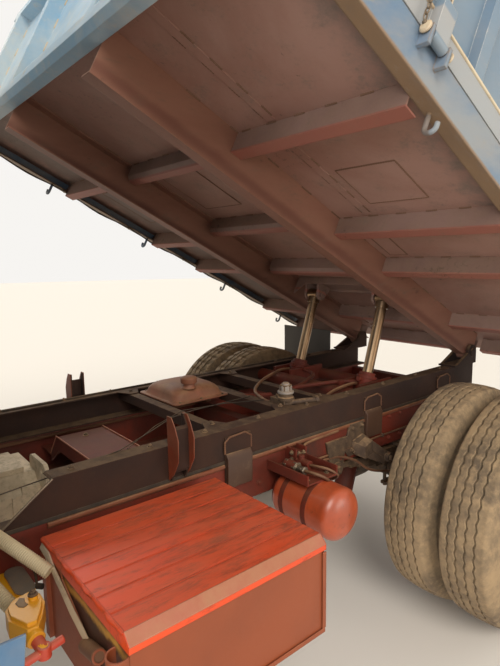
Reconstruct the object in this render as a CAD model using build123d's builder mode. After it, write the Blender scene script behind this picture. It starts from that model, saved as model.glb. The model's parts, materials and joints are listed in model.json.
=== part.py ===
"""Two-axle forward-control dump truck with a raised drop-side body, in millimetres.

+X is the truck's left, the truck faces -Y, +Z is up and the ground is z = 0.
The body is modelled lowered and then swung up about its rear hinge.
"""

from build123d import *
from math import atan2, cos, degrees, hypot, radians, sin
import os

os.makedirs("parts", exist_ok=True)

# Axles and wheels
REAR_AXLE_Y = 1369
WHEELBASE = 2900
TYRE_RADIUS = 510
TYRE_SECTION = 240
TREAD_WIDTH = 160
SHOULDER_DROP = 9
RIM_SEAT_RADIUS = 256
RIM_WIDTH = 178
RIM_WALL = 8
RIM_FLANGE = 20
DUAL_SPACING = 265
DUAL_FACE_X = 878
FRONT_TYRE_X = 860
DISC_WALL = 9
DRUM_RADIUS = 190
DRUM_WALL = 14
HUB_RADIUS = 82
HALF_SHAFT_RADIUS = 66
REAR_SPINDLE_RADIUS = 45
FRONT_SPINDLE_RADIUS = 34
RUNNING_FIT = 0.05
KING_PIN_X = 690
KING_PIN_RADIUS = 19
STEER_ARM_REACH = 170
STEER_ARM_INSET = 80
TRACK_ROD_RADIUS = 15

# Chassis frame
FRAME_HALF_WIDTH = 435
FRAME_ABOVE_AXLE = 180
RAIL_HEIGHT = 180
RAIL_FLANGE = 66
RAIL_WALL = 7
FRAME_INSET = 40
FRAME_BEHIND_HINGE = 50
CROSS_DEPTH = 120
CROSS_FLANGE = 60

# Subframe
SUB_HEIGHT = 126
SUB_FLANGE = 68
SUB_WALL = 6
SUB_FRONT_REACH = 1841
SUB_SPLAY = 158
STRAP_WALL = 8
STRAP_WIDTH = 124

# Body pivot and body
HINGE_BEHIND_AXLE = 617
HINGE_ABOVE_SUBFRAME = 66
HINGE_PIN_RADIUS = 24
BODY_TILT = 26.7
SILL_INNER_X = 372
SILL_FLANGE = 60
SILL_DEPTH = 160
SILL_BELOW_HINGE = 31
SILL_WALL = 6
BODY_HALF_WIDTH = 1196
CAB_TO_BODY = 197
BODY_REAR_REACH = 330
SIDE_RAIL_DEPTH = 106
SIDE_RAIL_FLANGE = 50
SIDE_RAIL_ABOVE_HINGE = 79
BEARER_DEPTH = 79
BEARER_FLANGE = 50
BEARER_WALL = 5
FLOOR_WALL = 5
GATE_HEIGHT = 450
GATE_THICKNESS = 38
GATE_GAP = 8
HEADBOARD_HEIGHT = 640
HEADBOARD_RIB = 60

# Rams
RAM_X = 250
RAM_FOOT_AHEAD = 130
RAM_FOOT_BELOW_SUB_TOP = 51
RAM_HEAD_REACH = 690
RAM_HEAD_ABOVE_HINGE = 40
BARREL_RADIUS = 50
BARREL_BELOW = 590
GLAND_ABOVE = 78
ROD_RADIUS = 28
TRUNNION_RADIUS = 22
EYE_RADIUS = 33
EYE_HALF_WIDTH = 34
EAR_WALL = 14
EAR_GAP = 7

# Cab
CAB_HALF_WIDTH = 1075
CAB_BEHIND_AXLE = 730
CAB_LENGTH = 1690
CAB_ABOVE_FRAME = 180
CAB_HEIGHT = 1440
CAB_WALL = 38
CAB_FLOOR_ABOVE = 75
CAB_WAIST_ABOVE = 590
NOSE_ABOVE_RAIL_FOOT = 70
DOOR_GAP = 6
GLASS_WALL = 6

# Derived stations
FRONT_AXLE_Y = REAR_AXLE_Y - WHEELBASE
AXLE_Z = TYRE_RADIUS
RAIL_LOW_Z = AXLE_Z + FRAME_ABOVE_AXLE
RAIL_TOP_Z = RAIL_LOW_Z + RAIL_HEIGHT
SUB_TOP_Z = RAIL_TOP_Z + SUB_HEIGHT
CAB_REAR_Y = FRONT_AXLE_Y + CAB_BEHIND_AXLE
CAB_FRONT_Y = CAB_REAR_Y - CAB_LENGTH
CAB_LOW_Z = RAIL_TOP_Z + CAB_ABOVE_FRAME
CAB_ROOF_Z = CAB_LOW_Z + CAB_HEIGHT
CAB_FLOOR_Z = CAB_LOW_Z + CAB_FLOOR_ABOVE
CAB_WAIST_Z = CAB_LOW_Z + CAB_WAIST_ABOVE
CAB_NOSE_LOW_Z = RAIL_LOW_Z + NOSE_ABOVE_RAIL_FOOT
HINGE_Y = REAR_AXLE_Y + HINGE_BEHIND_AXLE
HINGE_Z = SUB_TOP_Z + HINGE_ABOVE_SUBFRAME
FRAME_FRONT_Y = CAB_FRONT_Y + FRAME_INSET
FRAME_REAR_Y = HINGE_Y + FRAME_BEHIND_HINGE
RAM_FOOT_Y = REAR_AXLE_Y - RAM_FOOT_AHEAD
RAM_FOOT_Z = SUB_TOP_Z - RAM_FOOT_BELOW_SUB_TOP
SILL_LOW_Z = HINGE_Z - SILL_BELOW_HINGE
SILL_OUTER_X = SILL_INNER_X + SILL_FLANGE
FLOOR_LOW_Z = SILL_LOW_Z + SILL_DEPTH
SIDE_RAIL_LOW_Z = HINGE_Z + SIDE_RAIL_ABOVE_HINGE
SIDE_RAIL_TOP_Z = SIDE_RAIL_LOW_Z + SIDE_RAIL_DEPTH
BODY_FRONT_Y = CAB_REAR_Y + CAB_TO_BODY + HEADBOARD_RIB
BODY_REAR_Y = HINGE_Y + BODY_REAR_REACH
SIDES = (("left", 1), ("right", -1))


def block(x_span, y_span, z_span, mode=Mode.ADD):
    """Add a rectangular piece between two x, two y and two z values."""
    middle = [(low + high) / 2 for low, high in (x_span, y_span, z_span)]
    lengths = [abs(high - low) for low, high in (x_span, y_span, z_span)]
    with Locations(tuple(middle)):
        Box(*lengths, mode=mode)


def bar(start, end, radius, mode=Mode.ADD):
    """Add a round bar between two points."""
    run = Vector(*end) - Vector(*start)
    with Locations(Plane(origin=start, z_dir=run)):
        Cylinder(radius, run.length, align=(Align.CENTER, Align.CENTER, Align.MIN), mode=mode)


def c_section(back, low, opens, flange, height, wall):
    """Draw a C-section: its back at `back`, its mouth towards `opens` (1 or -1)."""
    with Locations((back + opens * flange / 2, low + height / 2)):
        Rectangle(flange, height)
    with Locations((back + opens * (flange + wall) / 2, low + height / 2)):
        Rectangle(flange - wall, height - 2 * wall, mode=Mode.SUBTRACT)


def channel_along_y(y_span, back, low, opens, flange, height, wall):
    """Add a channel that runs front to rear, its back at x = `back`."""
    with BuildSketch(Plane.XZ.offset(-y_span[0])) as profile:
        c_section(back, low, opens, flange, height, wall)
    extrude(profile.sketch, amount=-(y_span[1] - y_span[0]))


def channel_along_x(x_span, back, low, opens, flange, height, wall):
    """Add a channel that runs across, its back at y = `back`."""
    with BuildSketch(Plane.YZ.offset(x_span[0])) as profile:
        c_section(back, low, opens, flange, height, wall)
    extrude(profile.sketch, amount=x_span[1] - x_span[0])


def across(x_span, outline, mode=Mode.ADD):
    """Extrude a closed outline of (y, z) points between two x values."""
    with BuildSketch(Plane.YZ.offset(x_span[0])) as profile:
        with BuildLine():
            Polyline(*outline, close=True)
        make_face()
    extrude(profile.sketch, amount=x_span[1] - x_span[0], mode=mode)


def pipe(points, bend, radius, mode=Mode.ADD):
    """Add a round pipe along straight runs whose corners are rounded to `bend`."""
    with BuildLine() as route:
        FilletPolyline(*points, radius=bend)
    with BuildSketch(Plane(origin=points[0], z_dir=Vector(*points[1]) - Vector(*points[0]))) as section:
        Circle(radius)
    sweep(section.sketch, path=route.line, mode=mode)


def tipped(piece):
    """Swing a piece of the lowered body up about the rear hinge."""
    return piece.rotate(Axis((0, HINGE_Y, HINGE_Z), (1, 0, 0)), -BODY_TILT)


def at_body(reach, above=0.0):
    """Point (y, z) on the raised body, `reach` ahead of the hinge and `above` it."""
    tilt = radians(BODY_TILT)
    return (HINGE_Y - reach * cos(tilt) + above * sin(tilt),
            HINGE_Z + reach * sin(tilt) + above * cos(tilt))


RAM_HEAD_Y, RAM_HEAD_Z = at_body(RAM_HEAD_REACH, RAM_HEAD_ABOVE_HINGE)
RAM_LENGTH = hypot(RAM_HEAD_Y - RAM_FOOT_Y, RAM_HEAD_Z - RAM_FOOT_Z)
RAM_LEAN = degrees(atan2(RAM_HEAD_Y - RAM_FOOT_Y, RAM_HEAD_Z - RAM_FOOT_Z))


def leaned(piece):
    """Lean an upright ram back about its trunnions."""
    return piece.rotate(Axis((0, RAM_FOOT_Y, RAM_FOOT_Z), (1, 0, 0)), -RAM_LEAN)


# Chassis rails: two channels, mouths inward
with BuildPart() as chassis_rails:
    for _, side in SIDES:
        channel_along_y((FRAME_FRONT_Y, FRAME_REAR_Y), side * FRAME_HALF_WIDTH, RAIL_LOW_Z,
                        -side, RAIL_FLANGE, RAIL_HEIGHT, RAIL_WALL)
chassis_rails.part.label = "chassis_rails"
export_step(chassis_rails.part, "parts/chassis_rails.step")

# The crossmember midway from the gearbox to the oil tank is a pressed arch with flared ends
ENGINE_BEHIND_AXLE = 330
GEARBOX_LENGTH = 780
OIL_AHEAD = 1165
GEARBOX_REAR_Y = FRONT_AXLE_Y + ENGINE_BEHIND_AXLE + GEARBOX_LENGTH
ARCH_AHEAD_OF_MIDDLE = 22.5
ARCH_Y = (GEARBOX_REAR_Y + REAR_AXLE_Y - OIL_AHEAD) / 2 - ARCH_AHEAD_OF_MIDDLE
ARCH_HALF_LENGTH = 105
ARCH_TOP_Z = RAIL_TOP_Z + 22
ARCH_FOOT_Z = RAIL_LOW_Z + 100
ARCH_FOOT_X = 300
ARCH_CROWN_X = 220
ARCH_WALL = 6
ARCH_FLARE = 55

# Crossmembers between the webs: plain channels by the y of their backs, and the arch
RAIL_WEB_X = FRAME_HALF_WIDTH - RAIL_WALL
CROSS_LOW_Z = RAIL_LOW_Z + (RAIL_HEIGHT - CROSS_DEPTH) / 2
CROSS_YS = (FRAME_FRONT_Y + 60, REAR_AXLE_Y - 770, REAR_AXLE_Y + 370, FRAME_REAR_Y - 67)
with BuildPart() as chassis_crossmembers:
    for cross_y in CROSS_YS:
        channel_along_x((-RAIL_WEB_X, RAIL_WEB_X), cross_y, CROSS_LOW_Z,
                        1, CROSS_FLANGE, CROSS_DEPTH, RAIL_WALL)
    with BuildSketch(Plane.XZ.offset(-(ARCH_Y - ARCH_HALF_LENGTH))) as arch_face:
        with BuildLine():
            Polyline((-RAIL_WEB_X, ARCH_FOOT_Z), (-RAIL_WEB_X, ARCH_FOOT_Z + ARCH_WALL),
                     (-ARCH_FOOT_X, ARCH_FOOT_Z + ARCH_WALL), (-ARCH_CROWN_X, ARCH_TOP_Z),
                     (ARCH_CROWN_X, ARCH_TOP_Z), (ARCH_FOOT_X, ARCH_FOOT_Z + ARCH_WALL),
                     (RAIL_WEB_X, ARCH_FOOT_Z + ARCH_WALL), (RAIL_WEB_X, ARCH_FOOT_Z),
                     (ARCH_FOOT_X - 4, ARCH_FOOT_Z), (ARCH_CROWN_X - 4, ARCH_TOP_Z - ARCH_WALL),
                     (-ARCH_CROWN_X + 4, ARCH_TOP_Z - ARCH_WALL), (-ARCH_FOOT_X + 4, ARCH_FOOT_Z),
                     close=True)
        make_face()
    extrude(arch_face.sketch, amount=-2 * ARCH_HALF_LENGTH)
    for y_edge in (ARCH_Y - ARCH_HALF_LENGTH, ARCH_Y + ARCH_HALF_LENGTH - ARCH_WALL):
        with BuildSketch(Plane.XZ.offset(-y_edge)) as lip:
            with BuildLine():
                Polyline((-ARCH_FOOT_X, ARCH_FOOT_Z + ARCH_WALL), (-ARCH_CROWN_X, ARCH_TOP_Z),
                         (ARCH_CROWN_X, ARCH_TOP_Z), (ARCH_FOOT_X, ARCH_FOOT_Z + ARCH_WALL),
                         (ARCH_FOOT_X, ARCH_FOOT_Z - ARCH_FLARE + 30),
                         (ARCH_CROWN_X - 14, ARCH_TOP_Z - ARCH_FLARE),
                         (-ARCH_CROWN_X + 14, ARCH_TOP_Z - ARCH_FLARE),
                         (-ARCH_FOOT_X, ARCH_FOOT_Z - ARCH_FLARE + 30), close=True)
            make_face()
        extrude(lip.sketch, amount=-ARCH_WALL)
chassis_crossmembers.part.label = "chassis_crossmembers"
export_step(chassis_crossmembers.part, "parts/chassis_crossmembers.step")

# Subframe rails: channels on the chassis rails with sloped front ends, and the straps that tie them
# down, by their distance ahead of the rear axle
SUB_FRONT_Y = REAR_AXLE_Y - SUB_FRONT_REACH
SUB_FOOT_Y = SUB_FRONT_Y - SUB_SPLAY
STRAP_STATIONS = (1145, 312, -328)
STRAP_LOW_Z = RAIL_LOW_Z + 85
STRAP_TOP_Z = SUB_TOP_Z - 28
with BuildPart() as subframe_rails:
    for _, side in SIDES:
        channel_along_y((SUB_FOOT_Y, FRAME_REAR_Y), side * FRAME_HALF_WIDTH, RAIL_TOP_Z,
                        -side, SUB_FLANGE, SUB_HEIGHT, SUB_WALL)
    across((-FRAME_HALF_WIDTH - 1, FRAME_HALF_WIDTH + 1),
           ((SUB_FOOT_Y - 1, RAIL_TOP_Z + SUB_WALL), (SUB_FOOT_Y - 1, SUB_TOP_Z + 1),
            (SUB_FRONT_Y, SUB_TOP_Z + 1), (SUB_FOOT_Y, RAIL_TOP_Z + SUB_WALL)), Mode.SUBTRACT)
    for _, side in SIDES:
        for ahead in STRAP_STATIONS:
            block((side * FRAME_HALF_WIDTH, side * (FRAME_HALF_WIDTH + STRAP_WALL)),
                  (REAR_AXLE_Y - ahead - STRAP_WIDTH / 2, REAR_AXLE_Y - ahead + STRAP_WIDTH / 2),
                  (STRAP_LOW_Z, STRAP_TOP_Z))
subframe_rails.part.label = "subframe_rails"
export_step(subframe_rails.part, "parts/subframe_rails.step")

# Subframe cross bars: angles, by their distance ahead of the rear axle
SUB_WEB_X = FRAME_HALF_WIDTH - SUB_WALL
BAR_LEG = 44
BAR_WALL = 6
SUB_BAR_STATIONS = (1215, 850, 600)
STAY_RADIUS = 16
STAY_STATIONS = ((REAR_AXLE_Y - 705, SUB_TOP_Z - 60), (REAR_AXLE_Y - 480, SUB_TOP_Z - 70))
with BuildPart() as subframe_bars:
    for ahead in SUB_BAR_STATIONS:
        bar_y = REAR_AXLE_Y - ahead
        bar_top = SUB_TOP_Z - SUB_WALL
        block((-SUB_WEB_X, SUB_WEB_X), (bar_y, bar_y + BAR_LEG), (bar_top - BAR_WALL, bar_top))
        block((-SUB_WEB_X, SUB_WEB_X), (bar_y, bar_y + BAR_WALL), (bar_top - BAR_LEG, bar_top))
    for stay_y, stay_z in STAY_STATIONS:
        bar((-SUB_WEB_X, stay_y, stay_z), (SUB_WEB_X, stay_y, stay_z), STAY_RADIUS)
subframe_bars.part.label = "subframe_bars"
export_step(subframe_bars.part, "parts/subframe_bars.step")

# Body guides: folded posts on the subframe's webs
GUIDE_AHEAD = 1416
GUIDE_WIDTH = 62
GUIDE_DEPTH = 36
GUIDE_WALL = 6
GUIDE_LOW_Z = RAIL_TOP_Z + 2
GUIDE_TOP_Z = SUB_TOP_Z + 106
GUIDE_TAPER = 46
GUIDE_Y = REAR_AXLE_Y - GUIDE_AHEAD
with BuildPart() as body_guides:
    for _, side in SIDES:
        inner_x = side * FRAME_HALF_WIDTH
        outer_x = side * (FRAME_HALF_WIDTH + GUIDE_DEPTH)
        block((inner_x, outer_x), (GUIDE_Y - GUIDE_WIDTH / 2, GUIDE_Y + GUIDE_WIDTH / 2),
              (GUIDE_LOW_Z, GUIDE_TOP_Z))
        block((inner_x, outer_x - side * GUIDE_WALL),
              (GUIDE_Y - GUIDE_WIDTH / 2 + GUIDE_WALL, GUIDE_Y + GUIDE_WIDTH / 2 - GUIDE_WALL),
              (GUIDE_LOW_Z, GUIDE_TOP_Z), Mode.SUBTRACT)
    for _, side in SIDES:
        for edge_z, slope in ((GUIDE_TOP_Z, GUIDE_TAPER), (GUIDE_LOW_Z, -GUIDE_TAPER)):
            outer_x = side * (FRAME_HALF_WIDTH + GUIDE_DEPTH + 1)
            with BuildSketch(Plane.XZ.offset(-(GUIDE_Y - GUIDE_WIDTH))) as taper:
                with BuildLine():
                    Polyline((outer_x, edge_z), (outer_x - side * (GUIDE_DEPTH - 12), edge_z),
                             (outer_x, edge_z - slope), close=True)
                make_face()
            extrude(taper.sketch, amount=-2 * GUIDE_WIDTH, mode=Mode.SUBTRACT)
body_guides.part.label = "body_guides"
export_step(body_guides.part, "parts/body_guides.step")

# Rear pivot brackets: two ears a side with the hinge pin between them
PIVOT_EAR_WALL = 16
PIVOT_EAR_GAP = 6
PIVOT_EAR_RADIUS = 46
PIVOT_FOOT_AHEAD = 190
PIVOT_FOOT_BEHIND = 46
with BuildPart() as rear_pivots:
    for _, side in SIDES:
        ear_spans = ((SILL_INNER_X - PIVOT_EAR_GAP - PIVOT_EAR_WALL, SILL_INNER_X - PIVOT_EAR_GAP),
                     (SILL_OUTER_X + PIVOT_EAR_GAP, SILL_OUTER_X + PIVOT_EAR_GAP + PIVOT_EAR_WALL))
        for low_x, high_x in ear_spans:
            span = (side * low_x, side * high_x) if side > 0 else (-high_x, -low_x)
            with BuildSketch(Plane.YZ.offset(span[0])) as ear:
                with Locations((HINGE_Y, HINGE_Z)):
                    Circle(PIVOT_EAR_RADIUS)
                with BuildLine():
                    Polyline((HINGE_Y - PIVOT_FOOT_AHEAD, SUB_TOP_Z),
                             (HINGE_Y + PIVOT_FOOT_BEHIND, SUB_TOP_Z),
                             (HINGE_Y + PIVOT_EAR_RADIUS, HINGE_Z),
                             (HINGE_Y - PIVOT_EAR_RADIUS, HINGE_Z), close=True)
                make_face()
            extrude(ear.sketch, amount=PIVOT_EAR_WALL)
        bar((side * ear_spans[0][0], HINGE_Y, HINGE_Z), (side * (ear_spans[1][1] + 8), HINGE_Y, HINGE_Z),
            HINGE_PIN_RADIUS)
        block((side * (ear_spans[0][0]), side * ear_spans[1][1]),
              (HINGE_Y - PIVOT_FOOT_AHEAD, HINGE_Y + PIVOT_FOOT_BEHIND), (SUB_TOP_Z, SUB_TOP_Z + 10))
rear_pivots.part.label = "rear_pivots"
export_step(rear_pivots.part, "parts/rear_pivots.step")

# Lift cradle: two cross tubes with four cheek plates that carry the rams' trunnions
CRADLE_TUBE_RADIUS = 36
CRADLE_TUBE_OFFSET = 132
CHEEK_WALL = 18
CHEEK_GAP = 8
CHEEK_HALF_HEIGHT = 42
CHEEK_INNER = BARREL_RADIUS + CHEEK_GAP
with BuildPart() as lift_cradle:
    for offset_y in (-CRADLE_TUBE_OFFSET, CRADLE_TUBE_OFFSET):
        bar((-SUB_WEB_X, RAM_FOOT_Y + offset_y, RAM_FOOT_Z - 20),
            (SUB_WEB_X, RAM_FOOT_Y + offset_y, RAM_FOOT_Z - 20), CRADLE_TUBE_RADIUS)
    for ram_side in (-1, 1):
        for cheek_side in (-1, 1):
            cheek_x = ram_side * RAM_X + cheek_side * (CHEEK_INNER + CHEEK_WALL / 2)
            block((cheek_x - CHEEK_WALL / 2, cheek_x + CHEEK_WALL / 2),
                  (RAM_FOOT_Y - CRADLE_TUBE_OFFSET, RAM_FOOT_Y + CRADLE_TUBE_OFFSET),
                  (RAM_FOOT_Z - CHEEK_HALF_HEIGHT, RAM_FOOT_Z + CHEEK_HALF_HEIGHT))
    bar((-SUB_WEB_X + 5, RAM_FOOT_Y, RAM_FOOT_Z), (SUB_WEB_X - 5, RAM_FOOT_Y, RAM_FOOT_Z),
        TRUNNION_RADIUS + RUNNING_FIT, Mode.SUBTRACT)
lift_cradle.part.label = "lift_cradle"
export_step(lift_cradle.part, "parts/lift_cradle.step")

# Rams: a barrel on trunnions and a rod with its eye, upright first and then leaned back
BARREL_BORE_RADIUS = ROD_RADIUS + RUNNING_FIT
RING_ABOVES = (44, -BARREL_BELOW)
RING_HEIGHT = 16
RING_RADIUS = CHEEK_INNER - 5
PORT_ABOVE = 34
PORT_REACH = 72
PORT_RADIUS = 13
COLLAR_RADIUS = 36
COLLAR_BELOW_EYE = 55
for side_name, side in SIDES:
    ram_x = side * RAM_X
    with BuildPart() as ram_barrel:
        bar((ram_x, RAM_FOOT_Y, RAM_FOOT_Z - BARREL_BELOW),
            (ram_x, RAM_FOOT_Y, RAM_FOOT_Z + GLAND_ABOVE - 24), BARREL_RADIUS)
        bar((ram_x, RAM_FOOT_Y, RAM_FOOT_Z + GLAND_ABOVE - 24),
            (ram_x, RAM_FOOT_Y, RAM_FOOT_Z + GLAND_ABOVE), BARREL_RADIUS - 8)
        for ring_above in RING_ABOVES:
            bar((ram_x, RAM_FOOT_Y, RAM_FOOT_Z + ring_above),
                (ram_x, RAM_FOOT_Y, RAM_FOOT_Z + ring_above + RING_HEIGHT), RING_RADIUS)
        bar((ram_x, RAM_FOOT_Y, RAM_FOOT_Z + PORT_ABOVE),
            (ram_x, RAM_FOOT_Y - PORT_REACH, RAM_FOOT_Z + PORT_ABOVE), PORT_RADIUS)
        trunnion_reach = CHEEK_INNER + CHEEK_WALL
        bar((ram_x - trunnion_reach, RAM_FOOT_Y, RAM_FOOT_Z),
            (ram_x + trunnion_reach, RAM_FOOT_Y, RAM_FOOT_Z), TRUNNION_RADIUS)
        bar((ram_x, RAM_FOOT_Y, RAM_FOOT_Z - BARREL_BELOW + 20),
            (ram_x, RAM_FOOT_Y, RAM_FOOT_Z + GLAND_ABOVE), BARREL_BORE_RADIUS, Mode.SUBTRACT)
    ram_barrel.part = leaned(ram_barrel.part)
    ram_barrel.part.label = f"ram_barrel_{side_name}"
    export_step(ram_barrel.part, f"parts/ram_barrel_{side_name}.step")
    eye_z = RAM_FOOT_Z + RAM_LENGTH
    with BuildPart() as ram_rod:
        bar((ram_x, RAM_FOOT_Y, RAM_FOOT_Z - 210), (ram_x, RAM_FOOT_Y, eye_z), ROD_RADIUS)
        bar((ram_x - EYE_HALF_WIDTH, RAM_FOOT_Y, eye_z), (ram_x + EYE_HALF_WIDTH, RAM_FOOT_Y, eye_z),
            EYE_RADIUS)
        bar((ram_x, RAM_FOOT_Y, eye_z - COLLAR_BELOW_EYE), (ram_x, RAM_FOOT_Y, eye_z - 20), COLLAR_RADIUS)
    ram_rod.part = leaned(ram_rod.part)
    ram_rod.part.label = f"ram_rod_{side_name}"
    export_step(ram_rod.part, f"parts/ram_rod_{side_name}.step")

# Body sills: channels along the body, mouths inward, each ending in the hinge eye
SILL_REAR_Y = HINGE_Y + 40
with BuildPart() as body_sills:
    for _, side in SIDES:
        channel_along_y((BODY_FRONT_Y, SILL_REAR_Y), side * SILL_OUTER_X, SILL_LOW_Z,
                        -side, SILL_FLANGE, SILL_DEPTH, SILL_WALL)
        across(sorted((side * (SILL_INNER_X - 1), side * (SILL_OUTER_X + 1))),
               ((HINGE_Y - 40, SILL_LOW_Z - 1), (SILL_REAR_Y + 1, SILL_LOW_Z - 1),
                (SILL_REAR_Y + 1, HINGE_Z)), Mode.SUBTRACT)
        bar((side * SILL_INNER_X, HINGE_Y, HINGE_Z), (side * SILL_OUTER_X, HINGE_Y, HINGE_Z), 42)
        bar((side * SILL_INNER_X, HINGE_Y, HINGE_Z), (side * SILL_OUTER_X, HINGE_Y, HINGE_Z),
            HINGE_PIN_RADIUS + RUNNING_FIT, Mode.SUBTRACT)
body_sills.part = tipped(body_sills.part)
body_sills.part.label = "body_sills"
export_step(body_sills.part, "parts/body_sills.step")

# Cross-bearers by reach from the hinge: open channels out to the side rails, and pressed hats, whose
# lower corners are bevelled, between the sills
OUTER_REACHES = (2000, 1380, 1000, 300, -120)
INNER_REACHES = (2000, 1480, 1000, 300, -120)
RAIL_INNER_X = BODY_HALF_WIDTH - SIDE_RAIL_FLANGE
BEARER_LOW_Z = FLOOR_LOW_Z - BEARER_DEPTH
HAT_WIDTH = 72
HAT_BEVEL = 20
BEAM_HALF_LENGTH = 60
BEAM_WALL = 30
BEAM_LIP = 14
LIP_WALL = 8
EAR_RADIUS = 36
GUSSET_LEG = 84
GUSSET_WALL = 8
PIN_HEAD_RADIUS = 20


def hat_outline(front_y, wall):
    """Outline (y, z) of a pressed hat, shrunk by `wall` on all sides but its top."""
    low = BEARER_LOW_Z + wall
    return ((front_y + wall, FLOOR_LOW_Z + min(wall, 1)),
            (front_y + wall, BEARER_LOW_Z + HAT_BEVEL + wall / 2),
            (front_y + HAT_BEVEL + wall / 2, low), (front_y + HAT_WIDTH - HAT_BEVEL - wall / 2, low),
            (front_y + HAT_WIDTH - wall, BEARER_LOW_Z + HAT_BEVEL + wall / 2),
            (front_y + HAT_WIDTH - wall, FLOOR_LOW_Z + min(wall, 1)))


with BuildPart() as body_bearers:
    for reach in INNER_REACHES:
        across((-SILL_INNER_X, SILL_INNER_X), hat_outline(HINGE_Y - reach, 0))
        across((-SILL_INNER_X, SILL_INNER_X), hat_outline(HINGE_Y - reach, BEARER_WALL), Mode.SUBTRACT)
    for reach in OUTER_REACHES:
        for x_span in ((-RAIL_INNER_X, -SILL_OUTER_X), (SILL_OUTER_X, RAIL_INNER_X)):
            channel_along_x(x_span, HINGE_Y - reach, BEARER_LOW_Z, 1, BEARER_FLANGE, BEARER_DEPTH,
                            BEARER_WALL)
    # Lift beam with its lips, its gussets on the sills and its four round-ended ears
    beam_y = HINGE_Y - RAM_HEAD_REACH
    pin_z = HINGE_Z + RAM_HEAD_ABOVE_HINGE
    beam_low_z = FLOOR_LOW_Z - BEAM_WALL
    block((-SILL_INNER_X, SILL_INNER_X), (beam_y - BEAM_HALF_LENGTH, beam_y + BEAM_HALF_LENGTH),
          (beam_low_z, FLOOR_LOW_Z))
    for lip_y in (beam_y - BEAM_HALF_LENGTH, beam_y + BEAM_HALF_LENGTH - LIP_WALL):
        block((-SILL_INNER_X, SILL_INNER_X), (lip_y, lip_y + LIP_WALL), (beam_low_z - BEAM_LIP, beam_low_z))
        for _, side in SIDES:
            with BuildSketch(Plane.XZ.offset(-lip_y)) as gusset:
                with BuildLine():
                    Polyline((side * SILL_INNER_X, beam_low_z),
                             (side * (SILL_INNER_X - GUSSET_LEG), beam_low_z),
                             (side * SILL_INNER_X, beam_low_z - GUSSET_LEG), close=True)
                make_face()
            extrude(gusset.sketch, amount=-GUSSET_WALL)
    for ram_side in (-1, 1):
        for ear_side in (-1, 1):
            ear_x = ram_side * RAM_X + ear_side * (EYE_HALF_WIDTH + EAR_GAP + EAR_WALL / 2)
            with BuildSketch(Plane.YZ.offset(ear_x - EAR_WALL / 2)) as ear:
                with Locations((beam_y, pin_z)):
                    Circle(EAR_RADIUS)
                with BuildLine():
                    Polyline((beam_y - BEAM_HALF_LENGTH + 2, beam_low_z),
                             (beam_y + BEAM_HALF_LENGTH - 2, beam_low_z),
                             (beam_y + EAR_RADIUS, pin_z), (beam_y - EAR_RADIUS, pin_z), close=True)
                make_face()
            extrude(ear.sketch, amount=EAR_WALL)
            outer_x = ear_x + ear_side * EAR_WALL / 2
            bar((outer_x, beam_y, pin_z), (outer_x + ear_side * 12, beam_y, pin_z), PIN_HEAD_RADIUS)
body_bearers.part = tipped(body_bearers.part)
body_bearers.part.label = "body_bearers"
export_step(body_bearers.part, "parts/body_bearers.step")

# Side rails with the drop-side hinge pins on them, and the rear posts with the tailgate's pins
GATE_LOW_Z = SIDE_RAIL_TOP_Z + GATE_GAP
POST_SIZE = 60
POST_TOP_Z = GATE_LOW_Z + GATE_HEIGHT + 70
TAIL_PIN_RADIUS = 12
TAIL_PIN_Z = POST_TOP_Z - 30
TAIL_PIN_Y = BODY_REAR_Y - 30
GATE_HINGE_REACHES = (2040, 1080, 120)
GATE_PIN_RADIUS = 8
GATE_PIN_X = BODY_HALF_WIDTH + 18
GATE_PIN_Z = SIDE_RAIL_TOP_Z - 8
GATE_KNUCKLE_HALF = 30
LUG_WALL = 12
HOOK_RADIUS = 7
HOOK_DROP = 58
HOOK_REACH = 34
HOOK_RISE = 26
HOOK_BEND = 15
HOOK_ROOT_X = BODY_HALF_WIDTH - SIDE_RAIL_FLANGE + 14
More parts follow.
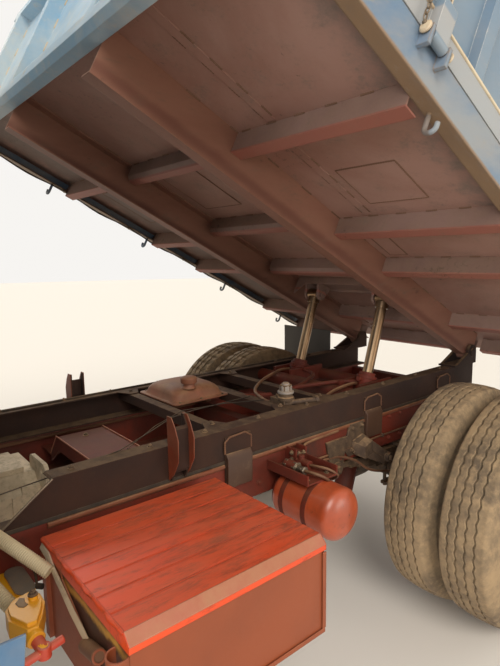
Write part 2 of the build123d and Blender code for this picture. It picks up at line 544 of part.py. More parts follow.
# Rope hooks under the side rails: side, reach from the hinge
ROPE_HOOKS = ((1, 1920), (1, 1300), (1, 660), (1, 60), (-1, 2086), (-1, 1416), (-1, 705), (-1, 76))
with BuildPart() as body_side_rails:
    for _, side in SIDES:
        channel_along_y((BODY_FRONT_Y, BODY_REAR_Y), side * BODY_HALF_WIDTH, SIDE_RAIL_LOW_Z,
                        -side, SIDE_RAIL_FLANGE, SIDE_RAIL_DEPTH, SILL_WALL)
        for reach in GATE_HINGE_REACHES:
            for end in (-1, 1):
                lug_y = HINGE_Y - reach + end * (GATE_KNUCKLE_HALF + 6 + LUG_WALL / 2)
                block((side * BODY_HALF_WIDTH, side * (GATE_PIN_X + 14)),
                      (lug_y - LUG_WALL / 2, lug_y + LUG_WALL / 2), (GATE_PIN_Z - 40, GATE_PIN_Z + 14))
            bar((side * GATE_PIN_X, HINGE_Y - reach - GATE_KNUCKLE_HALF - 24, GATE_PIN_Z),
                (side * GATE_PIN_X, HINGE_Y - reach + GATE_KNUCKLE_HALF + 24, GATE_PIN_Z),
                GATE_PIN_RADIUS)
        block((side * (BODY_HALF_WIDTH - POST_SIZE), side * BODY_HALF_WIDTH),
              (BODY_REAR_Y - POST_SIZE, BODY_REAR_Y), (SIDE_RAIL_TOP_Z, POST_TOP_Z))
        bar((side * (BODY_HALF_WIDTH - POST_SIZE), TAIL_PIN_Y, TAIL_PIN_Z),
            (side * (BODY_HALF_WIDTH - POST_SIZE - 50), TAIL_PIN_Y, TAIL_PIN_Z), TAIL_PIN_RADIUS)
    for side, reach in ROPE_HOOKS:
        hook_y = HINGE_Y - reach
        low_z = SIDE_RAIL_LOW_Z - HOOK_DROP
        pipe(((side * HOOK_ROOT_X, hook_y, SIDE_RAIL_LOW_Z + 3), (side * HOOK_ROOT_X, hook_y, low_z),
              (side * (HOOK_ROOT_X + HOOK_REACH), hook_y, low_z),
              (side * (HOOK_ROOT_X + HOOK_REACH), hook_y, low_z + HOOK_RISE)), HOOK_BEND, HOOK_RADIUS)
body_side_rails.part = tipped(body_side_rails.part)
body_side_rails.part.label = "body_side_rails"
export_step(body_side_rails.part, "parts/body_side_rails.step")

# Floor plate inside the side rails
FLOOR_HALF_WIDTH = BODY_HALF_WIDTH - SILL_WALL
with BuildPart() as body_floor:
    block((-FLOOR_HALF_WIDTH, FLOOR_HALF_WIDTH), (BODY_FRONT_Y, BODY_REAR_Y),
          (FLOOR_LOW_Z, FLOOR_LOW_Z + FLOOR_WALL))
body_floor.part = tipped(body_floor.part)
body_floor.part.label = "body_floor"
export_step(body_floor.part, "parts/body_floor.step")

# Headboard: a panel with channel ribs that end on the sills
HEADBOARD_WALL = 5
HEADBOARD_TOP_Z = SIDE_RAIL_TOP_Z + HEADBOARD_HEIGHT
HEADBOARD_LOW_Z = SIDE_RAIL_TOP_Z
RIB_OUTER_X = BODY_HALF_WIDTH - 86
RIB_INNER_X = SILL_OUTER_X - 30
RIB_XS = (-RIB_OUTER_X, -RIB_INNER_X, RIB_INNER_X, RIB_OUTER_X)
with BuildPart() as headboard:
    block((-BODY_HALF_WIDTH, BODY_HALF_WIDTH), (BODY_FRONT_Y, BODY_FRONT_Y + HEADBOARD_WALL),
          (HEADBOARD_LOW_Z, HEADBOARD_TOP_Z))
    board_front_y = BODY_FRONT_Y - HEADBOARD_RIB
    across((-RAIL_INNER_X, RAIL_INNER_X),
           ((BODY_FRONT_Y, FLOOR_LOW_Z - 60), (BODY_FRONT_Y, FLOOR_LOW_Z + 30),
            (board_front_y + 16, FLOOR_LOW_Z + 30), (board_front_y, FLOOR_LOW_Z + 14),
            (board_front_y, FLOOR_LOW_Z - 38), (board_front_y + 22, FLOOR_LOW_Z - 60)))
    for rib_x in RIB_XS:
        block((rib_x - HEADBOARD_RIB / 2, rib_x + HEADBOARD_RIB / 2),
              (BODY_FRONT_Y - HEADBOARD_RIB, BODY_FRONT_Y), (FLOOR_LOW_Z - 20, HEADBOARD_TOP_Z))
    block((-BODY_HALF_WIDTH, BODY_HALF_WIDTH), (BODY_FRONT_Y - HEADBOARD_RIB, BODY_FRONT_Y),
          (HEADBOARD_TOP_Z - 50, HEADBOARD_TOP_Z))
headboard.part = tipped(headboard.part)
headboard.part.label = "headboard"
export_step(headboard.part, "parts/headboard.step")

# Drop sides: a panel between a bottom and a top channel, with posts, on hinge straps
GATE_FRONT_Y = BODY_FRONT_Y + HEADBOARD_WALL + 8
GATE_REAR_Y = BODY_REAR_Y - 70
GATE_OUTER_X = BODY_HALF_WIDTH - 2
GATE_RIB_COUNT = 5
for side_name, side in SIDES:
    with BuildPart() as drop_side:
        inner_x = GATE_OUTER_X - GATE_THICKNESS
        block((side * inner_x, side * (inner_x + 4)), (GATE_FRONT_Y, GATE_REAR_Y),
              (GATE_LOW_Z, GATE_LOW_Z + GATE_HEIGHT))
        for low_z in (GATE_LOW_Z, GATE_LOW_Z + GATE_HEIGHT - 70):
            block((side * inner_x, side * GATE_OUTER_X), (GATE_FRONT_Y, GATE_REAR_Y),
                  (low_z, low_z + 70))
        rib_pitch = (GATE_REAR_Y - GATE_FRONT_Y - 50) / (GATE_RIB_COUNT - 1)
        for rib in range(GATE_RIB_COUNT):
            rib_y = GATE_FRONT_Y + rib * rib_pitch
            block((side * inner_x, side * GATE_OUTER_X), (rib_y, rib_y + 50),
                  (GATE_LOW_Z, GATE_LOW_Z + GATE_HEIGHT))
        for reach in GATE_HINGE_REACHES:
            knuckle_y = HINGE_Y - reach
            knuckle = (knuckle_y - GATE_KNUCKLE_HALF, knuckle_y + GATE_KNUCKLE_HALF)
            bar((side * GATE_PIN_X, knuckle[0], GATE_PIN_Z), (side * GATE_PIN_X, knuckle[1], GATE_PIN_Z), 14)
            block((side * (GATE_OUTER_X), side * (GATE_PIN_X + 10)), knuckle,
                  (GATE_PIN_Z + 8, GATE_LOW_Z + 90))
            bar((side * GATE_PIN_X, knuckle[0], GATE_PIN_Z), (side * GATE_PIN_X, knuckle[1], GATE_PIN_Z),
                GATE_PIN_RADIUS + RUNNING_FIT, Mode.SUBTRACT)
    drop_side.part = tipped(drop_side.part)
    drop_side.part.label = f"drop_side_{side_name}"
    export_step(drop_side.part, f"parts/drop_side_{side_name}.step")

# Tailgate: hung from the posts' pins
TAIL_HALF_WIDTH = BODY_HALF_WIDTH - POST_SIZE - 8
TAIL_LOW_Z = FLOOR_LOW_Z + FLOOR_WALL + 8
with BuildPart() as tailgate:
    block((-TAIL_HALF_WIDTH, TAIL_HALF_WIDTH), (BODY_REAR_Y - 50, BODY_REAR_Y - 46),
          (TAIL_LOW_Z, POST_TOP_Z - 60))
    for low_z in (TAIL_LOW_Z, POST_TOP_Z - 130):
        block((-TAIL_HALF_WIDTH, TAIL_HALF_WIDTH), (BODY_REAR_Y - 50, BODY_REAR_Y - 12),
              (low_z, low_z + 70))
    for rib_x in (-TAIL_HALF_WIDTH, -400, 350, TAIL_HALF_WIDTH - 50):
        block((rib_x, rib_x + 50), (BODY_REAR_Y - 50, BODY_REAR_Y - 12), (TAIL_LOW_Z, POST_TOP_Z - 60))
    for _, side in SIDES:
        ear = (side * (TAIL_HALF_WIDTH - 30), side * TAIL_HALF_WIDTH)
        block(ear, (TAIL_PIN_Y - 20, TAIL_PIN_Y + 18), (POST_TOP_Z - 80, TAIL_PIN_Z))
        bar((ear[0], TAIL_PIN_Y, TAIL_PIN_Z), (ear[1], TAIL_PIN_Y, TAIL_PIN_Z), 22)
        bar((ear[0], TAIL_PIN_Y, TAIL_PIN_Z), (ear[1], TAIL_PIN_Y, TAIL_PIN_Z),
            TAIL_PIN_RADIUS + RUNNING_FIT, Mode.SUBTRACT)
tailgate.part = tipped(tailgate.part)
tailgate.part.label = "tailgate"
export_step(tailgate.part, "parts/tailgate.step")


def wheel_plane(axle_y):
    """Plane through an axle's line: local x across the truck, local y up from the axle."""
    return Plane(origin=(0, axle_y, AXLE_Z), x_dir=(1, 0, 0), z_dir=(0, -1, 0))


def turned(axle_y, outline, mode=Mode.ADD):
    """Revolve a closed outline of (x, radius) points about an axle's line."""
    with BuildSketch(wheel_plane(axle_y)) as section:
        with BuildLine():
            Polyline(*outline, close=True)
        make_face()
    revolve(section.sketch, axis=Axis((0, axle_y, AXLE_Z), (1, 0, 0)), mode=mode)


def add_tyre(axle_y, middle_x):
    """Add one tyre as a closed ring with its tread crowned."""
    seat = RIM_WIDTH / 2 - 9
    belly_radius = (RIM_SEAT_RADIUS + TYRE_RADIUS) / 2
    shoulder = (TREAD_WIDTH / 2, TYRE_RADIUS - SHOULDER_DROP)
    turned(axle_y, ((middle_x - seat, RIM_SEAT_RADIUS), (middle_x + seat, RIM_SEAT_RADIUS),
                    (middle_x + TYRE_SECTION / 2, belly_radius), (middle_x + shoulder[0], shoulder[1]),
                    (middle_x, TYRE_RADIUS), (middle_x - shoulder[0], shoulder[1]),
                    (middle_x - TYRE_SECTION / 2, belly_radius)))


HAND_HOLES = 6
HAND_HOLE_RADIUS = 19


def add_rim(axle_y, middle_x, face_x):
    """Add one rim and its dished disc, whose flat centre ends at face_x."""
    half = RIM_WIDTH / 2
    low = RIM_SEAT_RADIUS - RIM_WALL
    lip = RIM_SEAT_RADIUS + RIM_FLANGE
    turned(axle_y, ((middle_x - half, RIM_SEAT_RADIUS), (middle_x + half, RIM_SEAT_RADIUS),
                    (middle_x + half, lip), (middle_x + half + RIM_WALL, lip),
                    (middle_x + half + RIM_WALL, low), (middle_x - half - RIM_WALL, low),
                    (middle_x - half - RIM_WALL, lip), (middle_x - half, lip)))
    towards = 1 if face_x > middle_x else -1
    root_x = middle_x + towards * half * 0.55
    back_x = face_x - towards * DISC_WALL
    turned(axle_y, ((root_x, low + 1), (root_x + towards * DISC_WALL, low + 1), (face_x, DRUM_RADIUS),
                    (face_x, HUB_RADIUS - 4), (back_x, HUB_RADIUS - 4), (back_x, DRUM_RADIUS)))
    hole_radius = (low + DRUM_RADIUS) / 2
    for hole in range(HAND_HOLES):
        angle = radians(360 * hole / HAND_HOLES)
        hole_y = axle_y + hole_radius * cos(angle)
        hole_z = AXLE_Z + hole_radius * sin(angle)
        bar((root_x - towards * 20, hole_y, hole_z), (face_x + towards * 20, hole_y, hole_z),
            HAND_HOLE_RADIUS, Mode.SUBTRACT)


# Wheels, each set with its hub and drum: rims in one piece, tyres in another
DUAL_XS = (DUAL_FACE_X - DUAL_SPACING / 2, DUAL_FACE_X + DUAL_SPACING / 2)
FRONT_FACE_X = FRONT_TYRE_X + DUAL_SPACING / 2
DRUM_INNER_X = DUAL_XS[0] - 90
FRONT_DRUM_INNER_X = FRONT_TYRE_X - 80
for side_name, side in SIDES:
    with BuildPart() as rear_rims:
        for middle_x in DUAL_XS:
            add_rim(REAR_AXLE_Y, side * middle_x, side * DUAL_FACE_X)
        hub_end = DUAL_FACE_X + 70
        turned(REAR_AXLE_Y, ((side * DRUM_INNER_X, REAR_SPINDLE_RADIUS + RUNNING_FIT),
                             (side * DRUM_INNER_X, HUB_RADIUS), (side * hub_end, HUB_RADIUS),
                             (side * hub_end, HALF_SHAFT_RADIUS), (side * (hub_end + 30), HALF_SHAFT_RADIUS),
                             (side * (hub_end + 30), 0), (side * (hub_end - 30), 0),
                             (side * (hub_end - 30), REAR_SPINDLE_RADIUS + RUNNING_FIT)))
        drum_outer_x = DUAL_FACE_X - DISC_WALL
        turned(REAR_AXLE_Y, ((side * DRUM_INNER_X, DRUM_RADIUS - DRUM_WALL),
                             (side * DRUM_INNER_X, DRUM_RADIUS), (side * drum_outer_x, DRUM_RADIUS),
                             (side * drum_outer_x, HUB_RADIUS - 2),
                             (side * (drum_outer_x - DRUM_WALL), HUB_RADIUS - 2),
                             (side * (drum_outer_x - DRUM_WALL), DRUM_RADIUS - DRUM_WALL)))
    rear_rims.part.label = f"rear_rims_{side_name}"
    export_step(rear_rims.part, f"parts/rear_rims_{side_name}.step")

    with BuildPart() as rear_tyres:
        for middle_x in DUAL_XS:
            add_tyre(REAR_AXLE_Y, side * middle_x)
    rear_tyres.part.label = f"rear_tyres_{side_name}"
    export_step(rear_tyres.part, f"parts/rear_tyres_{side_name}.step")

    with BuildPart() as front_rim:
        add_rim(FRONT_AXLE_Y, side * FRONT_TYRE_X, side * FRONT_FACE_X)
        drum_outer_x = FRONT_FACE_X - DISC_WALL
        hub_end = FRONT_FACE_X + 40
        turned(FRONT_AXLE_Y, ((side * FRONT_DRUM_INNER_X, DRUM_RADIUS - DRUM_WALL),
                              (side * FRONT_DRUM_INNER_X, DRUM_RADIUS), (side * drum_outer_x, DRUM_RADIUS),
                              (side * drum_outer_x, HUB_RADIUS - 2),
                              (side * (drum_outer_x - DRUM_WALL), HUB_RADIUS - 2),
                              (side * (drum_outer_x - DRUM_WALL), DRUM_RADIUS - DRUM_WALL)))
        turned(FRONT_AXLE_Y, ((side * (FRONT_DRUM_INNER_X + 20), FRONT_SPINDLE_RADIUS + RUNNING_FIT),
                              (side * (FRONT_DRUM_INNER_X + 20), HUB_RADIUS), (side * hub_end, HUB_RADIUS),
                              (side * (hub_end + 25), HUB_RADIUS - 30), (side * (hub_end + 25), 0),
                              (side * (hub_end - 10), 0),
                              (side * (hub_end - 10), FRONT_SPINDLE_RADIUS + RUNNING_FIT)))
    front_rim.part.label = f"front_rim_{side_name}"
    export_step(front_rim.part, f"parts/front_rim_{side_name}.step")

    with BuildPart() as front_tyre:
        add_tyre(FRONT_AXLE_Y, side * FRONT_TYRE_X)
    front_tyre.part.label = f"front_tyre_{side_name}"
    export_step(front_tyre.part, f"parts/front_tyre_{side_name}.step")

# Rear axle: tubes, banjo housing with its nose and cover, and spindles
AXLE_TUBE_RADIUS = 66
BANJO_RADIUS = 185
BANJO_HALF_LENGTH = 70
NOSE_LENGTH = 300
SPINDLE_END_X = DUAL_FACE_X + 35
with BuildPart() as rear_axle:
    bar((-DRUM_INNER_X + 12, REAR_AXLE_Y, AXLE_Z), (DRUM_INNER_X - 12, REAR_AXLE_Y, AXLE_Z), AXLE_TUBE_RADIUS)
    bar((-SPINDLE_END_X, REAR_AXLE_Y, AXLE_Z), (SPINDLE_END_X, REAR_AXLE_Y, AXLE_Z), REAR_SPINDLE_RADIUS)
    bar((0, REAR_AXLE_Y - BANJO_HALF_LENGTH, AXLE_Z), (0, REAR_AXLE_Y + BANJO_HALF_LENGTH, AXLE_Z),
        BANJO_RADIUS)
    with BuildSketch(Plane.XZ.offset(-(REAR_AXLE_Y - BANJO_HALF_LENGTH))) as nose_root:
        with Locations((0, AXLE_Z)):
            Circle(BANJO_RADIUS - 30)
    extrude(nose_root.sketch, amount=NOSE_LENGTH - BANJO_HALF_LENGTH, taper=22)
    with BuildSketch(Plane.XZ.offset(-(REAR_AXLE_Y + BANJO_HALF_LENGTH))) as cover_root:
        with Locations((0, AXLE_Z)):
            Circle(BANJO_RADIUS - 20)
    extrude(cover_root.sketch, amount=-60, taper=35)
rear_axle.part.label = "rear_axle"
export_step(rear_axle.part, "parts/rear_axle.step")

# Leaf springs: stacked leaves, each shorter than the one above, with the bolts that clamp them to the
# axles and the hangers that carry them
SPRING_WIDTH = 68
SPRING_INNER_X = FRAME_HALF_WIDTH - SPRING_WIDTH - 1
LEAF_WALL = 12
HANGER_WALL = 12
HANGER_HALF_LENGTH = 70
HANGER_TOP_Z = RAIL_LOW_Z + 120
SPRING_PIN_RADIUS = 14
HANGER_BOSS_RADIUS = 31
CLAMP_WALL = 16
CLAMP_MARGIN = 22
CLAMP_BOLT_RADIUS = 9
SPRINGS = (
    {"axle_y": REAR_AXLE_Y, "half_span": 590, "seat_z": AXLE_Z + 66, "leaves": 7, "rise": 26,
     "bolt_y": 80, "foot_z": AXLE_Z - 67},
    {"axle_y": FRONT_AXLE_Y, "half_span": 600, "seat_z": AXLE_Z - 12, "leaves": 6, "rise": 62,
     "bolt_y": 54, "foot_z": AXLE_Z - 95},
)


def add_leaf(low_x, middle_y, half, top_z, lift):
    """Add one leaf, a strip whose ends stand `lift` above its middle."""
    with BuildSketch(Plane.YZ.offset(low_x)) as leaf_face:
        with BuildLine():
            ThreePointArc((middle_y - half, top_z + lift), (middle_y, top_z),
                          (middle_y + half, top_z + lift))
            Line((middle_y + half, top_z + lift), (middle_y + half, top_z + lift - LEAF_WALL))
            ThreePointArc((middle_y + half, top_z + lift - LEAF_WALL), (middle_y, top_z - LEAF_WALL),
                          (middle_y - half, top_z + lift - LEAF_WALL))
            Line((middle_y - half, top_z + lift - LEAF_WALL), (middle_y - half, top_z + lift))
        make_face()
    extrude(leaf_face.sketch, amount=SPRING_WIDTH)


with BuildPart() as leaf_springs:
    for spring in SPRINGS:
        middle_y, half_span, rise = spring["axle_y"], spring["half_span"], spring["rise"]
        for leaf in range(spring["leaves"]):
            top_z = spring["seat_z"] + (spring["leaves"] - leaf) * LEAF_WALL
            half = half_span * (1 - 0.11 * leaf)
            for low_x in (SPRING_INNER_X, -SPRING_INNER_X - SPRING_WIDTH):
                add_leaf(low_x, middle_y, half, top_z, rise * (half / half_span) ** 2)
        pack_top_z = spring["seat_z"] + spring["leaves"] * LEAF_WALL
        for low_x in (SPRING_INNER_X, -SPRING_INNER_X - SPRING_WIDTH):
            plate_x = (low_x - CLAMP_MARGIN, low_x + SPRING_WIDTH + CLAMP_MARGIN)
            plate_y = (middle_y - spring["bolt_y"] - 20, middle_y + spring["bolt_y"] + 20)
            block(plate_x, plate_y, (pack_top_z, pack_top_z + CLAMP_WALL))
            block(plate_x, plate_y, (spring["foot_z"] - CLAMP_WALL, spring["foot_z"]))
            for bolt_x in (plate_x[0] + 11, plate_x[1] - 11):
                for bolt_y in (middle_y - spring["bolt_y"], middle_y + spring["bolt_y"]):
                    bar((bolt_x, bolt_y, spring["foot_z"] - CLAMP_WALL - 12),
                        (bolt_x, bolt_y, pack_top_z + CLAMP_WALL + 8), CLAMP_BOLT_RADIUS)
        eye_z = spring["seat_z"] + spring["leaves"] * LEAF_WALL + rise - LEAF_WALL
        for end in (-1, 1):
            hanger_y = middle_y + end * (half_span - SPRING_PIN_RADIUS)
            for _, side in SIDES:
                across(sorted((side * FRAME_HALF_WIDTH, side * (FRAME_HALF_WIDTH + HANGER_WALL))),
                       ((hanger_y - HANGER_HALF_LENGTH, HANGER_TOP_Z),
                        (hanger_y + HANGER_HALF_LENGTH, HANGER_TOP_Z),
                        (hanger_y + 34, eye_z - 34), (hanger_y - 34, eye_z - 34)))
                boss_x = side * (FRAME_HALF_WIDTH + HANGER_WALL + 10)
                bar((side * FRAME_HALF_WIDTH, hanger_y, eye_z), (boss_x, hanger_y, eye_z), HANGER_BOSS_RADIUS)
                bar((side * SPRING_INNER_X, hanger_y, eye_z), (boss_x + side * 12, hanger_y, eye_z),
                    SPRING_PIN_RADIUS)
leaf_springs.part.label = "leaf_springs"
export_step(leaf_springs.part, "parts/leaf_springs.step")

# Front axle: a dropped I-beam with an eye at each end for the king pins
BEAM_DROP = 80
BEAM_HALF_DEPTH = 42
BEAM_HALF_WIDTH = 38
with BuildPart() as front_axle:
    with BuildSketch(Plane.XZ.offset(-(FRONT_AXLE_Y - BEAM_HALF_WIDTH))) as beam_face:
        with BuildLine():
            Polyline((-KING_PIN_X, AXLE_Z + 38), (-KING_PIN_X, AXLE_Z - 38),
                     (-KING_PIN_X + 52, AXLE_Z - 38), (-480, AXLE_Z - BEAM_DROP - 14),
                     (480, AXLE_Z - BEAM_DROP - 14), (KING_PIN_X - 52, AXLE_Z - 38),
                     (KING_PIN_X, AXLE_Z - 38), (KING_PIN_X, AXLE_Z + 38),
                     (KING_PIN_X - 52, AXLE_Z + 38), (480, AXLE_Z - 12), (-480, AXLE_Z - 12),
                     (-KING_PIN_X + 52, AXLE_Z + 38), close=True)
        make_face()
    extrude(beam_face.sketch, amount=-2 * BEAM_HALF_WIDTH)
    for y_edge in (FRONT_AXLE_Y - BEAM_HALF_WIDTH, FRONT_AXLE_Y + 8):
        block((-480, 480), (y_edge, y_edge + BEAM_HALF_WIDTH - 8),
              (AXLE_Z - BEAM_DROP + 4, AXLE_Z - 30), Mode.SUBTRACT)
    for _, side in SIDES:
        pin_x = side * KING_PIN_X
        bar((pin_x, FRONT_AXLE_Y, AXLE_Z - 40), (pin_x, FRONT_AXLE_Y, AXLE_Z + 40), 44)
        bar((pin_x, FRONT_AXLE_Y, AXLE_Z - 41), (pin_x, FRONT_AXLE_Y, AXLE_Z + 41),
            KING_PIN_RADIUS + RUNNING_FIT, Mode.SUBTRACT)
front_axle.part.label = "front_axle"
export_step(front_axle.part, "parts/front_axle.step")

# Knuckles: a fork on the king pin, a spindle and a steering arm
FORK_GAP = 6
FORK_WALL = 30
FORK_LOW_Z = AXLE_Z - 40 - FORK_GAP - FORK_WALL
STEER_ARM_WALL = 22
for side_name, side in SIDES:
    with BuildPart() as knuckle:
        pin_x = side * KING_PIN_X
        for low_z in (FORK_LOW_Z, AXLE_Z + 40 + FORK_GAP):
            bar((pin_x, FRONT_AXLE_Y, low_z), (pin_x, FRONT_AXLE_Y, low_z + FORK_WALL), 42)
            block((pin_x, pin_x + side * 76), (FRONT_AXLE_Y - 36, FRONT_AXLE_Y + 36),
                  (low_z, low_z + FORK_WALL))
        block((pin_x + side * 52, pin_x + side * 76), (FRONT_AXLE_Y - 60, FRONT_AXLE_Y + 60),
              (AXLE_Z - 76, AXLE_Z + 76))
        bar((pin_x, FRONT_AXLE_Y, FORK_LOW_Z),
            (pin_x, FRONT_AXLE_Y, AXLE_Z + 40 + FORK_GAP + FORK_WALL), KING_PIN_RADIUS)
        bar((pin_x + side * 60, FRONT_AXLE_Y, AXLE_Z), (side * (FRONT_FACE_X + 20), FRONT_AXLE_Y, AXLE_Z),
            FRONT_SPINDLE_RADIUS)
        with BuildSketch(Plane.XY.offset(FORK_LOW_Z - STEER_ARM_WALL)) as arm:
            with BuildLine():
                Polyline((pin_x + side * 30, FRONT_AXLE_Y), (pin_x - side * 25, FRONT_AXLE_Y),
                         (pin_x - side * (STEER_ARM_INSET + 18), FRONT_AXLE_Y + STEER_ARM_REACH - 6),
                         (pin_x - side * (STEER_ARM_INSET - 18), FRONT_AXLE_Y + STEER_ARM_REACH + 12),
                         close=True)
            make_face()
        extrude(arm.sketch, amount=STEER_ARM_WALL)
    knuckle.part.label = f"knuckle_{side_name}"
    export_step(knuckle.part, f"parts/knuckle_{side_name}.step")

# Track rod below the steering arms
TRACK_ROD_Z = FORK_LOW_Z - STEER_ARM_WALL - TRACK_ROD_RADIUS - 10
ROD_END_X = KING_PIN_X - STEER_ARM_INSET
with BuildPart() as track_rod:
    bar((-ROD_END_X, FRONT_AXLE_Y + STEER_ARM_REACH, TRACK_ROD_Z),
        (ROD_END_X, FRONT_AXLE_Y + STEER_ARM_REACH, TRACK_ROD_Z), TRACK_ROD_RADIUS)
track_rod.part.label = "track_rod"
export_step(track_rod.part, "parts/track_rod.step")

# Engine as one plain block, gearbox, propeller shaft and exhaust
ENGINE_HALF_WIDTH = 300
ENGINE_Y = (FRONT_AXLE_Y - 590, FRONT_AXLE_Y + ENGINE_BEHIND_AXLE)
ENGINE_Z = (RAIL_LOW_Z - 90, RAIL_TOP_Z + 370)
with BuildPart() as engine:
    block((-ENGINE_HALF_WIDTH, ENGINE_HALF_WIDTH), ENGINE_Y, ENGINE_Z)
engine.part.label = "engine"
export_step(engine.part, "parts/engine.step")

GEARBOX_Z = RAIL_LOW_Z + 70
GEARBOX_TOP_Z = RAIL_TOP_Z + 35
BELL_LENGTH = 230
BELL_RADIUS = 215
CASE_HALF_WIDTH = 165
CASE_LOW_Z = RAIL_LOW_Z - 80
CASE_BEVEL = 55
CASE_RIBS = 4
SELECTOR_X = (62, 226)
SELECTOR_Y = GEARBOX_REAR_Y - 9
with BuildPart() as gearbox:
    with BuildSketch(Plane.XZ.offset(-ENGINE_Y[1])) as bell_mouth:
        with Locations((0, GEARBOX_Z)):
            Circle(BELL_RADIUS)
    extrude(bell_mouth.sketch, amount=-BELL_LENGTH, taper=12)
    with BuildSketch(Plane.XZ.offset(-(ENGINE_Y[1] + BELL_LENGTH - 30))) as case_face:
        with BuildLine():
            Polyline((-CASE_HALF_WIDTH, CASE_LOW_Z + CASE_BEVEL), (-CASE_HALF_WIDTH + CASE_BEVEL, CASE_LOW_Z),
                     (CASE_HALF_WIDTH - CASE_BEVEL, CASE_LOW_Z), (CASE_HALF_WIDTH, CASE_LOW_Z + CASE_BEVEL),
                     (CASE_HALF_WIDTH, GEARBOX_TOP_Z - CASE_BEVEL),
                     (CASE_HALF_WIDTH - CASE_BEVEL, GEARBOX_TOP_Z),
                     (-CASE_HALF_WIDTH + CASE_BEVEL, GEARBOX_TOP_Z),
                     (-CASE_HALF_WIDTH, GEARBOX_TOP_Z - CASE_BEVEL), close=True)
        make_face()
    extrude(case_face.sketch, amount=-(GEARBOX_LENGTH - BELL_LENGTH + 30))
    # Top lid with its cross ribs, and the upright selector plate with its rounded corners
    lid_y = (ENGINE_Y[1] + BELL_LENGTH + 40, GEARBOX_REAR_Y - 40)
    block((-95, 95), lid_y, (GEARBOX_TOP_Z, GEARBOX_TOP_Z + 16))
    rib_pitch = (lid_y[1] - lid_y[0]) / CASE_RIBS
    for rib in range(CASE_RIBS):
        rib_y = lid_y[0] + (rib + 0.5) * rib_pitch
        block((-CASE_HALF_WIDTH - 8, CASE_HALF_WIDTH + 8), (rib_y - 5, rib_y + 5),
              (CASE_LOW_Z + CASE_BEVEL, GEARBOX_TOP_Z - CASE_BEVEL))
    with BuildSketch(Plane.XZ.offset(-SELECTOR_Y)) as selector:
        with Locations(((SELECTOR_X[0] + SELECTOR_X[1]) / 2, GEARBOX_TOP_Z - 2)):
            RectangleRounded(SELECTOR_X[1] - SELECTOR_X[0], 106, 24)
        with Locations((SELECTOR_X[1] - 40, GEARBOX_TOP_Z + 18)):
            Circle(9, mode=Mode.SUBTRACT)
    extrude(selector.sketch, amount=-14)
    block((SELECTOR_X[0] + 10, CASE_HALF_WIDTH), (SELECTOR_Y - 60, SELECTOR_Y + 4),
          (GEARBOX_TOP_Z - CASE_BEVEL - 20, GEARBOX_TOP_Z - 30))
    bar((SELECTOR_X[0] + 26, SELECTOR_Y + 14, GEARBOX_TOP_Z - 20),
        (SELECTOR_X[0] + 26, SELECTOR_Y + 40, GEARBOX_TOP_Z - 20), 15)
    bar((SELECTOR_X[0] + 26, SELECTOR_Y + 34, GEARBOX_TOP_Z - 20),
        (SELECTOR_X[0] - 190, SELECTOR_Y - 210, GEARBOX_TOP_Z - 62), 7)
    bar((0, GEARBOX_REAR_Y, GEARBOX_Z), (0, GEARBOX_REAR_Y + 40, GEARBOX_Z), 60)
    bar((0, GEARBOX_REAR_Y - 10, GEARBOX_Z), (0, GEARBOX_REAR_Y + 14, GEARBOX_Z), 96)
gearbox.part.label = "gearbox"
export_step(gearbox.part, "parts/gearbox.step")

YOKE_LENGTH = 70
with BuildPart() as propeller_shaft:
    shaft_ends = ((0, GEARBOX_REAR_Y + 40 + YOKE_LENGTH, GEARBOX_Z),
                  (0, REAR_AXLE_Y - NOSE_LENGTH - YOKE_LENGTH, AXLE_Z))
    bar(*shaft_ends, 40)
    bar((0, GEARBOX_REAR_Y + 40, GEARBOX_Z), (0, GEARBOX_REAR_Y + 60 + YOKE_LENGTH, GEARBOX_Z), 46)
    bar((0, REAR_AXLE_Y - NOSE_LENGTH - YOKE_LENGTH - 20, AXLE_Z), (0, REAR_AXLE_Y - NOSE_LENGTH, AXLE_Z), 46)
propeller_shaft.part.label = "propeller_shaft"
export_step(propeller_shaft.part, "parts/propeller_shaft.step")

EXHAUST_X = -262
EXHAUST_Z = RAIL_LOW_Z - 62
EXHAUST_PIPE_RADIUS = 32
SILENCER_Y = (REAR_AXLE_Y - 1600, REAR_AXLE_Y - 1080)
TAIL_PIPE_X = -640
with BuildPart() as exhaust:
    bar((EXHAUST_X, SILENCER_Y[0], EXHAUST_Z), (EXHAUST_X, SILENCER_Y[1], EXHAUST_Z), 78)
    bar((EXHAUST_X, FRONT_AXLE_Y + 360, EXHAUST_Z), (EXHAUST_X, SILENCER_Y[0], EXHAUST_Z),
        EXHAUST_PIPE_RADIUS)
    with BuildLine() as tail_path:
        FilletPolyline((EXHAUST_X, SILENCER_Y[1], EXHAUST_Z), (EXHAUST_X, SILENCER_Y[1] + 220, EXHAUST_Z),
                       (TAIL_PIPE_X, SILENCER_Y[1] + 380, EXHAUST_Z - 20), radius=90)
    with BuildSketch(Plane(origin=(EXHAUST_X, SILENCER_Y[1], EXHAUST_Z), z_dir=(0, 1, 0))):
        Circle(EXHAUST_PIPE_RADIUS)
    sweep(path=tail_path.line)
exhaust.part.label = "exhaust"
export_step(exhaust.part, "parts/exhaust.step")

# Battery box on the left: a sheet box with its ribbed cover
BOX_BEHIND_AXLE = 993
BOX_LENGTH = 605
BOX_X = (FRAME_HALF_WIDTH + 70, FRAME_HALF_WIDTH + 597)
BOX_Y = (FRONT_AXLE_Y + BOX_BEHIND_AXLE, FRONT_AXLE_Y + BOX_BEHIND_AXLE + BOX_LENGTH)
BOX_Z = (RAIL_LOW_Z - 119, RAIL_TOP_Z - 8)
SHEET = 4
COVER_DEPTH = 40
COVER_BEVEL = 22
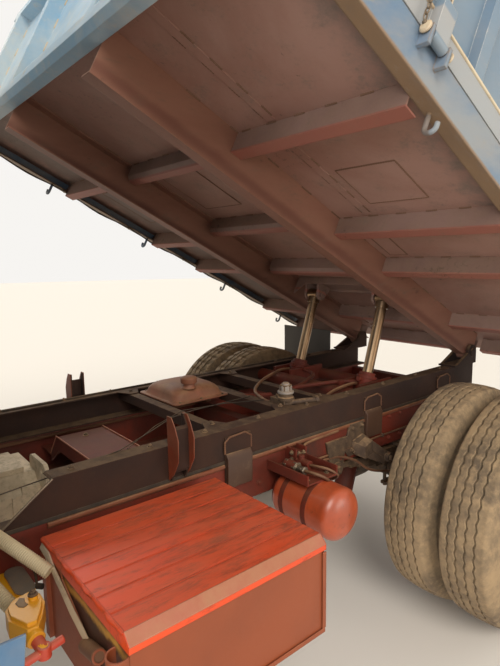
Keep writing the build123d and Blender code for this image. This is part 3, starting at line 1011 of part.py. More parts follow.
# Opening above the front wall's bent edge: points (x, z)
BOX_MOUTH = ((BOX_X[0] + 130, BOX_Z[1] - SHEET), (BOX_X[0] + 130, BOX_Z[0] + 223),
             (BOX_X[0] + 311, BOX_Z[0] + 131), (BOX_X[1] - 4 * SHEET, BOX_Z[0] + 40),
             (BOX_X[1] - 4 * SHEET, BOX_Z[1] - SHEET))
STUB_RADIUS = 17
BAND_RADIUS = 27
with BuildPart() as battery_box:
    block((BOX_X[0] + SHEET, BOX_X[1] - SHEET), (BOX_Y[0] + SHEET, BOX_Y[1] - SHEET),
          (BOX_Z[0], BOX_Z[1] - SHEET))
    block((BOX_X[0] + 2 * SHEET, BOX_X[1] - 2 * SHEET), (BOX_Y[0] + 2 * SHEET, BOX_Y[1] - 2 * SHEET),
          (BOX_Z[0] + SHEET, BOX_Z[1]), Mode.SUBTRACT)
    with BuildSketch(Plane.XZ.offset(-BOX_Y[0])) as mouth:
        with BuildLine():
            Polyline(*BOX_MOUTH, close=True)
        make_face()
    extrude(mouth.sketch, amount=-4 * SHEET, mode=Mode.SUBTRACT)
    with BuildSketch(Plane.XZ.offset(-(BOX_Y[0] - 1))) as box_bevel:
        with BuildLine():
            Polyline((BOX_X[1] + 1, BOX_Z[1] + 1), (BOX_X[1] - COVER_BEVEL - 2 * SHEET, BOX_Z[1] + 1),
                     (BOX_X[1] + 1, BOX_Z[1] - COVER_BEVEL - 2 * SHEET), close=True)
        make_face()
    extrude(box_bevel.sketch, amount=-(BOX_LENGTH + 2), mode=Mode.SUBTRACT)
    # Inner front post, the pipe stub on the bent edge and the open band beside it
    block((BOX_X[0] + SHEET, BOX_X[0] + 34), (BOX_Y[0] - 8, BOX_Y[0] + SHEET + 2),
          (BOX_Z[0], BOX_Z[1] - COVER_DEPTH - 2))
    stub = ((BOX_X[0] + 296, BOX_Y[0] - 4, BOX_Z[0] + 136), (BOX_X[0] + 404, BOX_Y[0] - 14, BOX_Z[0] + 178))
    bar(*stub, STUB_RADIUS)
    bar(*stub, STUB_RADIUS - 5, Mode.SUBTRACT)
    block((BOX_X[0] + 316, BOX_X[0] + 340), (BOX_Y[0] - 4, BOX_Y[0] + 2 * SHEET),
          (BOX_Z[0] + 90, BOX_Z[0] + 140))
    band_x = BOX_X[1] - SHEET - BAND_RADIUS + 3
    band_z = (BOX_Z[0] + 196, BOX_Z[0] + 244)
    band_y = BOX_Y[0] - 12
    bar((band_x, band_y, band_z[0]), (band_x, band_y, band_z[1]), BAND_RADIUS)
    bar((band_x, band_y, band_z[0]), (band_x, band_y, band_z[1]), BAND_RADIUS - 4, Mode.SUBTRACT)
    block((band_x - 30, band_x + 4), (band_y + 6, band_y + 30), band_z, Mode.SUBTRACT)
    for bracket_y in (BOX_Y[0] + 107, BOX_Y[1] - 98):
        block((FRAME_HALF_WIDTH, BOX_X[0] + SHEET), (bracket_y - 25, bracket_y + 25),
              (BOX_Z[0] + 140, BOX_Z[0] + 200))
battery_box.part.label = "battery_box"
export_step(battery_box.part, "parts/battery_box.step")

COVER_GROOVES = 6
COVER_GROOVE_HALF = 4


def cover_outline(inset):
    """Outline (x, z) of the cover with its bevelled outer edge, shrunk by `inset`."""
    top = BOX_Z[1] - inset
    low = BOX_Z[1] - COVER_DEPTH - min(inset, 1)
    return ((BOX_X[0] + inset, low), (BOX_X[0] + inset, top), (BOX_X[1] - COVER_BEVEL - inset / 2, top),
            (BOX_X[1] - inset, BOX_Z[1] - COVER_BEVEL - inset / 2), (BOX_X[1] - inset, low))


with BuildPart() as battery_cover:
    for inset, mode in ((0, Mode.ADD), (SHEET, Mode.SUBTRACT)):
        with BuildSketch(Plane.XZ.offset(-(BOX_Y[0] + inset))) as cover_face:
            with BuildLine():
                Polyline(*cover_outline(inset), close=True)
            make_face()
        extrude(cover_face.sketch, amount=-(BOX_LENGTH - 2 * inset), mode=mode)
    groove_pitch = (BOX_X[1] - BOX_X[0] - COVER_BEVEL) / (COVER_GROOVES + 1)
    for groove in range(1, COVER_GROOVES + 1):
        groove_x = BOX_X[0] + groove * groove_pitch
        block((groove_x - COVER_GROOVE_HALF, groove_x + COVER_GROOVE_HALF), (BOX_Y[0], BOX_Y[1]),
              (BOX_Z[1] - 2, BOX_Z[1]), Mode.SUBTRACT)
battery_cover.part.label = "battery_cover"
export_step(battery_cover.part, "parts/battery_cover.step")

# Air tank across the truck, hung under its folded shelf
AIR_Y = REAR_AXLE_Y - 910
AIR_Z = RAIL_LOW_Z - 8
AIR_RADIUS = 100
AIR_INNER_X = FRAME_HALF_WIDTH + 17
AIR_LENGTH = 322
AIR_OUTER_X = AIR_INNER_X + AIR_LENGTH
SHELF_Z = RAIL_LOW_Z + 102
SHELF_WALL = 6
SHELF_HALF_LENGTH = 84
SHELF_OUTER_X = FRAME_HALF_WIDTH + 229
TANK_BAND = 3
# Tank's outline: distance from its inner end, share of its radius
AIR_PROFILE = ((0, 0), (0, 0.55), (14, 0.86), (40, 1), (AIR_LENGTH - 60, 1), (AIR_LENGTH - 26, 0.8),
               (AIR_LENGTH - 6, 0.36), (AIR_LENGTH, 0.3), (AIR_LENGTH, 0))
SHELF_FOLD = 34
UNION_X = (FRAME_HALF_WIDTH + 60, FRAME_HALF_WIDTH + 118)
with BuildPart() as air_tank:
    turned_line = [(AIR_INNER_X + along, AIR_RADIUS * share) for along, share in AIR_PROFILE]
    with BuildSketch(Plane(origin=(0, AIR_Y, AIR_Z), x_dir=(1, 0, 0), z_dir=(0, -1, 0))) as air_section:
        with BuildLine():
            Polyline(*turned_line, close=True)
        make_face()
    revolve(air_section.sketch, axis=Axis((0, AIR_Y, AIR_Z), (1, 0, 0)))
    block((FRAME_HALF_WIDTH, SHELF_OUTER_X), (AIR_Y - SHELF_HALF_LENGTH, AIR_Y + SHELF_HALF_LENGTH),
          (SHELF_Z - SHELF_WALL, SHELF_Z))
    for y_edge in (AIR_Y - SHELF_HALF_LENGTH, AIR_Y + SHELF_HALF_LENGTH - SHELF_WALL):
        block((FRAME_HALF_WIDTH, SHELF_OUTER_X), (y_edge, y_edge + SHELF_WALL),
              (SHELF_Z - SHELF_WALL, SHELF_Z + SHELF_FOLD))
    for strap_x in (AIR_INNER_X + 68, AIR_INNER_X + 188):
        block((strap_x, strap_x + 24), (AIR_Y - 30, AIR_Y + 30),
              (AIR_Z + AIR_RADIUS - 8, SHELF_Z - SHELF_WALL))
        bar((strap_x, AIR_Y, AIR_Z), (strap_x + 24, AIR_Y, AIR_Z), AIR_RADIUS + TANK_BAND)
    # Fittings on the shelf: a round union, a tee behind it and the bracket plates on the web
    bar((UNION_X[0], AIR_Y - 30, SHELF_Z + 20), (UNION_X[1], AIR_Y - 30, SHELF_Z + 20), 22)
    bar((UNION_X[0] - 22, AIR_Y + 34, SHELF_Z + 16), (UNION_X[1] + 10, AIR_Y + 34, SHELF_Z + 16), 17)
    bar((UNION_X[0] + 20, AIR_Y + 34, SHELF_Z), (UNION_X[0] + 20, AIR_Y + 34, SHELF_Z + 46), 13)
    for plate_y in (AIR_Y + 18, AIR_Y + 74):
        block((FRAME_HALF_WIDTH, FRAME_HALF_WIDTH + 64), (plate_y, plate_y + 8), (SHELF_Z - 3, SHELF_Z + 66))
    block((FRAME_HALF_WIDTH, FRAME_HALF_WIDTH + 50), (AIR_Y + 18, AIR_Y + 82), (SHELF_Z + 36, SHELF_Z + 44))
air_tank.part.label = "air_tank"
export_step(air_tank.part, "parts/air_tank.step")

# Fuel tank on the right
FUEL_WIDTH = 480
FUEL_HEIGHT = 440
FUEL_LENGTH = 700
FUEL_INNER_X = -FRAME_HALF_WIDTH - 85
FUEL_FRONT_Y = FRONT_AXLE_Y + 1000
FUEL_Z = RAIL_LOW_Z - 50
FUEL_STRAP = 4
FUEL_CAP_RADIUS = 48
with BuildPart() as fuel_tank:
    with BuildSketch(Plane.XZ.offset(-FUEL_FRONT_Y)) as fuel_face:
        with Locations((FUEL_INNER_X - FUEL_WIDTH / 2, FUEL_Z)):
            RectangleRounded(FUEL_WIDTH, FUEL_HEIGHT, 90)
    extrude(fuel_face.sketch, amount=-FUEL_LENGTH)
    bar((FUEL_INNER_X - FUEL_WIDTH + 90, FUEL_FRONT_Y + 110, FUEL_Z + FUEL_HEIGHT / 2 - 10),
        (FUEL_INNER_X - FUEL_WIDTH + 90, FUEL_FRONT_Y + 110, FUEL_Z + FUEL_HEIGHT / 2 + 34), FUEL_CAP_RADIUS)
    for bracket_y in (FUEL_FRONT_Y + 150, FUEL_FRONT_Y + FUEL_LENGTH - 150):
        with BuildSketch(Plane.XZ.offset(-(bracket_y - 22))) as strap_face:
            with Locations((FUEL_INNER_X - FUEL_WIDTH / 2, FUEL_Z)):
                RectangleRounded(FUEL_WIDTH + 2 * FUEL_STRAP, FUEL_HEIGHT + 2 * FUEL_STRAP, 90 + FUEL_STRAP)
        extrude(strap_face.sketch, amount=-44)
        block((FUEL_INNER_X - 10, -FRAME_HALF_WIDTH), (bracket_y - 25, bracket_y + 25),
              (FUEL_Z + 100, FUEL_Z + 160))
fuel_tank.part.label = "fuel_tank"
export_step(fuel_tank.part, "parts/fuel_tank.step")

# Oil tank between the rails: pressed top, seam flange and filler cap
OIL_X = (-310, 20)
OIL_LENGTH = 305
OIL_Y = (REAR_AXLE_Y - OIL_AHEAD, REAR_AXLE_Y - OIL_AHEAD + OIL_LENGTH)
OIL_LOW_Z = RAIL_LOW_Z + 110
OIL_FLANGE_Z = SUB_TOP_Z - SUB_WALL
OIL_INSET = 48
with BuildPart() as oil_tank:
    block((OIL_X[0] + OIL_INSET, OIL_X[1] - OIL_INSET), (OIL_Y[0] + OIL_INSET, OIL_Y[1] - OIL_INSET),
          (OIL_LOW_Z, OIL_FLANGE_Z))
    block(OIL_X, OIL_Y, (OIL_FLANGE_Z, OIL_FLANGE_Z + 6))
    with BuildSketch(Plane.XY.offset(OIL_FLANGE_Z + 6)) as oil_top:
        with Locations(((OIL_X[0] + OIL_X[1]) / 2, (OIL_Y[0] + OIL_Y[1]) / 2)):
            RectangleRounded(OIL_X[1] - OIL_X[0] - 30, OIL_Y[1] - OIL_Y[0] - 30, 40)
    extrude(oil_top.sketch, amount=56, taper=14)
    bar((-30, OIL_Y[0] + 110, OIL_FLANGE_Z + 60), (-30, OIL_Y[0] + 110, OIL_FLANGE_Z + 84), 24)
    bar((-30, OIL_Y[0] + 110, OIL_FLANGE_Z + 84), (-30, OIL_Y[0] + 110, OIL_FLANGE_Z + 104), 32)
oil_tank.part.label = "oil_tank"
export_step(oil_tank.part, "parts/oil_tank.step")

# Control valve behind the middle cross bar
VALVE_Y = REAR_AXLE_Y - SUB_BAR_STATIONS[1] + BAR_LEG
VALVE_TOP_Z = SUB_TOP_Z + 34
with BuildPart() as control_valve:
    block((250, 340), (VALVE_Y, VALVE_Y + 66), (SUB_TOP_Z - 46, VALVE_TOP_Z - 14))
    bar((295, VALVE_Y + 33, VALVE_TOP_Z - 14), (295, VALVE_Y + 33, VALVE_TOP_Z), 30)
    bar((318, VALVE_Y + 31, VALVE_TOP_Z - 14), (318, VALVE_Y + 31, VALVE_TOP_Z + 20), 15)
    with BuildSketch(Plane.XY.offset(VALVE_TOP_Z + 16)) as cap_face:
        with Locations((318, VALVE_Y + 31)):
            RegularPolygon(27, 6)
    extrude(cap_face.sketch, amount=32)
    bar((340, VALVE_Y + 33, SUB_TOP_Z - 20), (366, VALVE_Y + 33, SUB_TOP_Z - 20), 13)
    bar((224, VALVE_Y + 33, SUB_TOP_Z - 20), (250, VALVE_Y + 33, SUB_TOP_Z - 20), 13)
control_valve.part.label = "control_valve"
export_step(control_valve.part, "parts/control_valve.step")

# Pump unit on its bracket beside the battery box: a flat tapered housing whose neck carries a tee
# handle. Housing's outline: x from the web, y from the unit's middle
PUMP_Y = FRONT_AXLE_Y + 885
PUMP_LOW_Z = RAIL_LOW_Z + 66
PUMP_TOP_Z = RAIL_LOW_Z + 112
PUMP_OUTLINE = ((247, -42), (222, -20), (211, 33), (232, 45), (273, 44), (318, 24), (352, 4), (350, -21),
                (289, -46))
PUMP_RIM = 0.86
TEE_X = FRAME_HALF_WIDTH + 400
TEE_Z = RAIL_LOW_Z + 74
with BuildPart() as pump_unit:
    for share, span_z in ((1, (PUMP_LOW_Z, PUMP_TOP_Z)), (PUMP_RIM, (PUMP_TOP_Z, PUMP_TOP_Z + 9))):
        middle_x = FRAME_HALF_WIDTH + 275
        with BuildSketch(Plane.XY.offset(span_z[0])) as housing:
            with BuildLine():
                Polyline(*[(middle_x + share * (FRAME_HALF_WIDTH + along - middle_x), PUMP_Y + share * over)
                           for along, over in PUMP_OUTLINE], close=True)
            make_face()
        extrude(housing.sketch, amount=span_z[1] - span_z[0])
    neck = ((FRAME_HALF_WIDTH + 340, PUMP_Y - 8, PUMP_LOW_Z + 24), (TEE_X, PUMP_Y, TEE_Z))
    bar(*neck, 14)
    bar(neck[0], (FRAME_HALF_WIDTH + 362, PUMP_Y - 6, PUMP_LOW_Z + 20), 21)
    bar((TEE_X - 4, PUMP_Y - 46, TEE_Z - 4), (TEE_X - 10, PUMP_Y + 44, TEE_Z + 6), 9)
    bar((TEE_X - 8, PUMP_Y, TEE_Z - 14), (TEE_X - 8, PUMP_Y, TEE_Z + 14), 15)
    bar((FRAME_HALF_WIDTH + 255, PUMP_Y + 22, PUMP_TOP_Z + 9),
        (FRAME_HALF_WIDTH + 255, PUMP_Y + 22, PUMP_TOP_Z + 20), 11)
    block((FRAME_HALF_WIDTH, FRAME_HALF_WIDTH + 280), (PUMP_Y - 20, PUMP_Y + 30),
          (PUMP_LOW_Z - 8, PUMP_LOW_Z))
    # Loose flat lug beside the hoses, on the same bracket
    with BuildSketch(Plane.XY.offset(PUMP_LOW_Z)) as lug_face:
        with Locations((FRAME_HALF_WIDTH + 78, PUMP_Y + 38)):
            RectangleRounded(150, 52, 25)
    extrude(lug_face.sketch, amount=7)
pump_unit.part.label = "pump_unit"
export_step(pump_unit.part, "parts/pump_unit.step")

# Ribbed hoses, held at both ends: over the rail into the box's corner, and down to the pump unit
HOSE_RADIUS = 18
HOSE_BEND = 70
HOSE_START_X = CASE_HALF_WIDTH + 8
HOSE_START_Z = GEARBOX_TOP_Z - 80
HOSE_TOP_Z = RAIL_TOP_Z + 27
HOSE_COLLAR = 5
HOSE_ROUTES = (
    ((HOSE_START_X, GEARBOX_REAR_Y - 275, HOSE_START_Z), (330, GEARBOX_REAR_Y - 258, HOSE_TOP_Z),
     (462, GEARBOX_REAR_Y - 234, HOSE_TOP_Z), (BOX_X[0] + 96, BOX_Y[0] - 16, BOX_Z[1] - 54)),
    ((HOSE_START_X, GEARBOX_REAR_Y - 392, HOSE_START_Z), (330, GEARBOX_REAR_Y - 370, HOSE_TOP_Z),
     (462, GEARBOX_REAR_Y - 326, HOSE_TOP_Z), (FRAME_HALF_WIDTH + 206, PUMP_Y - 18, PUMP_LOW_Z + 24)),
)
with BuildPart() as battery_hoses:
    for hose_route in HOSE_ROUTES:
        pipe(hose_route, HOSE_BEND, HOSE_RADIUS)
        run = (Vector(*hose_route[3]) - Vector(*hose_route[2])).normalized()
        middle = (Vector(*hose_route[3]) + Vector(*hose_route[2])) * 0.5
        bar(middle, middle + run * 12, HOSE_RADIUS + HOSE_COLLAR)
battery_hoses.part.label = "battery_hoses"
export_step(battery_hoses.part, "parts/battery_hoses.step")

# Mudflaps behind the twin tyres, on arms from the rails
FLAP_X = (DUAL_FACE_X - 238, DUAL_FACE_X + 252)
FLAP_Y = FRAME_REAR_Y - 70
FLAP_ARM_Z = RAIL_LOW_Z + 130
with BuildPart() as mudflaps:
    for _, side in SIDES:
        block((side * FLAP_X[0], side * FLAP_X[1]), (FLAP_Y, FLAP_Y + 8), (AXLE_Z - 60, AXLE_Z + 575))
        block((side * FRAME_HALF_WIDTH, side * (FLAP_X[1] - 20)), (FLAP_Y + 8, FLAP_Y + 34),
              (FLAP_ARM_Z, FLAP_ARM_Z + 36))
mudflaps.part.label = "mudflaps"
export_step(mudflaps.part, "parts/mudflaps.step")

# Front bumper with a step box at each end
NOSE_LENGTH_Y = 300
NOSE_REAR_Y = CAB_FRONT_Y + NOSE_LENGTH_Y
BUMPER_HALF_WIDTH = CAB_HALF_WIDTH - 25
BUMPER_WALL = 20
BUMPER_REACH = 110
BUMPER_CORNER = 90
BUMPER_LOW_Z = RAIL_LOW_Z - 210
BUMPER_HEIGHT = 240
STEP_WALL = 30
BUMPER_FACE_Y = CAB_FRONT_Y - BUMPER_REACH
with BuildPart() as bumper:
    with BuildSketch(Plane.XY.offset(BUMPER_LOW_Z)) as bumper_plan:
        with BuildLine():
            Polyline((-BUMPER_HALF_WIDTH, CAB_FRONT_Y + 60), (-BUMPER_HALF_WIDTH, BUMPER_FACE_Y + 70),
                     (-BUMPER_HALF_WIDTH + BUMPER_CORNER, BUMPER_FACE_Y),
                     (BUMPER_HALF_WIDTH - BUMPER_CORNER, BUMPER_FACE_Y),
                     (BUMPER_HALF_WIDTH, BUMPER_FACE_Y + 70), (BUMPER_HALF_WIDTH, CAB_FRONT_Y + 60),
                     (BUMPER_HALF_WIDTH - BUMPER_WALL, CAB_FRONT_Y + 60),
                     (BUMPER_HALF_WIDTH - BUMPER_WALL, BUMPER_FACE_Y + 80),
                     (BUMPER_HALF_WIDTH - BUMPER_CORNER - 8, BUMPER_FACE_Y + BUMPER_WALL),
                     (-BUMPER_HALF_WIDTH + BUMPER_CORNER + 8, BUMPER_FACE_Y + BUMPER_WALL),
                     (-BUMPER_HALF_WIDTH + BUMPER_WALL, BUMPER_FACE_Y + 80),
                     (-BUMPER_HALF_WIDTH + BUMPER_WALL, CAB_FRONT_Y + 60), close=True)
        make_face()
    extrude(bumper_plan.sketch, amount=BUMPER_HEIGHT)
    for _, side in SIDES:
        block((side * (FRAME_HALF_WIDTH - RAIL_FLANGE), side * FRAME_HALF_WIDTH),
              (BUMPER_FACE_Y + BUMPER_WALL, FRAME_FRONT_Y), (RAIL_LOW_Z, RAIL_LOW_Z + 50))
        block((side * (BUMPER_HALF_WIDTH - 250), side * (BUMPER_HALF_WIDTH - 1)),
              (CAB_FRONT_Y - 20, NOSE_REAR_Y - 20), (BUMPER_LOW_Z + 1, CAB_NOSE_LOW_Z - 10))
        block((side * (BUMPER_HALF_WIDTH - 250 + STEP_WALL), side * (BUMPER_HALF_WIDTH + 1)),
              (CAB_FRONT_Y + 50, NOSE_REAR_Y - 20 - STEP_WALL), (BUMPER_LOW_Z + 40, CAB_NOSE_LOW_Z - 40),
              Mode.SUBTRACT)
bumper.part.label = "bumper"
export_step(bumper.part, "parts/bumper.step")

# Cab outline in the (y, z) plane, outside and inside
CAB_OUTLINE = ((CAB_REAR_Y, CAB_LOW_Z), (CAB_REAR_Y, CAB_ROOF_Z - 60), (CAB_REAR_Y - 60, CAB_ROOF_Z),
               (CAB_FRONT_Y + 260, CAB_ROOF_Z), (CAB_FRONT_Y + 150, CAB_ROOF_Z - 70),
               (CAB_FRONT_Y, CAB_WAIST_Z), (CAB_FRONT_Y, CAB_NOSE_LOW_Z), (NOSE_REAR_Y, CAB_NOSE_LOW_Z),
               (NOSE_REAR_Y, CAB_LOW_Z))
DOOR_FRONT_Y = CAB_FRONT_Y + 210
DOOR_REAR_Y = CAB_FRONT_Y + 1150
DOOR_LOW_Z = CAB_LOW_Z + 10
DOOR_TOP_Z = CAB_ROOF_Z - 130
DOOR_SPLIT_Y = CAB_FRONT_Y + 100
DOOR_OUTLINE = ((DOOR_FRONT_Y - 60, DOOR_LOW_Z), (DOOR_REAR_Y, DOOR_LOW_Z), (DOOR_REAR_Y, DOOR_TOP_Z),
                (DOOR_FRONT_Y + 60, DOOR_TOP_Z), (DOOR_FRONT_Y - 60, CAB_WAIST_Z))
CAB_CORNER = 70
HUMP_HALF_WIDTH = 400
HUMP_TOP_Z = CAB_LOW_Z + 280
HUMP_BEHIND_NOSE = 300


def add_cab_shell():
    """Add the closed cab shell: rounded outside form less the cabin and the space in its nose."""
    across((-CAB_HALF_WIDTH, CAB_HALF_WIDTH), CAB_OUTLINE)
    with BuildSketch(Plane.XY.offset(CAB_NOSE_LOW_Z - 5)) as cab_plan:
        with Locations((0, (CAB_FRONT_Y + CAB_REAR_Y) / 2)):
            RectangleRounded(2 * CAB_HALF_WIDTH, CAB_LENGTH, CAB_CORNER)
    extrude(cab_plan.sketch, amount=CAB_ROOF_Z - CAB_NOSE_LOW_Z + 10, mode=Mode.INTERSECT)
    with BuildSketch(Plane.XZ.offset(-(CAB_FRONT_Y - 5))) as cab_face:
        with Locations((0, CAB_ROOF_Z - CAB_HEIGHT)):
            RectangleRounded(2 * CAB_HALF_WIDTH, 2 * CAB_HEIGHT, CAB_CORNER)
    extrude(cab_face.sketch, amount=-(CAB_LENGTH + 10), mode=Mode.INTERSECT)
    inside = CAB_HALF_WIDTH - CAB_WALL
    across((-inside, inside),
           ((CAB_REAR_Y - CAB_WALL, CAB_FLOOR_Z + CAB_WALL), (CAB_REAR_Y - CAB_WALL, CAB_ROOF_Z - 90),
            (CAB_REAR_Y - 80, CAB_ROOF_Z - CAB_WALL), (CAB_FRONT_Y + 260, CAB_ROOF_Z - CAB_WALL),
            (CAB_FRONT_Y + 180, CAB_ROOF_Z - 80), (CAB_FRONT_Y + CAB_WALL, CAB_WAIST_Z),
            (CAB_FRONT_Y + CAB_WALL, CAB_FLOOR_Z + CAB_WALL)), Mode.SUBTRACT)
    across((-inside, inside),
           ((CAB_REAR_Y + 10, CAB_LOW_Z - 10), (CAB_REAR_Y + 10, CAB_FLOOR_Z),
            (CAB_FRONT_Y + CAB_WALL, CAB_FLOOR_Z), (CAB_FRONT_Y + CAB_WALL, CAB_NOSE_LOW_Z - 10),
            (NOSE_REAR_Y + 10, CAB_NOSE_LOW_Z - 10),
            (NOSE_REAR_Y + 10, CAB_LOW_Z - 10)), Mode.SUBTRACT)
    hump = (HUMP_HALF_WIDTH, HUMP_HALF_WIDTH - CAB_WALL)
    block((-hump[0], hump[0]), (CAB_FRONT_Y + HUMP_BEHIND_NOSE, CAB_REAR_Y - 1), (CAB_FLOOR_Z, HUMP_TOP_Z))
    block((-hump[1], hump[1]), (CAB_FRONT_Y + HUMP_BEHIND_NOSE + CAB_WALL, CAB_REAR_Y + 5),
          (CAB_FLOOR_Z - 5, HUMP_TOP_Z - CAB_WALL), Mode.SUBTRACT)


# Window outlines in the (y, z) plane and the openings in front and rear walls
SIDE_WINDOW = ((DOOR_FRONT_Y + 30, CAB_WAIST_Z + 30), (DOOR_REAR_Y - 70, CAB_WAIST_Z + 30),
               (DOOR_REAR_Y - 70, DOOR_TOP_Z - 70), (DOOR_FRONT_Y + 110, DOOR_TOP_Z - 70))
WINDSCREEN_HALF = CAB_HALF_WIDTH - 115
WINDSCREEN_Z = (CAB_WAIST_Z + 60, CAB_ROOF_Z - 130)
REAR_WINDOW_HALF = 480
REAR_WINDOW_Z = (CAB_WAIST_Z + 130, CAB_ROOF_Z - 210)
GRILLE_HALF = 620
GRILLE_Z = (CAB_NOSE_LOW_Z + 60, CAB_FLOOR_Z + 10)
LAMP_X = 850
LAMP_Z = CAB_NOSE_LOW_Z + 180
LAMP_RADIUS = 85

# Rear mudguard sheets of the front wheels, raked back, with a corner plate on the outer edge
GUARD_X = (CAB_HALF_WIDTH - 345, CAB_HALF_WIDTH - 15)
GUARD_Y = FRONT_AXLE_Y + TYRE_RADIUS + 130
GUARD_WALL = 6
GUARD_RAKE = 70
GUARD_LOW_Z = RAIL_LOW_Z + 10

with BuildPart() as cab_shell:
    add_cab_shell()
    block((-WINDSCREEN_HALF, WINDSCREEN_HALF), (CAB_FRONT_Y - 20, CAB_FRONT_Y + 240), WINDSCREEN_Z,
          Mode.SUBTRACT)
    block((-REAR_WINDOW_HALF, REAR_WINDOW_HALF), (CAB_REAR_Y - 60, CAB_REAR_Y + 20), REAR_WINDOW_Z,
          Mode.SUBTRACT)
    block((-GRILLE_HALF, GRILLE_HALF), (CAB_FRONT_Y - 20, CAB_FRONT_Y + CAB_WALL + 1), GRILLE_Z,
          Mode.SUBTRACT)
    for _, side in SIDES:
        span = sorted((side * (CAB_HALF_WIDTH - CAB_WALL - 1), side * (CAB_HALF_WIDTH + 1)))
        across(span, DOOR_OUTLINE, Mode.SUBTRACT)
        bar((side * LAMP_X, CAB_FRONT_Y - 5, LAMP_Z), (side * LAMP_X, CAB_FRONT_Y + CAB_WALL + 5, LAMP_Z),
            LAMP_RADIUS, Mode.SUBTRACT)
        across(sorted((side * GUARD_X[0], side * GUARD_X[1])),
               ((GUARD_Y, CAB_FLOOR_Z + 2), (GUARD_Y + GUARD_WALL, CAB_FLOOR_Z + 2),
                (GUARD_Y + GUARD_WALL + GUARD_RAKE, GUARD_LOW_Z), (GUARD_Y + GUARD_RAKE, GUARD_LOW_Z)))
        across(sorted((side * (GUARD_X[1] - GUARD_WALL), side * GUARD_X[1])),
               ((GUARD_Y + 24, CAB_LOW_Z - 54), (GUARD_Y + 152, CAB_LOW_Z - 58),
                (GUARD_Y + 144, CAB_LOW_Z - 124), (GUARD_Y + 40, CAB_LOW_Z - 150)))
cab_shell.part.label = "cab_shell"
export_step(cab_shell.part, "parts/cab_shell.step")

# Doors: the wall inside the doorway less a gap all round, with their windows
for side_name, side in SIDES:
    span = sorted((side * (CAB_HALF_WIDTH - CAB_WALL), side * CAB_HALF_WIDTH))
    with BuildPart() as door:
        with BuildSketch(Plane.YZ.offset(span[0])) as door_face:
            with BuildLine():
                Polyline(*DOOR_OUTLINE, close=True)
            make_face()
            offset(amount=-DOOR_GAP)
            with BuildLine():
                Polyline(*SIDE_WINDOW, close=True)
            make_face(mode=Mode.SUBTRACT)
        extrude(door_face.sketch, amount=CAB_WALL)
    door.part.label = f"door_{side_name}"
    export_step(door.part, f"parts/door_{side_name}.step")

    with BuildPart() as door_glass:
        middle = side * (CAB_HALF_WIDTH - CAB_WALL / 2)
        across((middle - GLASS_WALL / 2, middle + GLASS_WALL / 2), SIDE_WINDOW)
    door_glass.part.label = f"door_glass_{side_name}"
    export_step(door_glass.part, f"parts/door_glass_{side_name}.step")

# Windscreen and rear window
WINDSCREEN_SLOPE = 150 / (CAB_ROOF_Z - 70 - CAB_WAIST_Z)
with BuildPart() as cab_glass:
    low_y = CAB_FRONT_Y + WINDSCREEN_SLOPE * (WINDSCREEN_Z[0] - CAB_WAIST_Z) + 14
    high_y = CAB_FRONT_Y + WINDSCREEN_SLOPE * (WINDSCREEN_Z[1] - CAB_WAIST_Z) + 14
    across((-WINDSCREEN_HALF, WINDSCREEN_HALF),
           ((low_y, WINDSCREEN_Z[0]), (low_y + GLASS_WALL, WINDSCREEN_Z[0]),
            (high_y + GLASS_WALL, WINDSCREEN_Z[1]), (high_y, WINDSCREEN_Z[1])))
    block((-REAR_WINDOW_HALF, REAR_WINDOW_HALF), (CAB_REAR_Y - 22, CAB_REAR_Y - 22 + GLASS_WALL),
          REAR_WINDOW_Z)
cab_glass.part.label = "cab_glass"
export_step(cab_glass.part, "parts/cab_glass.step")

# Grille: a frame with cross bars in the nose's opening
GRILLE_BARS = 6
with BuildPart() as grille:
    block((-GRILLE_HALF, GRILLE_HALF), (CAB_FRONT_Y, CAB_FRONT_Y + 30), GRILLE_Z)
    block((-GRILLE_HALF + 30, GRILLE_HALF - 30), (CAB_FRONT_Y - 1, CAB_FRONT_Y + 31),
          (GRILLE_Z[0] + 25, GRILLE_Z[1] - 25), Mode.SUBTRACT)
    grille_pitch = (GRILLE_Z[1] - GRILLE_Z[0] - 50) / (GRILLE_BARS + 1)
    for grille_bar in range(1, GRILLE_BARS + 1):
        bar_z = GRILLE_Z[0] + 25 + grille_bar * grille_pitch
        block((-GRILLE_HALF + 30, GRILLE_HALF - 30), (CAB_FRONT_Y + 4, CAB_FRONT_Y + 24),
              (bar_z - 8, bar_z + 8))
grille.part.label = "grille"
export_step(grille.part, "parts/grille.step")

# Lamps: round ones in the nose, square ones outside the rail ends
REAR_LAMP_SIZE = 90
with BuildPart() as lamps:
    for _, side in SIDES:
        bar((side * LAMP_X, CAB_FRONT_Y - 12, LAMP_Z), (side * LAMP_X, CAB_FRONT_Y + CAB_WALL, LAMP_Z),
            LAMP_RADIUS)
        block((side * FRAME_HALF_WIDTH, side * (FRAME_HALF_WIDTH + REAR_LAMP_SIZE)),
              (FRAME_REAR_Y - 16, FRAME_REAR_Y + 18), (RAIL_LOW_Z + 20, RAIL_LOW_Z + 20 + REAR_LAMP_SIZE))
lamps.part.label = "lamps"
export_step(lamps.part, "parts/lamps.step")

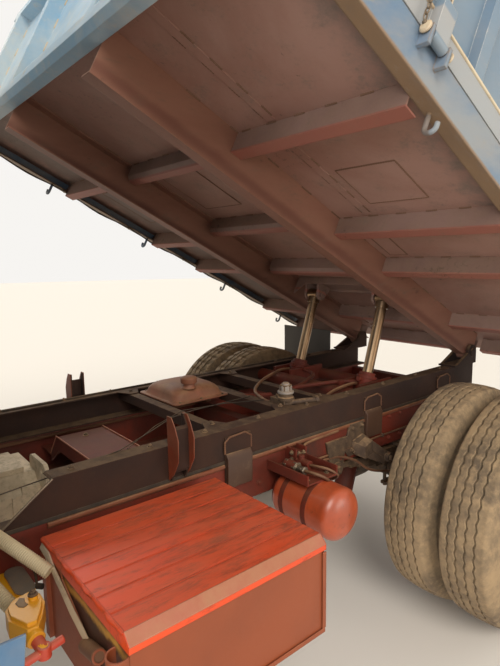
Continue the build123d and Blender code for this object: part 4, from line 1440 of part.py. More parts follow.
# Dashboard with the steering column, steering wheel and seats
CABIN_FLOOR_Z = CAB_FLOOR_Z + CAB_WALL
DASH_LOW_Z = CAB_WAIST_Z - 240
WHEEL_X = 560
WHEEL_Y = CAB_FRONT_Y + 520
WHEEL_Z = CAB_WAIST_Z + 160
COLUMN_LEAN = 32
STEERING_WHEEL_RADIUS = 225
WHEEL_GRIP_RADIUS = 14
column_axis = Plane(origin=(WHEEL_X, WHEEL_Y, WHEEL_Z), x_dir=(1, 0, 0),
                    z_dir=(0, sin(radians(COLUMN_LEAN)), cos(radians(COLUMN_LEAN))))
with BuildPart() as dashboard:
    across((-CAB_HALF_WIDTH + CAB_WALL, CAB_HALF_WIDTH - CAB_WALL),
           ((CAB_FRONT_Y + CAB_WALL, DASH_LOW_Z), (CAB_FRONT_Y + CAB_WALL, CAB_WAIST_Z),
            (CAB_FRONT_Y + 300, CAB_WAIST_Z + 20), (CAB_FRONT_Y + 360, CAB_WAIST_Z - 60),
            (CAB_FRONT_Y + 300, DASH_LOW_Z)))
    bar((WHEEL_X, WHEEL_Y - 400 * sin(radians(COLUMN_LEAN)), WHEEL_Z - 400 * cos(radians(COLUMN_LEAN))),
        (WHEEL_X, WHEEL_Y - 40 * sin(radians(COLUMN_LEAN)), WHEEL_Z - 40 * cos(radians(COLUMN_LEAN))), 30)
dashboard.part.label = "dashboard"
export_step(dashboard.part, "parts/dashboard.step")

with BuildPart() as steering_wheel:
    grip_plane = Plane(origin=column_axis.origin, x_dir=(1, 0, 0), z_dir=-column_axis.y_dir)
    with BuildSketch(grip_plane) as grip:
        with Locations((STEERING_WHEEL_RADIUS, 0)):
            RegularPolygon(WHEEL_GRIP_RADIUS, 6)
    revolve(grip.sketch, axis=Axis(column_axis.origin, column_axis.z_dir))
    with Locations(column_axis):
        Cylinder(45, 40)
        Box(2 * STEERING_WHEEL_RADIUS, 34, 12)
steering_wheel.part.label = "steering_wheel"
export_step(steering_wheel.part, "parts/steering_wheel.step")

SEAT_SPANS = ((HUMP_HALF_WIDTH + 30, CAB_HALF_WIDTH - CAB_WALL - 60),
              (-CAB_HALF_WIDTH + CAB_WALL + 60, -HUMP_HALF_WIDTH - 30))
SEAT_FRONT_Y = CAB_REAR_Y - 760
with BuildPart() as seats:
    for x_span in SEAT_SPANS:
        block(x_span, (SEAT_FRONT_Y, SEAT_FRONT_Y + 480), (CABIN_FLOOR_Z, CABIN_FLOOR_Z + 370))
        across(x_span, ((SEAT_FRONT_Y + 460, CABIN_FLOOR_Z + 330), (SEAT_FRONT_Y + 580, CABIN_FLOOR_Z + 330),
                        (SEAT_FRONT_Y + 680, CABIN_FLOOR_Z + 950), (SEAT_FRONT_Y + 590, CABIN_FLOOR_Z + 950)))
seats.part.label = "seats"
export_step(seats.part, "parts/seats.step")

# Mirrors on arms ahead of the doors
MIRROR_ARM_Y = CAB_FRONT_Y + 120
MIRROR_ARM_Z = (CAB_WAIST_Z + 60, CAB_WAIST_Z + 440)
MIRROR_X = CAB_HALF_WIDTH + 110
with BuildPart() as mirrors:
    for _, side in SIDES:
        for arm_z in MIRROR_ARM_Z:
            bar((side * CAB_HALF_WIDTH, MIRROR_ARM_Y, arm_z), (side * MIRROR_X, MIRROR_ARM_Y, arm_z), 10)
        bar((side * MIRROR_X, MIRROR_ARM_Y, MIRROR_ARM_Z[0]),
            (side * MIRROR_X, MIRROR_ARM_Y, MIRROR_ARM_Z[1] + 10), 10)
        block((side * (MIRROR_X - 80), side * (MIRROR_X + 80)), (MIRROR_ARM_Y + 6, MIRROR_ARM_Y + 36),
              (MIRROR_ARM_Z[0] + 40, MIRROR_ARM_Z[1] - 40))
mirrors.part.label = "mirrors"
export_step(mirrors.part, "parts/mirrors.step")
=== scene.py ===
"""Looks of a two-axle dump truck with its raised drop-side body, in metres.

+X is the truck's left, the truck faces -Y, +Z is up and the ground is z = 0.
"""

import json
import logging
import math
from dataclasses import dataclass
from enum import Enum

import bmesh
import bpy
from mathutils import Matrix, Vector

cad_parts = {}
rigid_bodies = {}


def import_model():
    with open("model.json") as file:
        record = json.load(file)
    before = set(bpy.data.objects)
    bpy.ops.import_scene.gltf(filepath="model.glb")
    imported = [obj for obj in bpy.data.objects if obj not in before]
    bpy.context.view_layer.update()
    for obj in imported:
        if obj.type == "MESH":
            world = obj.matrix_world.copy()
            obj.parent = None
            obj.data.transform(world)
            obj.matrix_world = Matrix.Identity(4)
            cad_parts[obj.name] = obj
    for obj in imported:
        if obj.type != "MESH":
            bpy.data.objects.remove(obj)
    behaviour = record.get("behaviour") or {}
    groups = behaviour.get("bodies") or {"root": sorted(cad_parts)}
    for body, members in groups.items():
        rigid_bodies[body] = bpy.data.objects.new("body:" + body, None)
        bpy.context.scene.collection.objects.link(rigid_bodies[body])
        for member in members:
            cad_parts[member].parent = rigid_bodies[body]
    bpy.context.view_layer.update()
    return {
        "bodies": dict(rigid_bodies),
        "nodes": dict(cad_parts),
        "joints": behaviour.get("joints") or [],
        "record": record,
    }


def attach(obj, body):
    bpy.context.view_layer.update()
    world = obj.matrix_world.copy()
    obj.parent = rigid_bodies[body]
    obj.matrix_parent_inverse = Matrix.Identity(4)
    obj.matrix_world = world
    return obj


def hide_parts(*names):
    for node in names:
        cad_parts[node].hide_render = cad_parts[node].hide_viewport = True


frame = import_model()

log = logging.getLogger("dump_truck")

Colour = tuple[float, float, float]
Point = tuple[float, float, float]

REAR_AXLE_Y = 1.369
FRONT_AXLE_Y = REAR_AXLE_Y - 2.9
AXLE_Z = 0.51
HINGE_Y = REAR_AXLE_Y + 0.617
HINGE_Z = 1.062
BODY_TILT = math.radians(26.7)
SILL_INNER_X = 0.372
SILL_OUTER_X = 0.432
FLOOR_ABOVE = 0.129
RAIL_X = 0.435
RAIL_TOP_Z = 0.87
SUB_TOP_Z = 0.996
SIDES = (-1, 1)
UP: Point = (0.0, 0.0, 1.0)
LEFTWARD: Point = (1.0, 0.0, 0.0)
TURN = 2 * math.pi
SWELL_TURN = 6.283
MERGE_DISTANCE = 1e-6
BEVEL_ANGLE = math.radians(40)
SMOOTH_DEGREES = 35.0


def srgb(red: int, green: int, blue: int) -> Colour:
    """Turn display values from 0 to 255 into a linear colour."""
    def linear(value: int) -> float:
        """One display value made linear."""
        share = value / 255
        return share / 12.92 if share <= 0.04045 else ((share + 0.055) / 1.055) ** 2.4
    return linear(red), linear(green), linear(blue)


def on_body(x: float, reach: float, above: float) -> Vector:
    """Place a point on the raised body.

    Args:
        x: distance to the truck's left.
        reach: distance ahead of the rear hinge, along the body.
        above: distance above the hinge, square to the floor.

    Returns:
        The point in the row frame.
    """
    cos_tilt, sin_tilt = math.cos(BODY_TILT), math.sin(BODY_TILT)
    return Vector((x, HINGE_Y - reach * cos_tilt + above * sin_tilt,
                   HINGE_Z + reach * sin_tilt + above * cos_tilt))


def outward(side: int) -> Point:
    """The direction away from the truck's middle on one side."""
    return (float(side), 0.0, 0.0)


HINGE = Vector((0.0, HINGE_Y, HINGE_Z))
TIPPED = Matrix.Translation(HINGE) @ Matrix.Rotation(-BODY_TILT, 4, "X") @ Matrix.Translation(-HINGE)
BODY_UP = (0.0, math.sin(BODY_TILT), math.cos(BODY_TILT))
BODY_UP_START = HINGE_Y * BODY_UP[1] + HINGE_Z * BODY_UP[2]


class Body(Enum):
    """CAD bodies that the dressed pieces ride on."""

    CHASSIS = "chassis"
    TIPPER = "body"
    LEFT_GATE = "drop_side_left"
    RIGHT_GATE = "drop_side_right"
    TAILGATE = "tailgate"
    LEFT_DOOR = "door_left"
    RIGHT_DOOR = "door_right"
    REAR_LEFT = "rear_wheels_left"
    REAR_RIGHT = "rear_wheels_right"
    FRONT_LEFT = "front_wheel_left"
    FRONT_RIGHT = "front_wheel_right"


class Wire:
    """A node socket that takes part in Python arithmetic."""

    def __init__(self, sheet: "NodeSheet", socket: bpy.types.NodeSocket) -> None:
        """Wrap one output socket of a sheet's node."""
        self.sheet = sheet
        self.socket = socket

    def _sum(self, operation: str, first: "Wire | float", second: "Wire | float") -> "Wire":
        """Add one Math node on two values."""
        return self.sheet.add("ShaderNodeMath", {"operation": operation}, {0: first, 1: second})

    def __add__(self, other: "Wire | float") -> "Wire":
        """Sum."""
        return self._sum("ADD", self, other)

    __radd__ = __add__

    def __sub__(self, other: "Wire | float") -> "Wire":
        """Difference."""
        return self._sum("SUBTRACT", self, other)

    def __rsub__(self, other: float) -> "Wire":
        """Difference from a number."""
        return self._sum("SUBTRACT", other, self)

    def __mul__(self, other: "Wire | float") -> "Wire":
        """Product."""
        return self._sum("MULTIPLY", self, other)

    __rmul__ = __mul__

    def __truediv__(self, other: "Wire | float") -> "Wire":
        """Quotient."""
        return self._sum("DIVIDE", self, other)

    def most(self, other: "Wire | float") -> "Wire":
        """The larger of two values."""
        return self._sum("MAXIMUM", self, other)

    def sine(self) -> "Wire":
        """Sine of the value."""
        return self._sum("SINE", self, 0.0)

    def step(self, low: float, high: float) -> "Wire":
        """Rise smoothly from 0 at low to 1 at high."""
        return self.sheet.add("ShaderNodeMapRange", {"interpolation_type": "SMOOTHSTEP"},
                              {"Value": self, "From Min": low, "From Max": high})


class NodeSheet:
    """A node tree, shader or geometry, that is filled by calls."""

    def __init__(self, tree: bpy.types.NodeTree) -> None:
        """Start on a tree."""
        self.tree = tree

    def add(self, kind: str, settings: dict | None = None, values: dict | None = None,
            out: int | str = 0) -> Wire:
        """Add a node and hand back one of its outputs.

        Args:
            kind: the node's type.
            settings: its properties, set first; "stops" fills a colour ramp.
            values: its sockets by name or number, each a Wire or a value.
            out: the output wanted, by name or number.

        Returns:
            The output as a Wire.
        """
        node = self.tree.nodes.new(kind)
        for key, value in (settings or {}).items():
            if key == "stops":
                ramp = node.color_ramp
                while len(ramp.elements) < len(value):
                    ramp.elements.new(0.5)
                for element, (place, tone) in zip(ramp.elements, value):
                    element.position = place
                    element.color = (*tone, 1.0)
            else:
                setattr(node, key, value)
        for key, value in (values or {}).items():
            if isinstance(value, Wire):
                self.tree.links.new(value.socket, node.inputs[key])
            elif isinstance(value, tuple) and len(value) == 3 and node.inputs[key].type == "RGBA":
                node.inputs[key].default_value = (*value, 1.0)
            else:
                node.inputs[key].default_value = value
        return Wire(self, node.outputs[out]) if node.outputs else Wire(self, None)

    def blend(self, share: Wire | float, first: Wire | Colour, second: Wire | Colour) -> Wire:
        """Mix two colours: a share of 0 gives the first, 1 the second."""
        return self.add("ShaderNodeMix", {"data_type": "RGBA"}, {0: share, 6: first, 7: second}, 2)

    def noise(self, where: Wire, scale: float, detail: float = 5.0, rough: float = 0.6,
              distortion: float = 0.0) -> Wire:
        """Add a noise texture.

        Args:
            where: the coordinates.
            scale: features per metre.
            detail: octaves.
            rough: share of the finer octaves.
            distortion: how much it is warped.

        Returns:
            The noise value, about 0.5 in the middle.
        """
        return self.add("ShaderNodeTexNoise", None,
                        {"Vector": where, "Scale": scale, "Detail": detail, "Roughness": rough,
                         "Distortion": distortion})

    def stretched(self, where: Wire, scale: Point, turn: Point = (0.0, 0.0, 0.0)) -> Wire:
        """Stretch and turn coordinates."""
        return self.add("ShaderNodeMapping", {"vector_type": "POINT"},
                        {"Vector": where, "Rotation": turn, "Scale": scale})


DUST = srgb(176, 142, 104)
SOIL = srgb(112, 82, 56)
RUST = srgb(122, 62, 34)
DARK_RUST = srgb(70, 40, 28)
OIL_BLACK = srgb(30, 24, 20)


@dataclass(frozen=True)
class Band:
    """A stripe of another colour, between two distances along a direction."""

    colour: Colour
    low: float
    high: float
    way: Point = BODY_UP
    start: float = BODY_UP_START
    soft: float = 0.01
    wobble: float = 0.0
    share: float = 1.0

    def over(self, sheet: NodeSheet, place: Wire, broken: Wire, colour: Wire) -> Wire:
        """Lay the stripe over a colour.

        Args:
            sheet: the material's sheet.
            place: object coordinates.
            broken: a noise that makes its edges uneven.
            colour: what lies under it.

        Returns:
            The colour with the stripe.
        """
        along = sheet.add("ShaderNodeVectorMath", {"operation": "DOT_PRODUCT"},
                          {0: place, 1: self.way}, "Value") - self.start
        if self.wobble:
            along = along + (broken - 0.5) * self.wobble
        mask = along.step(self.low, self.low + self.soft) * (1.0 - along.step(self.high - self.soft,
                                                                              self.high)) * self.share
        return sheet.blend(mask, colour, self.colour)


@dataclass(frozen=True)
class Finish:
    """A finish that turns into a material at its first use."""

    name: str

    def surface(self, sheet: NodeSheet) -> Wire:
        """Build the shader on a sheet; each kind of finish has its own."""
        raise NotImplementedError

    def material(self) -> bpy.types.Material:
        """The finish as a material."""
        found = bpy.data.materials.get(self.name)
        if found:
            return found
        made = bpy.data.materials.new(self.name)
        made.use_nodes = True
        made.node_tree.nodes.clear()
        sheet = NodeSheet(made.node_tree)
        sheet.add("ShaderNodeOutputMaterial", None, {"Surface": self.surface(sheet)})
        return made


@dataclass(frozen=True)
class Plain(Finish):
    """One dull colour."""

    colour: Colour

    def surface(self, sheet: NodeSheet) -> Wire:
        """One colour with a dull sheen."""
        return sheet.add(
            "ShaderNodeBsdfPrincipled", None, {"Base Color": self.colour, "Roughness": 0.9})


@dataclass(frozen=True)
class Paint(Finish):
    """Paint, metal or rubber that has weathered.

    Attributes hold the colours of the coat, its broad second tone, its grime, rust, dust and bared
    edges, with the share of the surface that each takes from 0 to 1.
    """

    coat: Colour
    tone: Colour
    grime: Colour = SOIL
    grime_share: float = 0.4
    rust: Colour = RUST
    rust_share: float = 0.0
    dust: Colour = DUST
    dust_up: float = 0.35
    dust_all: float = 0.08
    edge: Colour = DUST
    edge_share: float = 0.5
    edge_width: float = 0.004
    roughness: float = 0.6
    metallic: float = 0.0
    grain: float = 0.25
    patches: float = 2.2
    run: Point = (1.0, 1.0, 1.0)
    speck: Colour = OIL_BLACK
    speck_share: float = 0.0
    coat_weight: float = 0.0
    bands: tuple[Band, ...] = ()

    def surface(self, sheet: NodeSheet) -> Wire:
        """Lay grime, specks, rust and dust over the coat, and bare its edges.

        Args:
            sheet: the material's sheet.

        Returns:
            The shader.
        """
        place = sheet.add("ShaderNodeTexCoord", out="Object")
        along = sheet.stretched(place, self.run)
        broad = sheet.noise(along, self.patches, 6, 0.62, 0.4)
        middle = sheet.noise(along, self.patches * 7.3, 7, 0.68)
        fine = sheet.noise(along, 95.0, 4, 0.6)
        rounded = sheet.add("ShaderNodeBevel", {"samples": 4}, {"Radius": self.edge_width})
        flat = sheet.add("ShaderNodeNewGeometry", out="Normal")
        square = sheet.add("ShaderNodeVectorMath", {"operation": "DOT_PRODUCT"},
                           {0: rounded, 1: flat}, "Value")
        upward = sheet.add("ShaderNodeSeparateXYZ", None, {0: flat}, "Z")
        colour = sheet.blend(broad.step(0.36, 0.64), self.coat, self.tone)
        for band in self.bands:
            colour = band.over(sheet, place, middle, colour)
        colour = sheet.blend((middle * 0.7 + fine * 0.3).step(0.66 - 0.3 * self.grime_share, 0.8)
                             * min(1.0, self.grime_share * 1.8), colour, self.grime)
        worn = 0.0
        if self.speck_share:
            specks = sheet.noise(along, 38.0, 8, 0.78, 0.3)
            mask = (specks * 0.62 + broad * 0.38).step(0.6 - 0.12 * self.speck_share, 0.66)
            colour = sheet.blend(mask * 0.85, colour, self.speck)
        if self.rust_share:
            worn = (broad * 0.45 + middle * 0.55).step(0.69 - 0.26 * self.rust_share,
                                                       0.76 - 0.2 * self.rust_share)
            rusty = sheet.blend(fine.step(0.35, 0.65), self.rust, DARK_RUST)
            colour = sheet.blend(worn * 0.9, colour, rusty)
        uneven = (middle * 0.6 + broad * 0.7).step(0.42, 0.86)
        settled = (upward.step(0.25, 0.95) * self.dust_up * 1.5 + self.dust_all * 1.6) * uneven
        colour = sheet.blend(settled, colour, self.dust)
        bared = (1.0 - square).step(0.02, 0.22) * (middle + 0.25).step(0.55, 0.95) * self.edge_share
        colour = sheet.blend(bared, colour, self.edge)
        rough = sheet.blend(settled.most(worn) if self.rust_share else settled,
                            (self.roughness,) * 3, (0.92,) * 3)
        rough = sheet.add("ShaderNodeSeparateColor", None, {0: rough}) + (fine - 0.5) * 0.12
        bump = sheet.add("ShaderNodeBump", None,
                         {"Strength": self.grain, "Distance": 0.002,
                          "Height": middle * 0.6 + fine * 0.4
                          + (worn * 0.3 if self.rust_share else 0.0), "Normal": rounded})
        shader = {"Base Color": colour, "Roughness": rough, "Metallic": self.metallic, "Normal": bump}
        if self.coat_weight:
            shader |= {"Coat Weight": self.coat_weight, "Coat Roughness": 0.25}
        return sheet.add("ShaderNodeBsdfPrincipled", None, shader)


@dataclass(frozen=True)
class Clear(Finish):
    """Glass or a moulded lens."""

    tint: Colour
    roughness: float = 0.05
    transmission: float = 0.9
    ribs: float = 0.0

    def surface(self, sheet: NodeSheet) -> Wire:
        """Tint the glass, film it with dust and rib it where it is a lens."""
        place = sheet.add("ShaderNodeTexCoord", out="Object")
        film = sheet.noise(place, 4.0, 6, 0.7).step(0.45, 0.8)
        shader = {"Base Color": sheet.blend(film * 0.25, self.tint, DUST),
                  "Roughness": film * 0.25 + self.roughness,
                  "Transmission Weight": self.transmission, "IOR": 1.45}
        if self.ribs:
            along = sheet.add("ShaderNodeSeparateXYZ", None, {0: place}, "X")
            shader["Normal"] = sheet.add("ShaderNodeBump", None,
                                         {"Strength": 0.5, "Distance": 0.003,
                                          "Height": (along * (SWELL_TURN * self.ribs)).sine()})
        return sheet.add("ShaderNodeBsdfPrincipled", None, shader)


@dataclass(frozen=True)
class Cloth(Finish):
    """Woven seat cloth."""

    thread: Colour
    shade: Colour
    pitch: float = 0.003

    def surface(self, sheet: NodeSheet) -> Wire:
        """Weave threads along all three directions and wear them."""
        place = sheet.add("ShaderNodeTexCoord", out="Object")
        turns = TURN / self.pitch
        threads = [(sheet.add("ShaderNodeSeparateXYZ", None, {0: place}, axis) * turns).sine()
                   for axis in "XYZ"]
        weave = (threads[0] * threads[1] + threads[1] * threads[2]
                 + threads[0] * threads[2]) * 0.25 + 0.5
        worn = sheet.noise(place, 7.0, 6, 0.7).step(0.4, 0.75)
        colour = sheet.blend(weave, self.thread, self.shade)
        colour = sheet.blend(worn * 0.4, colour, DUST)
        bump = sheet.add("ShaderNodeBump", None, {"Strength": 0.4, "Distance": 0.001, "Height": weave})
        return sheet.add(
            "ShaderNodeBsdfPrincipled", None,
            {"Base Color": colour, "Roughness": worn * 0.1 + 0.82, "Normal": bump, "Sheen Weight": 0.3})


CHASSIS_RED = Paint(
    "chassis_red_paint", srgb(112, 32, 7), srgb(74, 22, 6), grime=srgb(58, 36, 24), grime_share=0.55,
    dust=srgb(122, 82, 56), dust_up=0.3, dust_all=0.04, edge=srgb(140, 78, 48), edge_share=0.4,
    roughness=0.7, speck_share=0.4)
TANK_RED = Paint(
    "air_tank_paint", srgb(188, 82, 44), srgb(152, 66, 38), grime=srgb(84, 54, 34),
    dust=srgb(146, 92, 64), dust_up=0.3, dust_all=0.02, edge_share=0.0, roughness=0.32, speck_share=0.5,
    coat_weight=0.5)
TANK_RUST = Paint(
    "oil_tank_paint", srgb(108, 66, 44), srgb(132, 66, 46), grime=srgb(76, 54, 36), grime_share=0.5,
    dust_up=0.3, edge_share=0.2, roughness=0.55, speck=srgb(140, 72, 56), speck_share=0.5)
STRAP_BROWN = Paint(
    "strap_paint", srgb(70, 44, 27), srgb(58, 34, 21), grime=srgb(104, 82, 60), dust_all=0.02,
    edge=srgb(132, 106, 80), edge_share=0.8)
WORN_LIP = Paint("worn_lip_paint", srgb(118, 58, 30), srgb(96, 48, 27), grime=srgb(90, 60, 40),
                 dust_up=0.4, edge=srgb(150, 92, 58), edge_share=0.7)
GUIDE_RED = Paint("guide_paint", srgb(136, 52, 26), srgb(100, 40, 22), grime=srgb(74, 46, 30),
                  edge=srgb(176, 110, 74), edge_share=0.6, roughness=0.5)
PALE_CAP = Paint("pale_cap", srgb(150, 142, 134), srgb(128, 118, 110), grime=srgb(84, 62, 46),
                 roughness=0.5, metallic=0.2)
BOX_SIDE = Paint(
    "box_side_paint", srgb(140, 68, 36), srgb(126, 60, 31), grime=srgb(130, 76, 50), grime_share=0.25,
    dust=srgb(190, 132, 100), dust_all=0.02, edge=srgb(196, 130, 92), roughness=0.5)
ALLOY_CASE = Paint(
    "gearbox_alloy", srgb(222, 202, 170), srgb(188, 168, 138), grime=srgb(86, 70, 52), grime_share=0.6,
    dust=srgb(168, 148, 118), dust_up=0.3, edge=srgb(200, 186, 158), roughness=0.8, grain=0.6,
    patches=6.0)
BOX_RED = Paint(
    "box_red_paint", srgb(224, 74, 26), srgb(198, 66, 26), grime=srgb(112, 58, 30), grime_share=0.45,
    dust=srgb(206, 118, 84), dust_up=0.22, dust_all=0.02, edge=srgb(96, 44, 24), edge_share=0.9,
    roughness=0.46, patches=3.0, run=(1.0, 0.22, 1.0), speck=srgb(48, 30, 18), speck_share=1.0,
    coat_weight=0.15)
# Painted shade inside the battery box: a dark coat, with cream and ochre bands near its top that paint
# the light falling in.
BOX_CAVITY_SHADE = Paint(
    "box_dark_paint", srgb(72, 18, 8), srgb(54, 14, 6), grime=srgb(82, 40, 22), grime_share=0.3,
    edge_share=0.0, bands=( Band(srgb(196, 140, 52), 0.772, 0.812, UP, 0.0, 0.02, 0.05),
                           Band(srgb(206, 190, 160), 0.805, 0.9, UP, 0.0, 0.02, 0.05)))
SUBFRAME_BROWN = Paint(
    "subframe_brown_paint", srgb(54, 27, 10), srgb(38, 18, 7), grime=srgb(64, 44, 26), grime_share=0.5,
    rust_share=0.15, dust=srgb(118, 92, 64), dust_up=0.6, dust_all=0.0, edge=srgb(126, 94, 64),
    edge_share=0.7, roughness=0.85, speck_share=0.3)
BODY_BLUE = Paint(
    "body_blue_paint", srgb(176, 188, 192), srgb(112, 160, 190), grime=srgb(190, 184, 172),
    grime_share=0.5, rust=srgb(150, 104, 70), rust_share=0.25, dust=srgb(206, 190, 164), dust_up=0.2,
    dust_all=0.16, edge=srgb(212, 204, 190), edge_share=0.9, roughness=0.5)
RAIL_BLUE = Paint(
    "side_rail_paint", srgb(132, 138, 142), srgb(68, 112, 146), grime=srgb(136, 138, 134),
    rust=srgb(142, 104, 74), rust_share=0.2, dust_up=0.1, dust_all=0.1, edge=srgb(150, 122, 92),
    edge_share=0.9, edge_width=0.008, roughness=0.55, patches=3.4, run=(1.0, 0.35, 1.0),
    bands=( Band(srgb(112, 102, 96), -1.14, 1.186, (1.0, 0.0, 0.0), 0.0),
           Band(srgb(128, 104, 80), 0.07, 0.092, wobble=0.01)))
GATE_BLUE = Paint(
    "gate_paint", srgb(122, 138, 150), srgb(100, 128, 150), grime=srgb(160, 158, 152), grime_share=0.35,
    rust=srgb(176, 140, 92), rust_share=0.12, dust_up=0.15, edge=srgb(226, 220, 208), edge_share=0.9,
    roughness=0.42, run=(1.0, 0.3, 1.0), coat_weight=0.15,
    bands=( Band(srgb(150, 154, 156), 0.18, 0.264, wobble=0.006),))
CAB_BLUE = Paint(
    "cab_blue_paint", srgb(72, 112, 146), srgb(62, 98, 132), grime=srgb(120, 134, 140), grime_share=0.2,
    rust_share=0.12, dust=srgb(190, 176, 152), dust_up=0.12, edge=srgb(196, 190, 178), roughness=0.64,
    grain=0.08)
UNDERBODY = Paint(
    "underbody_primer", srgb(160, 124, 110), srgb(144, 102, 88), grime=srgb(112, 98, 88),
    grime_share=0.55, rust=srgb(140, 98, 66), rust_share=0.12, dust=srgb(150, 128, 106), dust_up=0.4,
    edge=srgb(176, 132, 104), edge_share=0.8, roughness=0.66, patches=1.5, speck=srgb(60, 50, 42),
    speck_share=0.3, bands=( Band(srgb(104, 98, 92), 1.0, 1.3, (1.0, 0.0, 0.0), 0.0, 0.16, 0.3, 0.8),
                            Band(srgb(70, 60, 52), -1.3, -0.6, (1.0, 0.0, 0.0), 0.0, 0.3, 0.5, 0.7)))
SILL_RED = Paint(
    "sill_paint", srgb(142, 98, 80), srgb(122, 78, 62), grime=srgb(100, 84, 72), grime_share=0.5,
    rust_share=0.1, dust=srgb(160, 130, 100), dust_up=0.4, dust_all=0.06, edge=srgb(176, 136, 104),
    edge_share=0.9, run=(1.0, 0.3, 1.0), speck_share=0.25,
    bands=( Band(srgb(96, 50, 40), -0.035, 0.03, wobble=0.03, soft=0.03, share=0.6),))
BEARER_RED = Paint(
    "bearer_paint", srgb(138, 108, 96), srgb(116, 88, 78), grime=srgb(98, 88, 80), grime_share=0.5,
    rust_share=0.1, dust_up=0.4, dust_all=0.05, edge=srgb(166, 112, 92), edge_share=1.0,
    edge_width=0.005, roughness=0.62, speck_share=0.25,
    bands=( Band(srgb(146, 88, 74), 0.04, 0.058, soft=0.004),))
CHROME = Paint(
    "dusty_chrome", srgb(132, 104, 78), srgb(166, 140, 110), grime=srgb(74, 54, 38), grime_share=0.6,
    dust=srgb(150, 118, 88), dust_up=0.2, dust_all=0.15, edge_share=0.0, roughness=0.24, metallic=1.0,
    grain=0.05, run=(1.0, 1.0, 0.12))
CAST_DARK = Paint(
    "dark_casting", srgb(66, 50, 40), srgb(52, 40, 32), grime=srgb(96, 74, 54), grime_share=0.5,
    rust_share=0.3, dust_up=0.5, dust_all=0.15, roughness=0.7, metallic=0.2, grain=0.6, patches=5.0)
TYRE_RUBBER = Paint(
    "dusty_rubber", srgb(92, 78, 62), srgb(108, 92, 72), grime=srgb(166, 140, 106), grime_share=0.6,
    dust=srgb(160, 134, 100), dust_up=0.25, dust_all=0.5, edge=srgb(176, 150, 114), edge_share=0.9,
    edge_width=0.006, roughness=0.86, grain=0.5, patches=4.0)
RIM_STEEL = Paint("rim_paint", srgb(122, 62, 44), srgb(98, 48, 34), grime_share=0.5, rust_share=0.2,
                  dust_up=0.4, dust_all=0.3)
EXHAUST = Paint("rusty_steel", srgb(104, 66, 44), srgb(82, 56, 40), rust_share=0.5, dust_up=0.4,
                roughness=0.85, metallic=0.2, grain=0.6)
PLASTIC = Paint(
    "black_plastic", srgb(34, 34, 34), srgb(42, 41, 40), grime=srgb(84, 74, 62), grime_share=0.25,
    dust_up=0.4, edge=srgb(96, 88, 78), edge_share=0.2, roughness=0.55, grain=0.15)
TRIM_GREY = Paint("grey_trim", srgb(116, 112, 104), srgb(100, 96, 90), grime_share=0.25, dust_up=0.3,
                  edge_share=0.3, grain=0.15)
FLAP_RUBBER = Paint(
    "flap_rubber", srgb(48, 44, 38), srgb(60, 54, 44), grime=srgb(104, 90, 66), grime_share=0.45,
    dust_all=0.12, edge=srgb(140, 118, 88), roughness=0.85, grain=0.5, speck=srgb(150, 138, 112),
    speck_share=0.35)
PUMP_YELLOW = Paint(
    "yellow_enamel", srgb(255, 190, 36), srgb(240, 168, 34), grime=srgb(136, 96, 44), grime_share=0.3,
    dust_up=0.0, dust_all=0.02, edge=srgb(246, 220, 150), edge_share=0.2, roughness=0.4, grain=0.4,
    coat_weight=0.1)
HOSE_BEIGE = Paint("beige_hose", srgb(226, 208, 170), srgb(204, 184, 144), grime=srgb(120, 100, 70),
                   grime_share=0.3, dust_up=0.1, edge=srgb(226, 214, 184), roughness=0.66)
HANDLE_RED = Paint(
    "red_handle", srgb(224, 66, 36), srgb(204, 54, 32), grime=srgb(120, 50, 36), grime_share=0.2,
    dust_up=0.15, edge=srgb(240, 140, 116), roughness=0.38, coat_weight=0.3)
CABLE_BLACK = Paint(
    "black_cable", srgb(24, 18, 14), srgb(34, 26, 20), grime=srgb(66, 48, 34), dust_up=0.2,
    edge_share=0.0, roughness=0.7)
PIPE_BROWN = Paint("brown_pipe", srgb(92, 58, 40), srgb(112, 70, 46), dust_up=0.4, edge_share=0.0,
                   roughness=0.5, metallic=0.2)
BRIGHT_STEEL = Paint(
    "bright_steel", srgb(138, 128, 114), srgb(112, 100, 86), grime=srgb(96, 72, 50), grime_share=0.5,
    dust_up=0.3, edge_share=0.2, roughness=0.38, metallic=0.85)
WELD_METAL = Paint("weld_metal", srgb(128, 96, 76), srgb(104, 72, 56), grime=srgb(84, 60, 44),
                   rust_share=0.3, dust_up=0.3, edge_share=0.0, metallic=0.3, grain=0.6)
WORN_PINK = Paint("worn_pink_paint", srgb(170, 98, 76), srgb(156, 78, 54), grime=srgb(150, 80, 52),
                  dust_up=0.3, edge=srgb(226, 186, 150))
CREAM_EDGE = Paint("cream_edge_paint", srgb(206, 190, 162), srgb(184, 162, 132),
                   grime=srgb(140, 104, 74), grime_share=0.5, rust_share=0.25, edge_share=0.3)
GLASS = Clear("cab_glass_pane", srgb(205, 220, 214))
CLEAR_LENS = Clear("clear_lens", srgb(226, 228, 224), 0.08, 0.5, 140.0)
RED_LENS = Clear("red_lens", srgb(190, 22, 16), 0.12, 0.3, 180.0)
AMBER_LENS = Clear("amber_lens", srgb(232, 122, 18), 0.12, 0.3, 180.0)
SEAT_CLOTH = Cloth("seat_cloth", srgb(64, 62, 60), srgb(38, 38, 40))

